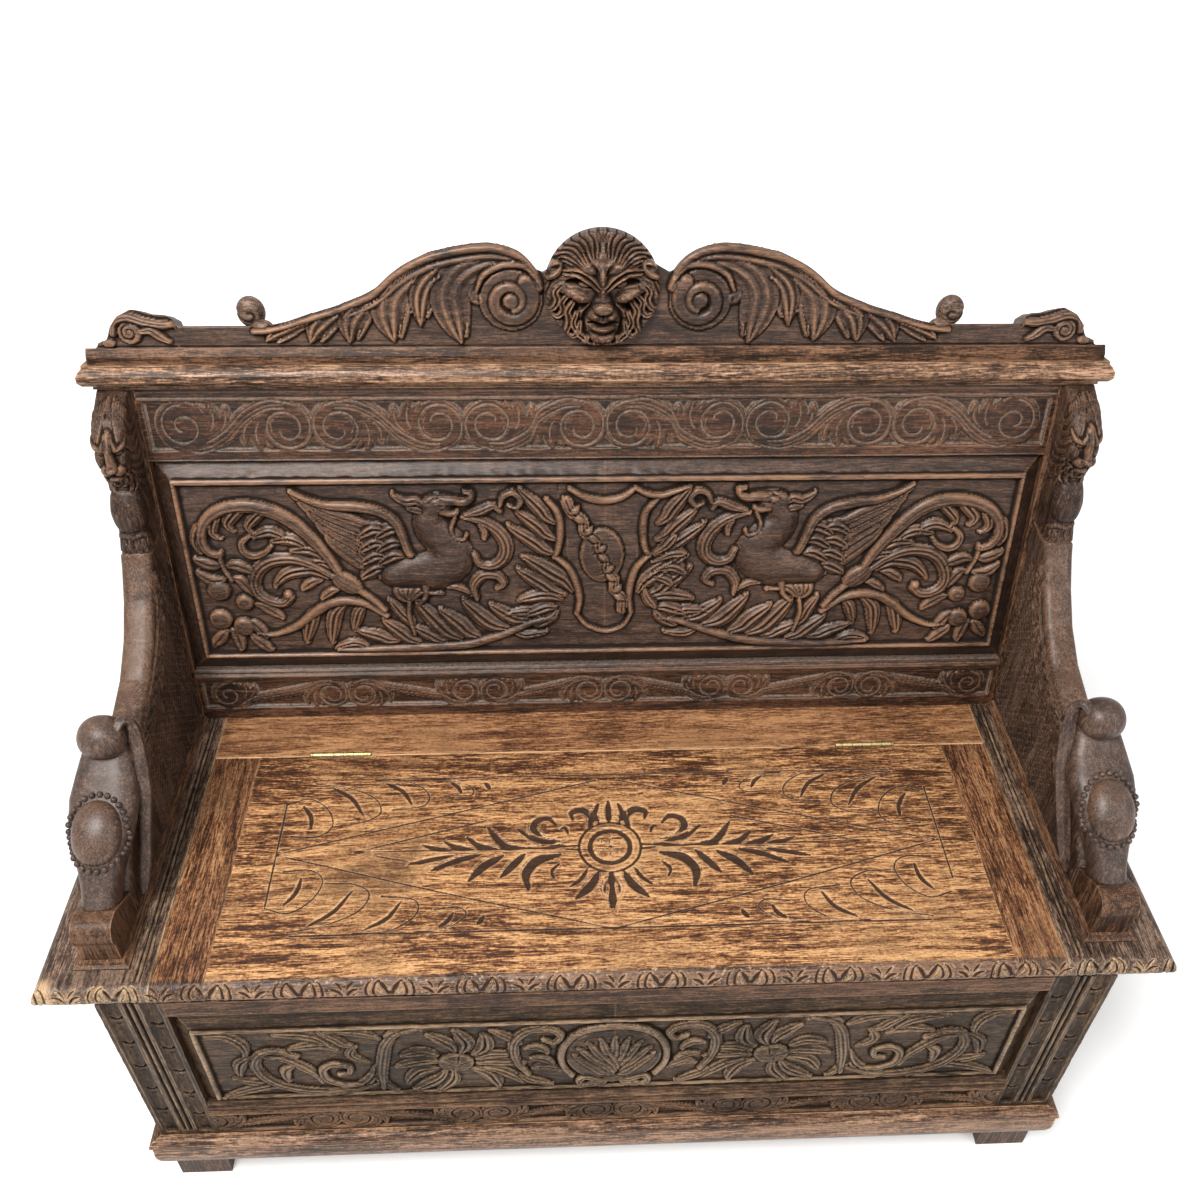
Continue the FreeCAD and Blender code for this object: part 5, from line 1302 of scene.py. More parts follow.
def carve_outer_scroll(draw):
    for points, wide in (([(-462, 376), (-438, 374), (-426, 358), (-424, 336)], 8),
            ([(-418, 330), (-436, 312), (-440, 290)], 7), ([(-398, 268), (-424, 272), (-446, 280)], 8),
            ([(-380, 256), (-412, 262), (-440, 252), (-466, 240)], 8),
            ([(-320, 340), (-345, 352), (-372, 346)], 8), ([(-330, 352), (-350, 372), (-384, 378)], 9),
            ([(-300, 346), (-320, 364), (-336, 380)], 7), ([(-270, 360), (-296, 376), (-326, 381)], 7),
            ([(-280, 300), (-296, 262), (-326, 243)], 8), ([(-272, 290), (-276, 262), (-262, 244)], 7),
            ([(-288, 310), (-306, 330), (-300, 346)], 6), ([(-262, 366), (-244, 376), (-222, 380)], 6)):
        draw.leaf(points, wide, FRONT_RISE * 0.95, flutes=2)
    draw.stroke([(-276, 250), (-274, 290), (-268, 326), (-262, 350), (-248, 372), (-226, 382)], (4, 8, 3),
        FRONT_RISE, flutes=2)
    draw.stroke([(-282, 262), (-308, 250), (-345, 246), (-384, 256), (-410, 280), (-418, 312),
        (-408, 336), (-388, 342), (-368, 330)], (4, 8, 5), FRONT_RISE + 0.5, flutes=2)
    draw.stroke([(-404, 332), (-384, 326), (-366, 308), (-352, 288), (-346, 270)], (4, 8, 3),
        FRONT_RISE + 0.6, flutes=2)
    draw.leaf([(-372, 310), (-386, 296), (-386, 276)], 6, FRONT_RISE)
    draw.stroke([(-300, 262), (-322, 262), (-340, 276), (-342, 298), (-328, 310), (-312, 304),
        (-312, 290), (-324, 286)], (3, 6, 3.5), FRONT_RISE + 0.6, flutes=1)

# %% The flower and the inner scroll
def carve_flower(draw):
    for points, wide in (([(-208, 320), (-226, 330), (-246, 324)], 9),
            ([(-206, 306), (-232, 308), (-254, 300)], 9), ([(-208, 292), (-232, 284), (-246, 262)], 9),
            ([(-200, 282), (-214, 262), (-238, 244)], 9), ([(-190, 280), (-196, 258), (-208, 242)], 8),
            ([(-186, 330), (-196, 350), (-212, 366)], 9), ([(-178, 326), (-172, 350), (-182, 374)], 9),
            ([(-164, 320), (-150, 340), (-150, 362)], 9), ([(-160, 310), (-138, 320), (-118, 318)], 8),
            ([(-160, 300), (-136, 302), (-108, 300)], 8), ([(-166, 288), (-146, 270), (-138, 246)], 9),
            ([(-152, 288), (-128, 276), (-108, 254)], 8), ([(-112, 270), (-96, 256), (-76, 246)], 7),
            ([(-110, 340), (-124, 358), (-140, 372)], 7), ([(-96, 284), (-80, 290), (-64, 280)], 7)):
        draw.leaf(points, wide, FRONT_RISE, vein=0.35, flutes=2)
    draw.dome(-186, 304, 21, 20, FRONT_RISE + 1.4)
    for k in range(6):
        a = k * math.pi / 3
        draw.groove([(-186 + 6 * math.cos(a), 304 + 6 * math.sin(a)), (-186 + 19 * math.cos(a + 0.3),
            304 + 18 * math.sin(a + 0.3))], (1.2, 1.4, 0.8), 1.6)
    draw.dome(-186, 304, 6, 6, FRONT_RISE + 2)
    draw.stroke([(-102, 272), (-114, 300), (-118, 330), (-112, 356), (-94, 372), (-72, 370), (-62, 356),
        (-70, 344), (-82, 350)], (4, 7, 4), FRONT_RISE + 0.6, flutes=2)
    draw.leaf([(-104, 330), (-88, 334), (-78, 322)], 6, FRONT_RISE)
    draw.leaf([(-98, 308), (-82, 306), (-72, 296)], 6, FRONT_RISE)

# %% The shell in the middle
def carve_shell(front):
    front.dome(0, 312, 57, 60, FRONT_RISE + 1.8, edge=0.35)
    front.stroke([(-50, 268), (-60, 290), (-62, 316), (-54, 346), (-34, 368), (0, 376), (34, 368),
        (54, 346), (62, 316), (60, 290), (50, 268)], (4, 5.5, 4), FRONT_RISE + 1.6)
    for k in range(-4, 5):
        a = math.pi / 2 + k * 0.33
        tip = (48 * math.cos(a), 304 + 50 * math.sin(a))
        middle = (26 * math.cos(a + 0.03 * k), 282 + 44 * math.sin(a))
        leaf(front, [(0, 268), middle, tip], 8.5, FRONT_RISE + 3.4, vein=0.15, base=front.ground + 0.2)
    for k in (-1, 1):
        front.stroke([(0, 262), (k * 16, 256), (k * 34, 262), (k * 42, 252), (k * 34, 244),
            (k * 24, 248)], (5, 5.5, 3), FRONT_RISE + 1.6, flutes=1)
        leaf(front, [(k * 8, 250), (k * 20, 244), (k * 30, 240)], 5, FRONT_RISE)
    front.dome(0, 262, 13, 10, FRONT_RISE + 3.2)

# %% The whole front panel
def make_front_panel():
    front = Relief(-492.5, 492.5, 226, 424, 1.42, -3.2)
    x, z = np.abs(front.u)[None, :], front.v[:, None]
    out = np.maximum(np.maximum((x - 475.5) / 17, (238 - z) / 12), (z - 390) / 34)
    inner = np.maximum(np.maximum(x - 470, 240.5 - z), z - 385)
    field = front.ground + (2 - front.ground) * np.clip(inner / 2.0, 0, 1)
    front.h = np.where(out > 0, -2 - 8.2 * out, field)
    for place, side in ((as_drawn, -1), (astray_in_front, 1)):
        draw = Half(front, place, side)
        carve_outer_scroll(draw)
        carve_flower(draw)
    carve_shell(front)
    tool_marks(front, 0.2)
    middle = len(front.u) // 2
    face_board("front_panel_carving_left", front, 17.8, front_oak, slice(0, middle + 1))
    right = face_board("front_panel_carving_right", front, 17.8, front_oak, slice(middle, None))
    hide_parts("front_panel")


# The pale bare colour here serves as rubbed wood and as painted highlight on the ridges.
FRONT = {"carved": True, "gloss": 0.22, "pit": (0.05, 1.9), "ridge": (0.1, 0.6), "Stain": 0.4,
    "Streaks": 1.0, "Pit": (0.0045, 0.003, 0.002), "Dark": (0.009, 0.0055, 0.003),
    "Middle": (0.038, 0.021, 0.011), "Light": (0.115, 0.068, 0.038), "Bare": (0.36, 0.24, 0.15)}
front_oak = oak("front panel oak", "x", 49.0, **FRONT)
make_front_panel()

# %% [markdown]
# ## The fluted stiles
#
# The two front stiles are the chest's legs. Each has two wide flutes with two narrow ones between
# them, which stop above the rail, and a punch has nicked crescents down the wide ones. A flute is
# the same all the way up, so one curve over x cuts it, and only the crescents are drawn.

# %% The front stiles
CHEST_HALF = 492.5
WIDE_FLUTES, NARROW_FLUTES = (15, 56), (31.8, 39.2)


def make_front_stiles():
    for side, sign in SIDES:
        low, high = sorted((sign * CHEST_HALF, sign * 563.5))
        stile = Relief(low, high, 151, 450, 1.15)
        x = np.abs(stile.u) - CHEST_HALF
        stop = np.clip((stile.v - 159) / 4, 0, 1)[:, None]
        for centre in WIDE_FLUTES:
            depth = 4.2 * np.clip(1 - ((x - centre) / 10) ** 2, 0, 1) ** 0.7
            stile.h -= depth[None, :] * stop
        for centre in NARROW_FLUTES:
            depth = 2.6 * np.clip(1 - ((x - centre) / 2.6) ** 2, 0, 1) ** 0.6
            stile.h -= depth[None, :] * stop
        for centre in WIDE_FLUTES:
            for k in range(5):
                z = 196 + 52 * k + (14 if centre > 30 else 0)
                middle = sign * (CHEST_HALF + centre)
                stile.groove([(middle - 7, z + 5), (middle - 3, z - 2), (middle + 3, z - 2),
                    (middle + 7, z + 5)], (0.8, 2.4, 0.8), 2.2)
                stile.groove([(middle - 4, z - 9), (middle, z - 12), (middle + 4, z - 9)],
                    (0.6, 1.6, 0.6), 1.4)
        tool_marks(stile, 0.12)
        u, v = np.meshgrid(stile.u, np.concatenate([[85.0], stile.v]))
        h = np.vstack([stile.h[:1] * 0, stile.h])
        hollow = np.concatenate([stile.hollows()[:1] * 0, stile.hollows()])
        piece = carved_sheet(f"front_stile_fluted_{side}", upright(u, -h, v), upright(u, 45 + 0 * u, v),
            hollow, carved_tall)
        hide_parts(f"front_stile_{side}")


carved_tall = oak("carved oak, grain upright", "z", 2.0, **FRONT)
make_front_stiles()

# %% [markdown]
# ## The seat
#
# The lid is one wide board, tongued into a cleat at each end, with a rounded nosing in front. A
# round medallion, a lozenge and leafy corners are cut into its top with a gouge, and small flowers
# between double arcs run round the nosing. Nothing is raised, because people sit on it.
#
# A flat plate and a separate nosing would meet in a seam. So the board is one sheet that starts
# under the nosing, runs round it and over the top to the hinge edge.

# %% The lines of the lid, and the cuts of its corners
LID_LINES = ([(-396, 104), (-396, 255)], [(402, 120), (402, 262)], [(-362, 293), (362, 293)],
    [(-362, 63), (362, 63)], [(-394, 178), (-200, 232), (-14, 284)], [(-394, 176), (-200, 118), (0, 62)],
    [(394, 178), (200, 230), (12, 284)], [(394, 176), (200, 118), (0, 62)], [(-303, 178), (-150, 222)],
    [(-303, 178), (-190, 150)], [(303, 178), (150, 222)])
CORNER_LOOPS = ([(-396, 255), (-368, 262), (-344, 244), (-336, 218), (-352, 203), (-384, 204)],
    [(-366, 288), (-326, 280), (-290, 262), (-280, 238), (-300, 224), (-332, 222)],
    [(-292, 291), (-250, 288), (-224, 268), (-228, 248), (-266, 242)], [(-222, 291), (-190, 288),
    (-168, 272), (-176, 260), (-204, 262)])
CORNER_CUTS = ([(-376, 252), (-364, 234), (-361, 213)], [(-345, 281), (-318, 262), (-300, 234)],
    [(-280, 287), (-256, 272), (-242, 249)], [(-198, 286), (-188, 278), (-182, 266)],
    [(-154, 284), (-150, 278), (-147, 272)])

# %% The leaves that spread from the medallion
UPPER_LEAVES = (([(-54, 3), (-82, 8), (-112, 30)], 4.2), ([(-104, 1), (-128, 6), (-148, 34)], 4.4),
    ([(-136, 1), (-158, 6), (-173, 20)], 3.6), ([(-164, 1), (-186, 5), (-200, 14)], 3.0),
    ([(-190, 1), (-212, 4), (-226, 9)], 2.4), ([(-60, 10), (-80, 14), (-92, 28), (-88, 42), (-74, 45),
    (-64, 34)], 4.6), ([(-50, 20), (-54, 30), (-62, 28)], 1.4),
    ([(-24, 28), (-22, 46), (-32, 57), (-45, 54), (-44, 42)], 5.0),
    ([(-12, 35), (-17, 52), (-12, 68)], 3.6), ([(0, 38), (-1, 54), (0, 72)], 3.4))
LOWER_LEAVES = (([(-60, -10), (-86, -17), (-100, -36), (-97, -60)], 6.0),
    ([(-102, -8), (-116, -24), (-130, -42)], 4.4), ([(-128, -10), (-150, -24), (-167, -46)], 5.0),
    ([(-154, -7), (-186, -16), (-212, -30)], 4.0), ([(-182, -6), (-212, -13), (-240, -20)], 3.0),
    ([(-60, -22), (-70, -34), (-66, -48)], 1.4), ([(-15, -37), (-24, -54), (-42, -74)], 5.2),
    ([(-27, -30), (-36, -46), (-50, -58)], 2.0), ([(0, -39), (-5, -60), (2, -88)], 6.0))

# %% The carving of the lid
LID_MIDDLE = 178


def engrave_top(top):
    """Cut the lines and leaves of the lid; v is the depth from the stile face."""
    for points in LID_LINES:
        top.groove(points, 1.8, 0.5)
    for sx in (-1, 1):
        for sy in (-1, 1):
            for points in CORNER_LOOPS:
                top.groove([(sx * -px, LID_MIDDLE + sy * (py - LID_MIDDLE)) for px, py in points], 1.7,
                    0.5)
            for points in CORNER_CUTS:
                top.groove([(sx * -px, LID_MIDDLE + sy * (py - LID_MIDDLE)) for px, py in points],
                    (0.9, 3.4, 0.9), 1.7)
        for points, wide in UPPER_LEAVES + LOWER_LEAVES:
            line = [(sx * -px, LID_MIDDLE + py) for px, py in points]
            top.groove(line, (wide * 0.5, wide * 1.55, wide * 0.35), 1.0 + 0.22 * wide)
            top.groove([(px - sx * wide * 0.6, py + (1 if py > LID_MIDDLE else -1) * wide * 0.7) for px,
                py in line], (0.5, 0.9, 0.4), 0.8)
        top.groove([(sx * 38, 181), (sx * 70, 179), (sx * 120, 178.5), (sx * 200, 178.2),
            (sx * 303, LID_MIDDLE)], (2.6, 1.8, 0.6), 1.3)
        top.groove([(sx * 38, 175), (sx * 70, 177), (sx * 110, LID_MIDDLE)], (2.6, 1.4, 0.6), 1.3)
    for radius, wide, depth in ((37, 1.9, 1.5), (24.5, 3.4, 2.0), (21, 1.2, 1.0)):
        ring = [(radius * math.cos(a), LID_MIDDLE + radius * math.sin(a))
            for a in np.linspace(0, 2 * math.pi, 25)]
        top.groove(ring, wide, depth)
    for k in range(6):
        a = 0.3 + k * math.pi / 3
        top.groove([(0, LID_MIDDLE), (8 * math.cos(a + 0.3), LID_MIDDLE + 8 * math.sin(a + 0.3)),
            (18 * math.cos(a), LID_MIDDLE + 18 * math.sin(a))], (0.6, 1.0, 0.6), 0.7)

# %% The nosing's flowers and arcs
NOSE = 13.35


def carve_nosing(nose, middle):
    """The repeated motif on a nosing; v runs round it from below, 0 to 42 mm."""
    low, high = nose.u.min(), nose.u.max()
    pitch = 98.0
    for k in range(int((low - 60) // pitch), int((high + 60) // pitch) + 1):
        c = k * pitch
        for hand in (-1, 1):
            for out, wide in ((31, 2.4), (23, 2.0)):
                arc = [(c + hand * (out + 9 - 9 * math.cos(a)), middle + 15 * math.sin(a))
                    for a in np.linspace(-1.3, 1.3, 7)]
                nose.groove(arc, (1.0, wide, 1.0), 2.6)
            nose.groove([(c + hand * 1.5, middle - 9), (c + hand * 7, middle + 1),
                (c + hand * 15, middle + 5)], (1.2, 3.2, 1.0), 2.6)
            nose.groove([(c + hand * 1.5, middle + 1), (c + hand * 5, middle + 8),
                (c + hand * 10, middle + 13)], (0.9, 2.2, 0.8), 2.0)
            nose.groove([(c + hand * 13, middle - 11), (c + hand * 9, middle - 5),
                (c + hand * 15, middle - 1)], (0.9, 2.0, 0.9), 1.8)
            x = c + hand * pitch / 2
            nose.groove([(x - hand * 1.5, middle - 13), (x - hand * 4, middle + 2),
                (x - hand * 12, middle + 14)], (1.6, 4.2, 1.0), 3.0)
            nose.groove([(x - hand * 6, middle - 13), (x - hand * 9, middle - 2),
                (x - hand * 14, middle + 4)], (0.8, 1.8, 0.8), 1.8)

# %% [markdown]
# ## The sheet of a seat board
#
# The section of a seat board is a half circle for the nosing, and then a flat top. A point of the
# sheet is found by its way s along that section. The heights of the carving push it out along the
# normal there, so the same drawing works on the round nosing and on the flat.

# %% A point of the section
def nose_point(s):
    """Depth, height and outward normal of a point s along the section, from under the nosing to the rear."""
    turn = math.pi * NOSE
    a = np.clip(s, 0, turn) / NOSE
    y = -4 + NOSE - NOSE * np.sin(a) + np.maximum(s - turn, 0)
    z = SEAT - NOSE - NOSE * np.cos(a)
    ny = np.where(s < turn, -np.sin(a), 0.0)
    nz = np.where(s < turn, -np.cos(a), 1.0)
    return y, z, ny, nz

# %% One seat board
SEAT_HALF, BEHIND_HALF = 625, 613


def seat_sheet(name, low_x, high_x, length, material, top=None, step=1.4, notch=None, body="root",
        slot="oak_seat"):
    """A seat board as one sheet from under its nosing to its rear edge."""
    turn = math.pi * NOSE
    s = np.concatenate([np.arange(0, turn, 1.1), np.arange(turn, turn + length, step), [turn + length]])
    x = np.linspace(low_x, high_x, int((high_x - low_x) / step) + 1)
    grid_x, grid_s = np.meshgrid(x, s)
    nose = Relief(low_x, high_x, 0, turn + 6, 1.1)
    carve_nosing(nose, 23.5)
    tool_marks(nose, 0.15)
    h = nose.sample(nose.h, grid_x, grid_s) * (grid_s < turn + 4)
    hollow = nose.sample(nose.hollows(4.0), grid_x, grid_s) * (grid_s < turn + 4)[..., None] * 1.1
    if top is not None:
        depth = grid_s - turn - 4 + NOSE
        on_top = grid_s > turn
        h = np.where(on_top, top.sample(top.h, grid_x, depth), h)
        # The cuts of the top get three times their hollow value, so their painted shade is darker.
        hollow = np.where(on_top[..., None], top.sample(top.hollows(4.0), grid_x, depth) * 3.0, hollow)
    y, z, ny, nz = nose_point(grid_s)
    if notch is not None:
        y = np.where(y > length - 4 + NOSE - 8, np.minimum(y, notch(grid_x)), y)
    past = np.clip(np.abs(grid_x) - (SEAT_HALF - NOSE), 0, NOSE)
    dip = NOSE - np.sqrt(NOSE * NOSE - past * past)
    h = h * (1 - past / NOSE)
    z = np.clip(z, SEAT - 2 * NOSE + dip, SEAT - dip)
    front = upright(grid_x, y + ny * h, z + nz * h)
    behind = upright(np.clip(grid_x, -BEHIND_HALF, BEHIND_HALF), np.maximum(y, 9.5), SEAT - 26.7 + 0 * z)
    return carved_sheet(name, front, behind, hollow, material, body=body, slot=slot)

# %% [markdown]
# ## The lid, its cleats and the seat's sides
#
# The lid turns on the two brass hinges, so its pieces ride on the body `lid`. It is let out round
# each hinge by a shallow notch. The side boards stay with the chest. Much sitting has rubbed the lid
# to a warm orange brown, while its nosing has stayed dark.

# %% The oak of the seat
NOSE_OAK = {"Dark": (0.010, 0.006, 0.004), "Middle": (0.060, 0.031, 0.020), "Light": (0.20, 0.110, 0.068)}
seat_wood = oak("seat oak", "x", 5.0, carved=True, gloss=0.45, pit=(0.2, 0.8),
    scratch=(0.015, 0.06, 0.25, 0.6), Stain=0.9, Streaks=1.45, Tone=0.54, nose=NOSE_OAK,
    Pit=(0.030, 0.016, 0.011), Dark=(0.033, 0.012, 0.006), Middle=(0.232, 0.094, 0.036),
    Light=(0.60, 0.338, 0.150), Bare=(0.58, 0.34, 0.17), Dust=(0.50, 0.34, 0.21))
cleat_wood = oak("cleat oak", "y", 8.0, carved=True, gloss=0.4, edge=0.003, Stain=0.8, Streaks=1.1,
    Tone=0.56, nose=NOSE_OAK, Dark=(0.022, 0.009, 0.005), Middle=(0.15, 0.060, 0.026),
    Light=(0.42, 0.22, 0.105), Bare=(0.62, 0.36, 0.19))
SEAT_SIDE = {"carved": True, "pit": (0.2, 1.6), "edge": 0.003, "gloss": 0.4, "Stain": 0.7, "Streaks": 1.1,
    "Tone": 0.42, "Dark": (0.012, 0.007, 0.005), "Middle": (0.085, 0.050, 0.034),
    "Light": (0.28, 0.185, 0.13), "Bare": (0.46, 0.30, 0.165)}
side_seat_left = oak("seat side oak, left", "y", 37.0, patch=(-0.634, -0.282, 0.465, 0.044), **SEAT_SIDE)
side_seat_right = oak("seat side oak, right", "y", 38.0, patch=(0.640, -0.290, 0.465, 0.030), **SEAT_SIDE)

# %% The lid and its cleats
LID_DEPTH = 335.9
HINGE_X, HINGE_HALF, HINGE_NOTCH = 341, 38.4, 3.4


def notch(x):
    """The rear edge of the lid, cut back at the hinges."""
    return np.where(np.abs(np.abs(x) - HINGE_X) < HINGE_HALF, LID_DEPTH - HINGE_NOTCH, LID_DEPTH)


def make_lid():
    top = Relief(-443, 443, 0, 337, 1.3)
    engrave_top(top)
    top.h += 0.18 * soften(rng.normal(0, 1, top.h.shape), 9) * 9
    length = LID_DEPTH + 4 - NOSE
    for part, low, high in (("left", -443, -147), ("middle", -147, 147), ("right", 147, 443)):
        piece = seat_sheet(f"lid_board_{part}", low, high, length, seat_wood, top, 1.55, notch=notch,
            body="lid")
    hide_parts("lid_board")
    for side, low, high in (("left", -500, -443), ("right", 443, 500)):
        piece = seat_sheet(f"lid_cleat_{side}_carved", low, high, length, cleat_wood, None, 1.6,
            body="lid")
        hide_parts(f"lid_cleat_{side}")

# %% The seat's side boards
def make_seat_sides():
    for side, sign in SIDES:
        (low, _, _), (high, deep, _) = np.array(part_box(f"seat_side_{side}")) / MM
        lines = Relief(low, high, 0, 420, 1.3)
        for place, width, depth in ((512, 1.5, 0.7), (517, 1.8, 1.1), (529, 1.6, 0.9)):
            lines.groove([(sign * place, 2), (sign * place, 200), (sign * place, 415)], width, depth)
        tool_marks(lines, 0.15)
        material = side_seat_left if sign < 0 else side_seat_right
        piece = seat_sheet(f"seat_side_{side}_carved", low, high, deep + MIDDLE + 4 - NOSE, material,
            lines, 1.6)
        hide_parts(f"seat_side_{side}")


make_lid()
make_seat_sides()

# %% [markdown]
# ## The wings
#
# Each wing is one board. Its front edge is rounded like a handrail, and its inner face is carved
# with a long leaf under the rail and cross-hatching below that. The outline could be filled with
# one big face and rounded by a bevel, but carving needs an even grid. So rows of points run from
# the curved edge to a line inside the board, on one face, round the rail and back on the other.

# %% The leaf under the wing's rail
EDGE = [(97, 477), (97, 518), (118, 542), (147, 575), (207, 616), (228, 629), (258, 635), (300, 648),
    (341, 674), (374, 708), (396, 738), (405, 753)]
WING_IN, WING_OUT = 534.0, 570.0


def even(points, count):
    """Points at equal distances along a line of straight runs."""
    p = np.array(points, float)
    far = np.concatenate([[0], np.cumsum(np.hypot(*np.diff(p[:, :2], axis=0).T))])
    s = np.linspace(0, far[-1], count)
    return np.stack([np.interp(s, far, p[:, k]) for k in range(p.shape[1])], 1)


def part_way(line, t):
    """The point at share t of a line's corners."""
    place = t * (len(line) - 1) * 0.999
    i = int(place)
    f = place - i
    return np.array(line[i]) * (1 - f) + np.array(line[i + 1]) * f


def carve_wing_leaf(wing):
    line = [(398, 735), (385, 700), (362, 672), (330, 650), (292, 634), (254, 622), (222, 606),
        (196, 584), (172, 560)]
    wing.stroke(line, (2.0, 2.6, 2.0), 2.0, cut=0.4)
    inner = [(404, 716), (392, 680), (370, 648), (338, 622), (300, 606), (262, 594), (230, 574),
        (206, 548)]
    wing.stroke(inner, (2.0, 3.0, 2.0), 2.4, cut=0.5)
    for k in range(15):
        t = k / 14
        a, b = part_way(line, t), part_way(inner, t)
        along = np.array([-0.75, -0.65]) if t > 0.35 else np.array([-0.35, -0.94])
        points = [b + (a - b) * 0.1, (a + b) / 2 + along * 7, a - (a - b) * 0.12 + along * 16]
        leaf(wing, points, 7.0, 3.4, vein=0.4, flutes=2)

# %% The cross-hatching below it
HATCH_TOP = ([206, 230, 262, 300, 338, 370, 392, 410], [545, 570, 589, 600, 616, 641, 673, 716])


def hatch_wing(wing):
    for k in range(-34, 40):
        for slope in (1, -1):
            run = []
            for y in np.arange(214, 432, 6.0):
                z = 540 + (y - 214) * slope * 0.9 + 11.0 * k
                top = np.interp(y, *HATCH_TOP) - 4
                if 484 < z < top and y < 404 + (z - 477) * 0.1727:
                    run.append((y, z))
            if len(run) > 2:
                wing.groove(run, 1.2, 1.4)

# %% The rows of points round a wing
def wing_rows():
    """Depth, height, place across and face of each point: -1 inside, 0 on the rail, 1 outside."""
    edge = even(EDGE + [(430, 753), (452, 753)], 250)
    anchor = even([(170, 479), (300, 479), (405, 479), (428, 610), (446, 714), (452, 745)], 250)
    inner_t = np.linspace(1, 0, 120) ** 1.15
    round_a = np.linspace(0, math.pi, 22)[1:-1]
    outer_t = np.linspace(0, 1, 46) ** 1.15
    toward = anchor - edge
    far = np.hypot(*toward.T)[:, None]
    toward = toward / far
    radius = np.minimum(11.0, far * 0.3)
    rows = []
    for t in inner_t:
        rows.append((edge + toward * (radius + (far - radius) * t), WING_IN, -1.0))
    for a in round_a:
        c = math.cos(a)
        across = (WING_IN + WING_OUT) / 2 - 18 * c * (abs(c) ** -0.35 if abs(c) > 1e-6 else 0)
        rows.append((edge + toward * (radius * (1 - math.sin(a) ** 0.8)), across, 0.0))
    for t in outer_t:
        rows.append((edge + toward * (radius + (far - radius) * t), WING_OUT, 1.0))
    y = np.stack([row[0][:, 0] for row in rows], 1)
    z = np.stack([row[0][:, 1] for row in rows], 1)
    x, face = (np.array([row[k] for row in rows])[None, :] + 0 * y for k in (1, 2))
    return x, y, z, face

# %% The two wings
def make_wings():
    wing = Relief(90, 460, 470, 760, 1.6)
    carve_wing_leaf(wing)
    hatch_wing(wing)
    tool_marks(wing, 0.15)
    hollow = wing.hollows()
    x, y, z, face = wing_rows()
    x = np.where(face < 0, x - wing.sample(wing.h, y, z), x)
    x = np.clip(x, WING_IN - 3.0, WING_OUT)
    face = face[..., None]
    deep = np.where(face < 0, wing.sample(hollow, y, z), np.where(face > 0, 0.0, -0.4))
    for side, sign in SIDES:
        front = upright(sign * x, y, z)
        behind = upright(sign * (WING_IN + WING_OUT) / 2 + 0 * x, y, z)
        piece = carved_sheet(f"wing_carving_{side}", front, behind, deep, carved_wing, flip=sign < 0)
        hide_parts(f"wing_{side}")


carved_wing = oak("wing oak", "z", 11.0, carved=True, gloss=0.5, dust=0.35, Stain=0.7, Streaks=1.1,
    Tone=0.42, pit=(0.3, 2.4), Light=(0.15, 0.092, 0.065))
make_wings()

# %% [markdown]
# ## The lion heads
#
# A lion's head and breast end each wing under the cornice. They could be sculpted from a ball. But
# the mask is drawn with a few lines, as a carver cuts it in a corner of a board. So the front of
# the head is unrolled to a flat sheet, mane, brows, eyes and nose are laid on it as strokes, and
# the sheet is rolled round a body that follows the profile of the solid.

# %% The unrolled head
def carve_head():
    """u runs across the head, 0 in front, and v is the height z."""
    head = Relief(-62, 62, 750, 930, 1.1)
    for place, side in ((mirrored, -1), (as_drawn, 1)):
        draw = Half(head, place, side)
        # Mane strands from the forehead back over the sides.
        for k in range(8):
            u, z = 3 + 3.2 * k, 922 - 1.6 * k
            draw.stroke([(u, z), (u + 5, z - 14 - k), (u + 8 + k, z - 30 - 2 * k)], (1.2, 2.6, 1.4), 2.2,
                flat=0.6)
        for k in range(7):
            z = 898 - 12 * k
            draw.stroke([(22, z + 8), (32, z), (44, z - 6), (56, z - 2)], (1.6, 3.4, 1.4), 2.6, flutes=1)
        # Brow, eye, cheek and the side of the muzzle.
        draw.stroke([(2.5, 899), (4, 890), (9, 884), (17, 888), (22, 894)], (2, 3.8, 2), 5.0)
        draw.groove([(4, 878), (9, 880), (15, 883)], (1.5, 3.4, 1.5), 3.2)
        draw.dome(10, 880.5, 4.2, 2.6, 2.4, base=0, cut=0.4)
        draw.dome(17, 868, 9, 11, 3.4, edge=0.1, cut=0.2)
        draw.dome(6.0, 860, 7.0, 6.5, 9.5, edge=0.35, cut=0.4)
        draw.groove([(2, 853), (9, 852), (16, 857)], (1.2, 2.6, 1.0), 4.5)
        draw.groove([(3.4, 862), (5.6, 863.5)], 1.4, 2.4)
        # Beard curls, breast and the leaf cuff below it.
        for k, (u, z) in enumerate(((5, 842), (12, 846), (20, 844), (8, 834), (17, 835), (26, 838))):
            draw.stroke([(u, z + 6), (u + 3, z), (u + 1, z - 7), (u - 3, z - 9)], (1.5, 3.0, 1.0), 3.6,
                flutes=1)
        draw.stroke([(0, 770), (12, 773), (24, 766), (36, 756)], (2.2, 2.8, 1.5), 1.8)
        for k in range(5):
            draw.leaf([(4 + 7 * k, 768 - k), (5 + 7.5 * k, 760 - k), (7 + 8 * k, 752)], 3.2, 1.6)
    head.stroke([(0, 900), (0, 886), (0, 874), (0, 863)], (3.4, 4.4, 6.0), (5.0, 8.0, 12.5), flat=0.45)
    head.dome(0, 863, 5.6, 4.2, 14.0, edge=0.5, cut=0.3)
    head.dome(0, 847, 7, 4, 6.5, edge=0.3, cut=0.4)
    head.dome(0, 803, 30, 25, 6.5, edge=0.02, cut=0)
    tool_marks(head, 0.12)
    return head

# %% The profile of the head and breast
HEAD_STEP = 1.15
HEAD_X = 552
PROFILE = ([753, 765, 785, 805, 822, 832, 842, 852, 870, 884, 892, 900, 910, 918, 925],
    [405, 410, 414, 417, 423, 427, 424, 420, 419, 420, 423, 429, 441, 456, 476])
HALF_WIDTH = ([753, 775, 800, 822, 842, 858, 885, 905, 925], [17.8, 16.6, 17.8, 15.6, 16.4, 17.9, 18.0,
    18.0, 17.2])


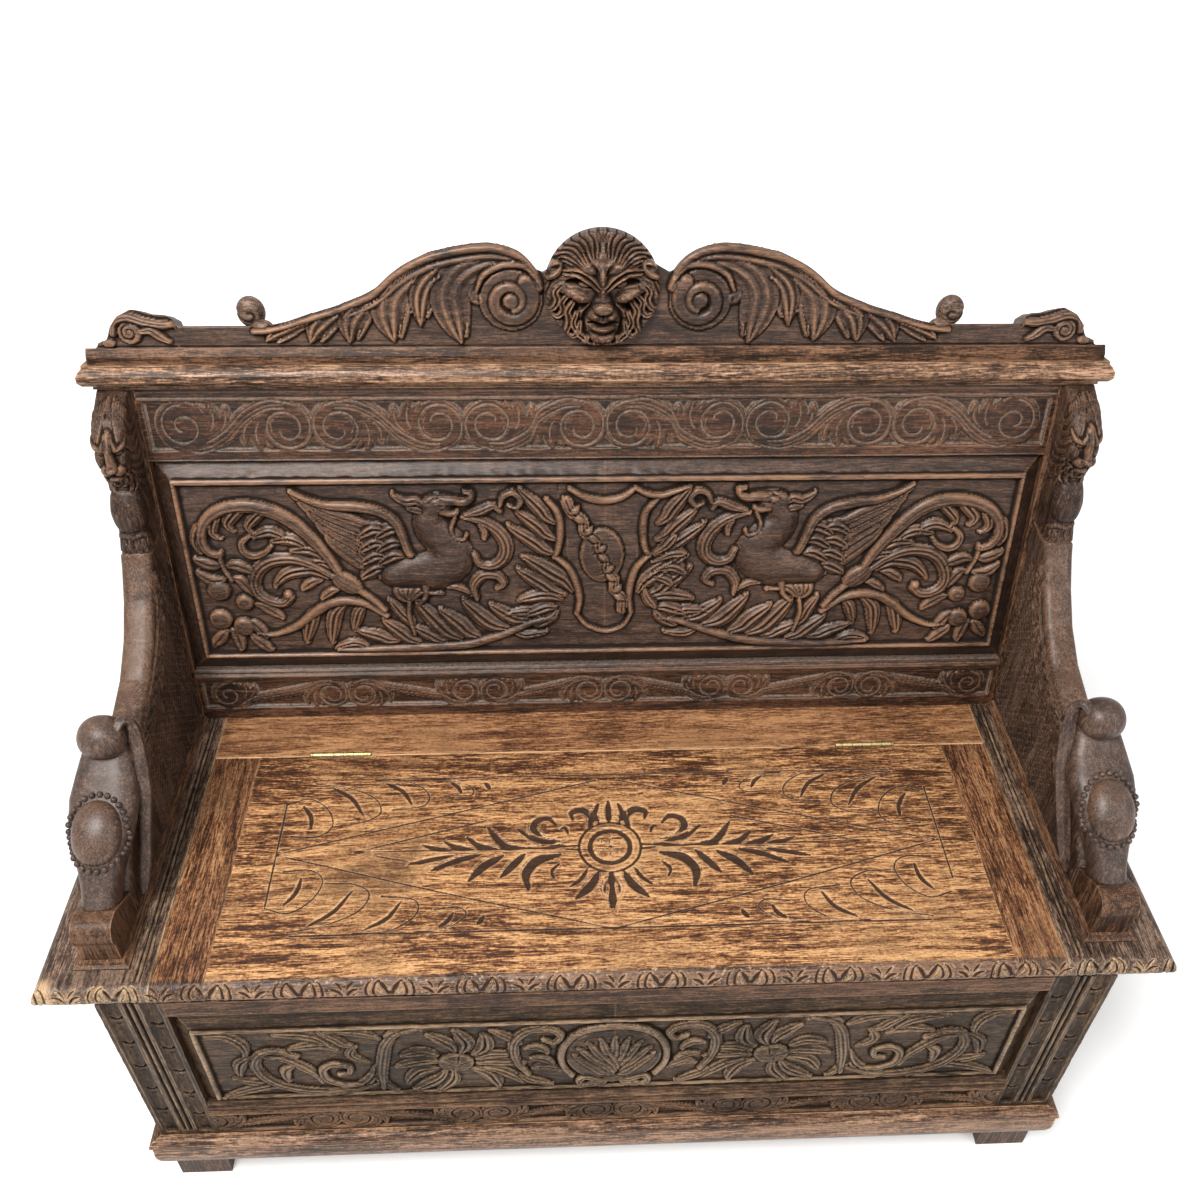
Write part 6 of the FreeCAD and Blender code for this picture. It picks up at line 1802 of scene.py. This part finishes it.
def head_rows(z):
    """The plain head at each height, from its rear edge round the front to the other one."""
    fronts = np.interp(z, *PROFILE)
    backs = np.interp(z, [753, 925], [454.5, 485.0])
    half = np.interp(z, *HALF_WIDTH)[:, None]
    s = np.broadcast_to(np.linspace(-math.pi / 2, math.pi / 2, 64), (len(z), 64))
    reach = np.minimum(22.0, (backs - fronts) * 0.7)[:, None]
    power = 0.62
    x = half * np.sign(np.sin(s)) * np.abs(np.sin(s)) ** power
    y = fronts[:, None] + reach * (1 - np.abs(np.cos(s)) ** power)
    tail = np.linspace(0, 1, 14)[1:]
    side_y = (fronts[:, None] + reach) + (backs[:, None] - fronts[:, None] - reach) * tail[None, :]
    side_x = half + 0 * side_y
    x = np.hstack([-side_x[:, ::-1], x, side_x])
    y = np.hstack([side_y[:, ::-1], y, side_y])
    return x, y, fronts, backs

# %% The two heads
def make_heads():
    relief = carve_head()
    hollow = relief.hollows(3.0)
    z = np.arange(753, 925.5, HEAD_STEP)
    x, y, fronts, backs = head_rows(z)
    zz = np.broadcast_to(z[:, None], x.shape)
    step = np.hypot(np.diff(x, axis=1), np.diff(y, axis=1))
    far = np.hstack([np.zeros((len(z), 1)), np.cumsum(step, 1)])
    u = far - far[:, [x.shape[1] // 2]]
    h = relief.sample(relief.h, u, zz)
    dx, dy = np.gradient(x, axis=1), np.gradient(y, axis=1)
    size = np.maximum(np.hypot(dx, dy), 1e-6)
    px = np.clip(x + dy / size * h * 0.55, -18.6, 18.6)
    py = np.minimum(y - dx / size * h, backs[:, None])
    values = relief.sample(hollow, u, zz)
    for side, sign in SIDES:
        front = upright(sign * HEAD_X + px, py, zz)
        behind = upright(sign * HEAD_X + 0 * px, np.maximum(py, (fronts + 10)[:, None]), zz)
        piece = carved_sheet(f"lion_head_carving_{side}", front, behind, values, carved_head)
        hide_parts(f"lion_head_{side}")


carved_head = oak("head oak", "z", 13.0, carved=True, Stain=0.2)
make_heads()

# %% [markdown]
# ## The arm fronts
#
# A post leans back from each foot block and swells round an oval boss, and a knob rolls over its
# top. The post could be lofted through sketches. Its cross-sections are given here by front and
# rear points of its profile with a half-width for each, and a rounded square is drawn in each one.

# %% The post
POST = [(58, 539, 97, 518, 18.5), (70, 551, 107, 529, 19.5), (84, 567, 118, 542, 23),
    (103, 589, 132, 558, 29.5), (125, 606, 150, 577, 35), (148, 620, 168, 589, 36.4),
    (170, 632, 187, 602, 33), (184, 643, 205, 614, 29), (196, 650, 218, 623, 26),
    (208, 652, 227, 631, 23), (216, 651, 228, 640, 18)]


def post_surface(count_s, count_a):
    table = even(POST, count_s)
    a = np.linspace(-math.pi, math.pi, count_a)
    mid_y, mid_z = (table[:, 0] + table[:, 2]) / 2, (table[:, 1] + table[:, 3]) / 2
    half_y, half_z = (table[:, 0] - table[:, 2]) / 2, (table[:, 1] - table[:, 3]) / 2
    across = np.sign(np.sin(a)) * np.abs(np.sin(a)) ** 0.72
    along = np.sign(np.cos(a)) * np.abs(np.cos(a)) ** 0.72
    x = table[:, 4][:, None] * across[None, :]
    y = mid_y[:, None] + half_y[:, None] * along[None, :]
    z = mid_z[:, None] + half_z[:, None] * along[None, :]
    return x, y, z


def make_post(name, x, y, z):
    front = upright(x, y, z)
    verts = np.vstack([front.reshape(-1, 3), front[0].mean(0)[None], front[-1].mean(0)[None]])
    return link(name, raw_mesh(name, verts, tube_faces(*x.shape), np.full(len(verts), -0.2)), carved_arm)

# %% Rounded forms, for the knobs and the bosses
def ellipsoid_grid(centre, size, lean_angle, power=1.0, rows=34, cols=60):
    """A rounded form with poles along x, closed."""
    p = np.linspace(-math.pi / 2, math.pi / 2, rows)[1:-1]
    q = np.linspace(0, 2 * math.pi, cols, endpoint=False)
    pp, qq = np.meshgrid(p, q, indexing="ij")
    x = size[0] * np.sign(np.sin(pp)) * np.abs(np.sin(pp)) ** power
    r = np.cos(pp) ** power
    v, w = size[1] * r * np.cos(qq), size[2] * r * np.sin(qq)
    c, s = math.cos(lean_angle), math.sin(lean_angle)
    points = np.stack([x + centre[0], centre[1] + v * c - w * s, centre[2] + v * s + w * c], -1)
    rows -= 2
    index = np.arange(rows * cols).reshape(rows, cols)
    j, i = np.meshgrid(np.arange(rows - 1), np.arange(cols), indexing="ij")
    quads = np.stack([index[j, i], index[j, (i + 1) % cols], index[j + 1, (i + 1) % cols],
        index[j + 1, i]], -1).reshape(-1, 4)
    ends = [points[0].mean(0), points[-1].mean(0)]
    ends[0][0], ends[1][0] = centre[0] - size[0], centre[0] + size[0]
    verts = np.vstack([points.reshape(-1, 3), ends])
    # Both poles are closed by a fan round a closed ring.
    poles = [fan(np.append(index[0], index[0, 0]), rows * cols, flip=True),
        fan(np.append(index[-1], index[-1, 0]), rows * cols + 1)]
    return verts, np.vstack([quads] + poles)


def place_mm(verts):
    out = np.array(verts, float)
    out[:, 1] -= MIDDLE
    return out * MM


def round_piece(name, centre, size, lean_angle, power, hollow):
    verts, quads = ellipsoid_grid(centre, size, lean_angle, power)
    return link(name, raw_mesh(name, place_mm(verts), quads, np.full(len(verts), hollow)), carved_arm)

# %% [markdown]
# ## The beads round the boss
#
# A ring of beads lies round each boss. They could be placed one by one. Geometry Nodes does it
# with one curve: it takes equal steps along the path, puts a ball on each step and makes the balls
# real, so the number of beads is one value. The path must lie on the post, so each point of an
# oval is moved back to the post's nearest face.

# %% Beads by Geometry Nodes
def bead_tree():
    """Beads at equal steps along a curve."""
    tree = bpy.data.node_groups.new("bead ring", "GeometryNodeTree")
    ports = tree.interface
    ports.new_socket("Path", in_out="INPUT", socket_type="NodeSocketGeometry")
    for name, kind, value in (("Count", "NodeSocketInt", 30), ("Bead radius", "NodeSocketFloat", 0.0031),
            ("Wood", "NodeSocketMaterial", None)):
        socket = ports.new_socket(name, in_out="INPUT", socket_type=kind)
        if value is not None:
            socket.default_value = value
    ports.new_socket("Beads", in_out="OUTPUT", socket_type="NodeSocketGeometry")
    given = tree.nodes.new("NodeGroupInput").outputs
    end = tree.nodes.new("NodeGroupOutput")
    steps = tree.nodes.new("GeometryNodeResampleCurve")
    steps.mode = "COUNT"
    ball = tree.nodes.new("GeometryNodeMeshUVSphere")
    ball.inputs["Segments"].default_value = 14
    ball.inputs["Rings"].default_value = 9
    on = tree.nodes.new("GeometryNodeInstanceOnPoints")
    real = tree.nodes.new("GeometryNodeRealizeInstances")
    paint = tree.nodes.new("GeometryNodeSetMaterial")
    smooth = tree.nodes.new("GeometryNodeSetShadeSmooth")
    join = tree.links.new
    join(given["Path"], steps.inputs["Curve"])
    join(given["Count"], steps.inputs["Count"])
    join(given["Bead radius"], ball.inputs["Radius"])
    join(steps.outputs[0], on.inputs["Points"])
    join(ball.outputs[0], on.inputs["Instance"])
    join(on.outputs[0], real.inputs[0])
    join(real.outputs[0], smooth.inputs[0])
    join(smooth.outputs[0], paint.inputs[0])
    join(given["Wood"], paint.inputs["Material"])
    join(paint.outputs[0], end.inputs["Beads"])
    return tree

# %% A plain mesh from Geometry Nodes
def grown_mesh(name, carrier, tree, values, material):
    """Run a Geometry Nodes tree on an object, keep the plain mesh and drop the carrier."""
    bpy.context.scene.collection.objects.link(carrier)
    modifier = carrier.modifiers.new("grow", "NODES")
    modifier.node_group = tree
    for item in tree.interface.items_tree:
        if item.item_type == "SOCKET" and item.in_out == "INPUT" and item.name in values:
            modifier[item.identifier] = values[item.name]
    bpy.context.view_layer.update()
    ready = carrier.evaluated_get(bpy.context.evaluated_depsgraph_get())
    mesh = bpy.data.meshes.new_from_object(ready)
    bpy.data.objects.remove(carrier)
    mesh.name = name
    mesh.materials.clear()
    return link(name, mesh, material)

# %% The path of the beads
TILT = math.radians(40)
BEADS = 31
BEAD_RADIUS = 0.0036


def ring_path(centre, x, y, z):
    """An oval round the boss, on the face of a post of points x, y and z."""
    flat_x, flat_y, flat_z = x.ravel(), y.ravel(), z.ravel()
    ring = []
    for t in np.linspace(0, 2 * math.pi, 90, endpoint=False):
        px, along = 31.5 * math.cos(t), 41.0 * math.sin(t)
        sy, sz = 118 + along * math.cos(TILT), 596 + along * math.sin(TILT)
        slide = (flat_y - sy) * math.cos(TILT) + (flat_z - sz) * math.sin(TILT)
        out = -(flat_y - sy) * math.sin(TILT) + (flat_z - sz) * math.cos(TILT)
        gap = np.abs(slide) + np.abs(flat_x - px) - 0.02 * out
        near = np.argsort(gap)[:4]
        rise = out[near[np.argmax(out[near])]] + 0.6
        ring.append((centre + px, sy - rise * math.sin(TILT), sz + rise * math.cos(TILT)))
    curve = bpy.data.curves.new("ring path", "CURVE")
    curve.dimensions = "3D"
    spline = curve.splines.new("POLY")
    spline.points.add(len(ring) - 1)
    for point, (px, py, pz) in zip(spline.points, ring):
        point.co = (px * MM, (py - MIDDLE) * MM, pz * MM, 1)
    spline.use_cyclic_u = True
    return bpy.data.objects.new("ring path", curve)

# %% [markdown]
# ## The leaf strap inside each arm
#
# A fluted leaf runs down the inner side of each post. It is narrow and bends in all three
# directions, so a grid of heights doesn't suit it. It is a tube with a fluted section instead,
# swept along a smoothed path.

# %% A fluted strap
def swept(name, path, widths, thick, material, flutes=5):
    """A fluted strap along a path of (x, y, z) points."""
    line = smooth_line([(x, y) for x, y, _ in path], 2.0)
    share = np.linspace(0, 1, len(line))
    marks = np.linspace(0, 1, len(path))
    p = np.stack([np.interp(share, marks, [point[k] for point in path]) for k in range(3)], 1)
    for _ in range(6):
        p[1:-1] = (p[:-2] + 2 * p[1:-1] + p[2:]) / 4
    lead = np.gradient(p, axis=0)
    lead /= np.linalg.norm(lead, axis=1)[:, None]
    out = np.cross(lead, (1.0, 0, 0))
    out /= np.linalg.norm(out, axis=1)[:, None]
    wide = np.cross(out, lead)
    size = np.interp(share, np.linspace(0, 1, len(widths)),
        widths) * np.sqrt(np.clip(np.minimum(share, 1 - share) * 14, 0.02, 1))
    a = np.linspace(0, 2 * math.pi, 41)
    flute = 1 - 0.16 * (0.5 + 0.5 * np.cos(a * flutes))
    grid = p[:, None] + wide[:, None] * (size[:, None]
        * (flute * np.cos(a))[None])[..., None] + out[:, None] * (size[:, None] * thick
        * (flute * np.sin(a))[None])[..., None]
    rows, cols = grid.shape[:2]
    verts = np.vstack([grid.reshape(-1, 3), p[:1], p[-1:]])
    # The flutes get hollow values that shade them a little darker and their ridges a little lighter, as
    # painted shade and highlight.
    hollow = np.broadcast_to((1 - flute) * 6 - 0.6, (rows, cols)).reshape(-1)
    values = np.stack([np.append(hollow, (0, 0)), np.append(hollow, (0, 0)) * 0.4], 1)
    return link(name, raw_mesh(name, place_mm(verts), tube_faces(rows, cols), values), material)

# %% Both arms
STRAP = [(-540, 190, 668), (-533, 206, 678), (-524, 210, 668), (-520, 196, 640), (-518, 176, 606),
    (-519, 150, 570), (-521, 124, 534), (-525, 104, 502)]
STRAP_WIDTHS = (5, 7, 8, 9, 10, 9, 8, 6)


def make_arms():
    beads = bead_tree()
    for side, sign in SIDES:
        centre = sign * 555.0
        x, y, z = post_surface(110, 97)
        post = make_post(f"arm_post_{side}", centre + x, y, z)
        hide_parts(f"arm_front_{side}")
        round_piece(f"arm_knob_{side}", (centre, 199, 659), (25.4, 24.6, 23.4), 0.6, 0.9, -0.3)
        # The boss is half sunk in the post's front face.
        round_piece(f"arm_boss_{side}", (centre, 119, 594), (26.5, 19, 35.5), TILT - math.pi / 2, 0.92,
            -0.5)
        ring = ring_path(centre, x, y, z)
        grown_mesh(f"arm_beads_{side}", ring, beads, {"Count": BEADS, "Bead radius": BEAD_RADIUS},
            carved_arm)
        swept(f"arm_leaf_{side}", [(-sign * px, py, pz) for px, py, pz in STRAP], STRAP_WIDTHS, 0.6,
            carved_arm)


carved_arm = oak("arm oak", "z", 17.0, carved=True, gloss=0.6, Stain=0.4, Streaks=0.75,
    Dark=(0.012, 0.007, 0.0055), Middle=(0.055, 0.032, 0.023), Light=(0.16, 0.10, 0.072))
make_arms()

# %% [markdown]
# ## The lion mask
#
# A lion mask looks down from the middle of the crest and stands out 42 mm, far more than anything
# else. Sculpting would suit it, but numbers can be checked and changed. Round bulges for mane,
# brow, cheeks, nose and beard are first blended into one soft head, by a smooth maximum. Grooves
# and strokes then cut eyes, nostrils, wrinkles and curls.
#
# Its outline isn't a rectangle, so the heights go to a mesh of rays and rings round the middle of
# the face, whose last ring is the free outline of mane and curls.

# %% The outline of the mask
MASK_SIDE = [(4, 629), (16, 632), (30, 628), (40, 620), (49, 613), (56, 603), (64, 595), (67, 585),
    (61, 576), (53, 571), (61, 562), (67, 550), (55, 549), (46, 544), (56, 534), (50, 526), (40, 531),
    (38, 522), (46, 512), (38, 505), (29, 512), (24, 517), (24, 508), (16, 500), (9, 507), (4, 503)]
MASK_RIM = [(-4 + x, up) for x, up in MASK_SIDE] + [(-4, 501.5)] + [(-4 - x, up) for x,
    up in MASK_SIDE[::-1]] + [(-4, 632)]

# %% The soft head under the carving
def bulge(x, up, across, height, wide, tall, rise, turn=0.0):
    """The heights of a rounded oval form, 0 outside it."""
    c, s = math.cos(turn), math.sin(turn)
    du, dv = x - across, up - height
    d = np.hypot((du * c + dv * s) / wide, (dv * c - du * s) / tall)
    return rise * np.clip(1 - d * d, 0, 1) ** 0.5


MIDDLE_BULGES = ((600, 12, 22, 29), (574, 8, 34, 34), (553, 13, 12, 39), (538, 13, 9, 33),
    (526, 16, 6, 31), (515, 17, 9, 28))


def soft_head(mask):
    """Mane above, face in the middle and a low ground for the beard, blended into one."""
    x, up = mask.u[None, :] + 4, mask.v[:, None]
    q = np.hypot(x / 64, (up - 572) / 62)
    mane = 9 + 13 * np.sqrt(np.clip(1 - q * q, 0, 1)) * np.clip((up - 545) / 25, 0, 1)
    forms = [mane, bulge(x, up, 0, 556, 40, 48, 20)]
    for hand in (-1, 1):
        forms += [bulge(x, up, hand * 15, 592, 16, 15, 33, hand * 0.35), bulge(x, up, hand * 27, 584, 17,
            9, 28.5, hand * 0.25), bulge(x, up, hand * 27, 562, 20, 9, 30, hand * 0.42),
            bulge(x, up, hand * 8.5, 542, 9.5, 8.5, 37.5)]
    forms += [bulge(x, up, 0, *form) for form in MIDDLE_BULGES]
    soft = 1.1
    total = sum(np.exp(np.clip(form, 0, 60) / soft) for form in forms)
    mask.h = soften(np.log(total) * soft - soft * math.log(len(forms)) * 0.4, 1)

# %% Eyes, brows and cheeks
def carve_eye(mask, draw):
    # The eye lies deep under the brow, between lids.
    draw.groove([(8, 571), (16, 574), (27, 577), (38, 576)], (3.5, 5.5, 2.5), 9.0)
    draw.dome(20, 573.5, 6.0, 3.0, 22.5, edge=0.86, base=0, cut=0.3, turn=0.2 * draw.side)
    mask.groove([(-4 + draw.side * 20 + 2.0 * math.cos(a), 573.5 + 2.0 * math.sin(a))
        for a in np.linspace(0, 6.3, 9)], 0.5, 0.9)
    # A heavy brow slants down to the root of the nose and hides the upper lid.
    draw.stroke([(5, 572), (14, 580), (27, 587), (40, 586)], (4, 6.5, 4), (38, 34, 25), base=0, flat=0.3,
        edge=0.8, cut=0.6, flutes=1)
    draw.groove([(4, 584), (10, 594), (20, 606)], (1.5, 2.6, 1.0), 4.5)
    # Cheekbone, the dark hollow under it and the fold beside the mouth.
    draw.groove([(17, 553), (26, 548), (36, 552), (46, 562)], (2.0, 5.5, 2.0), 8.0)
    draw.groove([(13, 549), (19, 541), (21, 531), (18, 522)], (2.0, 3.6, 1.5), 7.0)
    draw.groove([(8.5, 560), (11, 554), (14.5, 548)], (0.8, 1.8, 0.8), 2.6)
    draw.groove([(4.5, 545), (8.0, 546)], 1.7, 5.5)
    for k in range(5):
        draw.groove([(15 + 2.5 * k, 566 - 2.2 * k), (27 + 1.5 * k, 562 - 2.0 * k),
            (40 - k, 570 - 2.4 * k)], (0.5, 0.8, 0.5), 0.8)

# %% Mane, ears and beard
BEARD = (([(44, 572), (51, 564), (49, 555), (54, 546), (64, 542)], 5.0, 19),
    ([(38, 560), (44, 552), (43, 543), (49, 537), (57, 540)], 4.6, 17),
    ([(33, 552), (38, 543), (36, 532), (40, 520), (43, 514)], 5.2, 20),
    ([(29, 540), (32, 530), (28, 520), (33, 515), (38, 519)], 4.6, 21),
    ([(25, 530), (26, 519), (20, 512), (22, 506), (28, 508)], 4.6, 20),
    ([(17, 514), (18, 508), (12, 504), (7, 507)], 4.4, 18), ([(7, 511), (7, 505), (1, 503)], 3.8, 16))


def carve_mane(draw):
    # Long strands fan out from the middle of the brow.
    for k in range(11):
        a = math.radians(86 - 9.5 * k)
        root = (5 + 3.0 * k, 603 - 1.5 * k)
        tip = (63 * math.cos(a), 569 + 60 * math.sin(a))
        bow = ((root[0] + tip[0]) / 2 - 2.5 + 0.5 * k, (root[1] + tip[1]) / 2 + 4 + 0.5 * k)
        draw.groove([root, bow, tip], (0.9, 1.9, 1.5), 3.6)
        draw.groove([(px - 2.0, py + 1.8) for px, py in (root, bow, tip)], (0.4, 0.8, 0.6), 1.2)
    # The ear.
    draw.dome(55, 588, 13.5, 9.0, 24, edge=0.7, base=0, cut=1.8, turn=-0.55 * draw.side)
    draw.groove([(47, 593), (54, 589), (61, 583)], (1.8, 4.4, 1.5), 6.5)
    # Curls of the beard, the outer ones low.
    for points, wide, high in BEARD:
        draw.stroke(points, (wide * 0.7, wide, wide * 0.4), (high, high - 2, high - 6), base=0, flat=0.5,
            edge=0.72, flutes=1, cut=1.6)

# %% The carved mask
def carve_mask():
    mask = Relief(-78, 72, 496, 638, 0.85)
    soft_head(mask)
    for hand in (-1, 1):
        draw = Half(mask, lambda points, hand=hand: [(-4 + hand * px, py) for px, py in points], hand)
        carve_eye(mask, draw)
        carve_mane(draw)
    # Top tuft, ridge of the nose, mouth and lips.
    for shift in (-3.4, 0, 3.4):
        mask.groove([(-4 + shift * 0.6, 606), (-4 + shift * 1.3, 616), (-4 + shift * 2.0, 630)],
            (0.7, 1.5, 1.2), 2.6)
    for k in range(7):
        mask.groove([(-11, 581 - 4.2 * k), (-4, 578.5 - 4.2 * k), (3, 581 - 4.2 * k)], 0.6, 0.7)
    mask.dome(-4, 551, 10.5, 6.0, 41.6, edge=0.9, base=0, cut=0.4)
    mask.groove([(-4, 546), (-4, 541), (-4, 536)], 1.1, 2.2)
    mask.groove([(-20, 530.5), (-12, 532), (-4, 530.6), (4, 532), (12, 530.5)], (1.4, 2.6, 1.4), 6.0)
    mask.groove([(-16, 520.5), (-4, 519), (8, 520.5)], (1.4, 2.2, 1.4), 3.4)
    tool_marks(mask, 0.14)
    return mask

# %% The mesh of the mask
MASK_MIDDLE = np.array([-4.0, 566.0])
RAYS, RINGS = 341, 84
MASK_HIGHEST = 41.7


def mask_rays():
    """Places on rays from the middle of the mask to its rim, and how far each lies from the rim."""
    first = MASK_RIM[0] - MASK_MIDDLE
    a = np.arctan2(first[1], first[0]) + np.linspace(0, 2 * math.pi, RAYS)
    rim = smooth_line(MASK_RIM + [MASK_RIM[0]], 1.0) - MASK_MIDDLE
    angle = np.unwrap(np.arctan2(rim[:, 1], rim[:, 0]))
    order = np.argsort(angle)
    r = np.interp(a, angle[order], np.hypot(*rim.T)[order])
    t = np.linspace(0.004, 1, RINGS)[:, None] ** 0.9
    x = MASK_MIDDLE[0] + t * r[None, :] * np.cos(a)[None, :]
    up = MASK_MIDDLE[1] + t * r[None, :] * np.sin(a)[None, :]
    return x, up, np.clip((1 - t) * r[None, :] / 3.5, 0, 1)


def make_mask():
    mask = carve_mask()
    x, up, fall = mask_rays()
    thick = np.clip((up - 604) / 24, 0, 1)
    h = mask.sample(mask.h, x, up) + 13 * thick
    h = h * (0.45 + 0.45 * thick + (0.55 - 0.45 * thick) * np.sqrt(1 - (1 - fall) ** 2))
    h = np.minimum(h, MASK_HIGHEST)
    hollow = mask.sample(mask.hollows(4.0), x, up)
    rise = np.concatenate([h, h[-1:] * 0.5, h[-1:] * 0])
    x, up = (np.concatenate([g, g[-1:], g[-1:]]) for g in (x, up))
    hollow = np.concatenate([hollow, hollow[-1:], hollow[-1:] * 0])
    points = lean(x, -rise, up)
    rows, cols = x.shape
    verts = np.vstack([points.reshape(-1, 3), points[0].mean(0)[None],
        lean(MASK_MIDDLE[0], 0.0, MASK_MIDDLE[1]).reshape(1, 3)])
    index = np.arange(rows * cols).reshape(rows, cols)
    core = np.roll(fan(index[0], rows * cols), 1, axis=1)
    back = np.roll(fan(index[-1], rows * cols + 1, flip=True), 1, axis=1)
    quads = np.vstack([grid_quads(rows, cols, flip=True), core, back])
    values = np.vstack([hollow.reshape(-1, 2), np.zeros((2, 2))])
    name = "crest_mask_carving"
    piece = link(name, raw_mesh(name, verts, quads, values, (index[-1, :-1],)), carved_mask)
    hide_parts("crest_mask")
    print("mask stands", round(h.max(), 1), "mm out")


carved_mask = oak("mask oak", "x", 19.0, carved=True, gloss=0.45, Stain=0.1, pit=(0.5, 4.2),
    Dark=(0.014, 0.008, 0.006), Middle=(0.072, 0.040, 0.027), Light=(0.20, 0.125, 0.088))
make_mask()

# %% [markdown]
# ## The knobs beside the crest
#
# A turned knob on a short neck stands on each shoulder of the crest, with a hook-shaped cut down
# its front. It is a stretched ball. The cut is made by moving each point inward by how near it
# lies to the line of the hook, so no Boolean is needed.

# %% The knobs
HOOK = [(-15, 2), (-9, -5), (0, -7), (6, -2), (4, 4), (-2, 4)]


def make_crest_knobs():
    for side, sign in SIDES:
        centre = lean(sign * 390.0, 13.5, 536.0)
        verts, quads = ellipsoid_grid((0, 0, 0), (15.6, 13.2, 18.5), LEAN, 1.0, 40, 60)
        x, up = -sign * verts[:, 0], verts[:, 2]
        hook = smooth_line(HOOK, 0.6)[:, :2]
        far = np.min(np.hypot(x[:, None] - hook[None, :, 0], up[:, None] - hook[None, :, 1]), 1)
        front = verts[:, 1] < 4
        sink = 2.2 * np.exp(-((far / 1.6) ** 2)) * front
        verts = verts * (1 - sink / 15)[:, None] * MM + centre
        # The hook cut gets hollow values, which darken it as painted shade.
        hollow = np.stack([sink * 1.2 - 0.3, sink * 0.4], 1)
        link(f"crest_knob_{side}", raw_mesh(f"crest_knob_{side}", verts, quads, hollow), carved_mask)
        neck, quads = ellipsoid_grid((0, 0, 0), (12.0, 9.0, 8.0), LEAN, 1.0, 20, 32)
        neck = neck * MM + lean(sign * 378.0, 6.0, 521.0)
        link(f"crest_neck_{side}", raw_mesh(f"crest_neck_{side}", neck, quads,
            np.full((len(neck), 2), -0.2)), carved_mask)


make_crest_knobs()

# %% [markdown]
# ## The plain boards
#
# Every board that the solid model gives as it is gets oak with its grain along its own length, as a
# joiner cuts it. The boards that hands and sun don't reach are paler or darker than the rest.

# %% The oaks of the plain boards
WARM = {"Dark": (0.012, 0.006, 0.0035), "Middle": (0.062, 0.029, 0.015), "Light": (0.19, 0.098, 0.054)}
plain_x = oak("plain oak, grain along", "x", 23.0, gloss=0.2, Stain=0.6, Streaks=1.15, **WARM)
plain_y = oak("plain oak, grain through", "y", 29.0, Stain=0.5, **WARM)
plain_z = oak("plain oak, grain upright", "z", 31.0, Stain=0.5, **WARM)
foot_worn = oak("arm foot oak", "z", 33.0, patch=(-0.590, -0.225, 0.500, 0.026), Stain=0.5, **WARM)
hinge_board = oak("hinge board oak", "x", 41.0, gloss=0.45, Stain=0.6, Streaks=1.0, Tone=0.54,
    Dark=(0.035, 0.014, 0.007), Middle=(0.178, 0.074, 0.031), Light=(0.43, 0.222, 0.102),
    Bare=(0.58, 0.34, 0.18))
raw = oak("raw oak", "x", 43.0, Stain=0.2, Streaks=0.8, Dark=(0.10, 0.058, 0.03),
    Middle=(0.20, 0.125, 0.07), Light=(0.32, 0.21, 0.12), Bare=(0.4, 0.26, 0.15))
ledge = oak("cornice oak", "x", 47.0, Stain=0.6, Streaks=1.1, Dark=(0.016, 0.008, 0.005),
    Middle=(0.135, 0.070, 0.040), Light=(0.42, 0.25, 0.155), Bare=(0.52, 0.31, 0.17))

# %% Each board gets its oak
def dress(material, *names):
    for name in names:
        mesh = nodes[name].data
        mesh.materials.clear()
        mesh.materials.append(material)


dress(plain_x, "front_top_rail", "crest_foot_moulding", "hinge_rail")
dress(ledge, "cornice", "plinth_front")
dress(plain_y, "plinth_left", "plinth_right", "side_bottom_rail_left", "side_bottom_rail_right",
    "side_top_rail_left", "side_top_rail_right", "wing_moulding_left", "wing_moulding_right")
dress(plain_z, "back_stile_left", "back_stile_right", "rear_stile_left", "rear_stile_right",
    "side_panel_left", "side_panel_right", "foot_front_left", "foot_front_right", "foot_rear_left",
    "foot_rear_right", "arm_foot_right")
dress(foot_worn, "arm_foot_left")
dress(hinge_board, "rear_board")
dress(raw, "bottom_bearers", "chest_back", "chest_bottom")

# %% [markdown]
# ## The brass of the hinges
#
# The hinges are old brass that has gone dull, with dark joints between their knuckles. The joints
# are real in the solid. From the camera they are finer than a pixel, so a dark line repeated every
# 13 mm along the hinge helps them to show.

# %% The brass
def brass_metal():
    metal, n, shader = new_material("dull brass")
    where = n.where()
    spots = n.noise(where, 320.0, 4.0, 0.6)
    tarnish = n.ramp(n.noise(where, 90.0, 4.0, 0.6), 0.45, 0.7)
    n.feed(shader.inputs["Roughness"], n.ramp(spots, -0.6, 1.6))
    shader.inputs["Metallic"].default_value = 1.0
    # Dark joints between the knuckles, about 13 mm apart.
    axes = n.add("ShaderNodeSeparateXYZ", None, 0, Vector=where)
    knuckle = n.math("ABSOLUTE", n.math("SUBTRACT", n.math("FRACT", n.math("MULTIPLY", axes, 77.0)), 0.5))
    joint = n.ramp(knuckle, 0.46, 0.49)
    metal_colour = n.mix(tarnish, (0.46, 0.36, 0.17), (0.20, 0.14, 0.06))
    n.feed(shader.inputs["Base Color"], n.mix(joint, metal_colour, (0.03, 0.022, 0.015)))
    n.feed(shader.inputs["Normal"], n.add("ShaderNodeBump", None, 0, Height=spots, Distance=0.00008,
        Strength=0.6))
    return metal


dress(brass_metal(), *(name for name in nodes if name.startswith(("hinge_leaf", "hinge_pin"))))
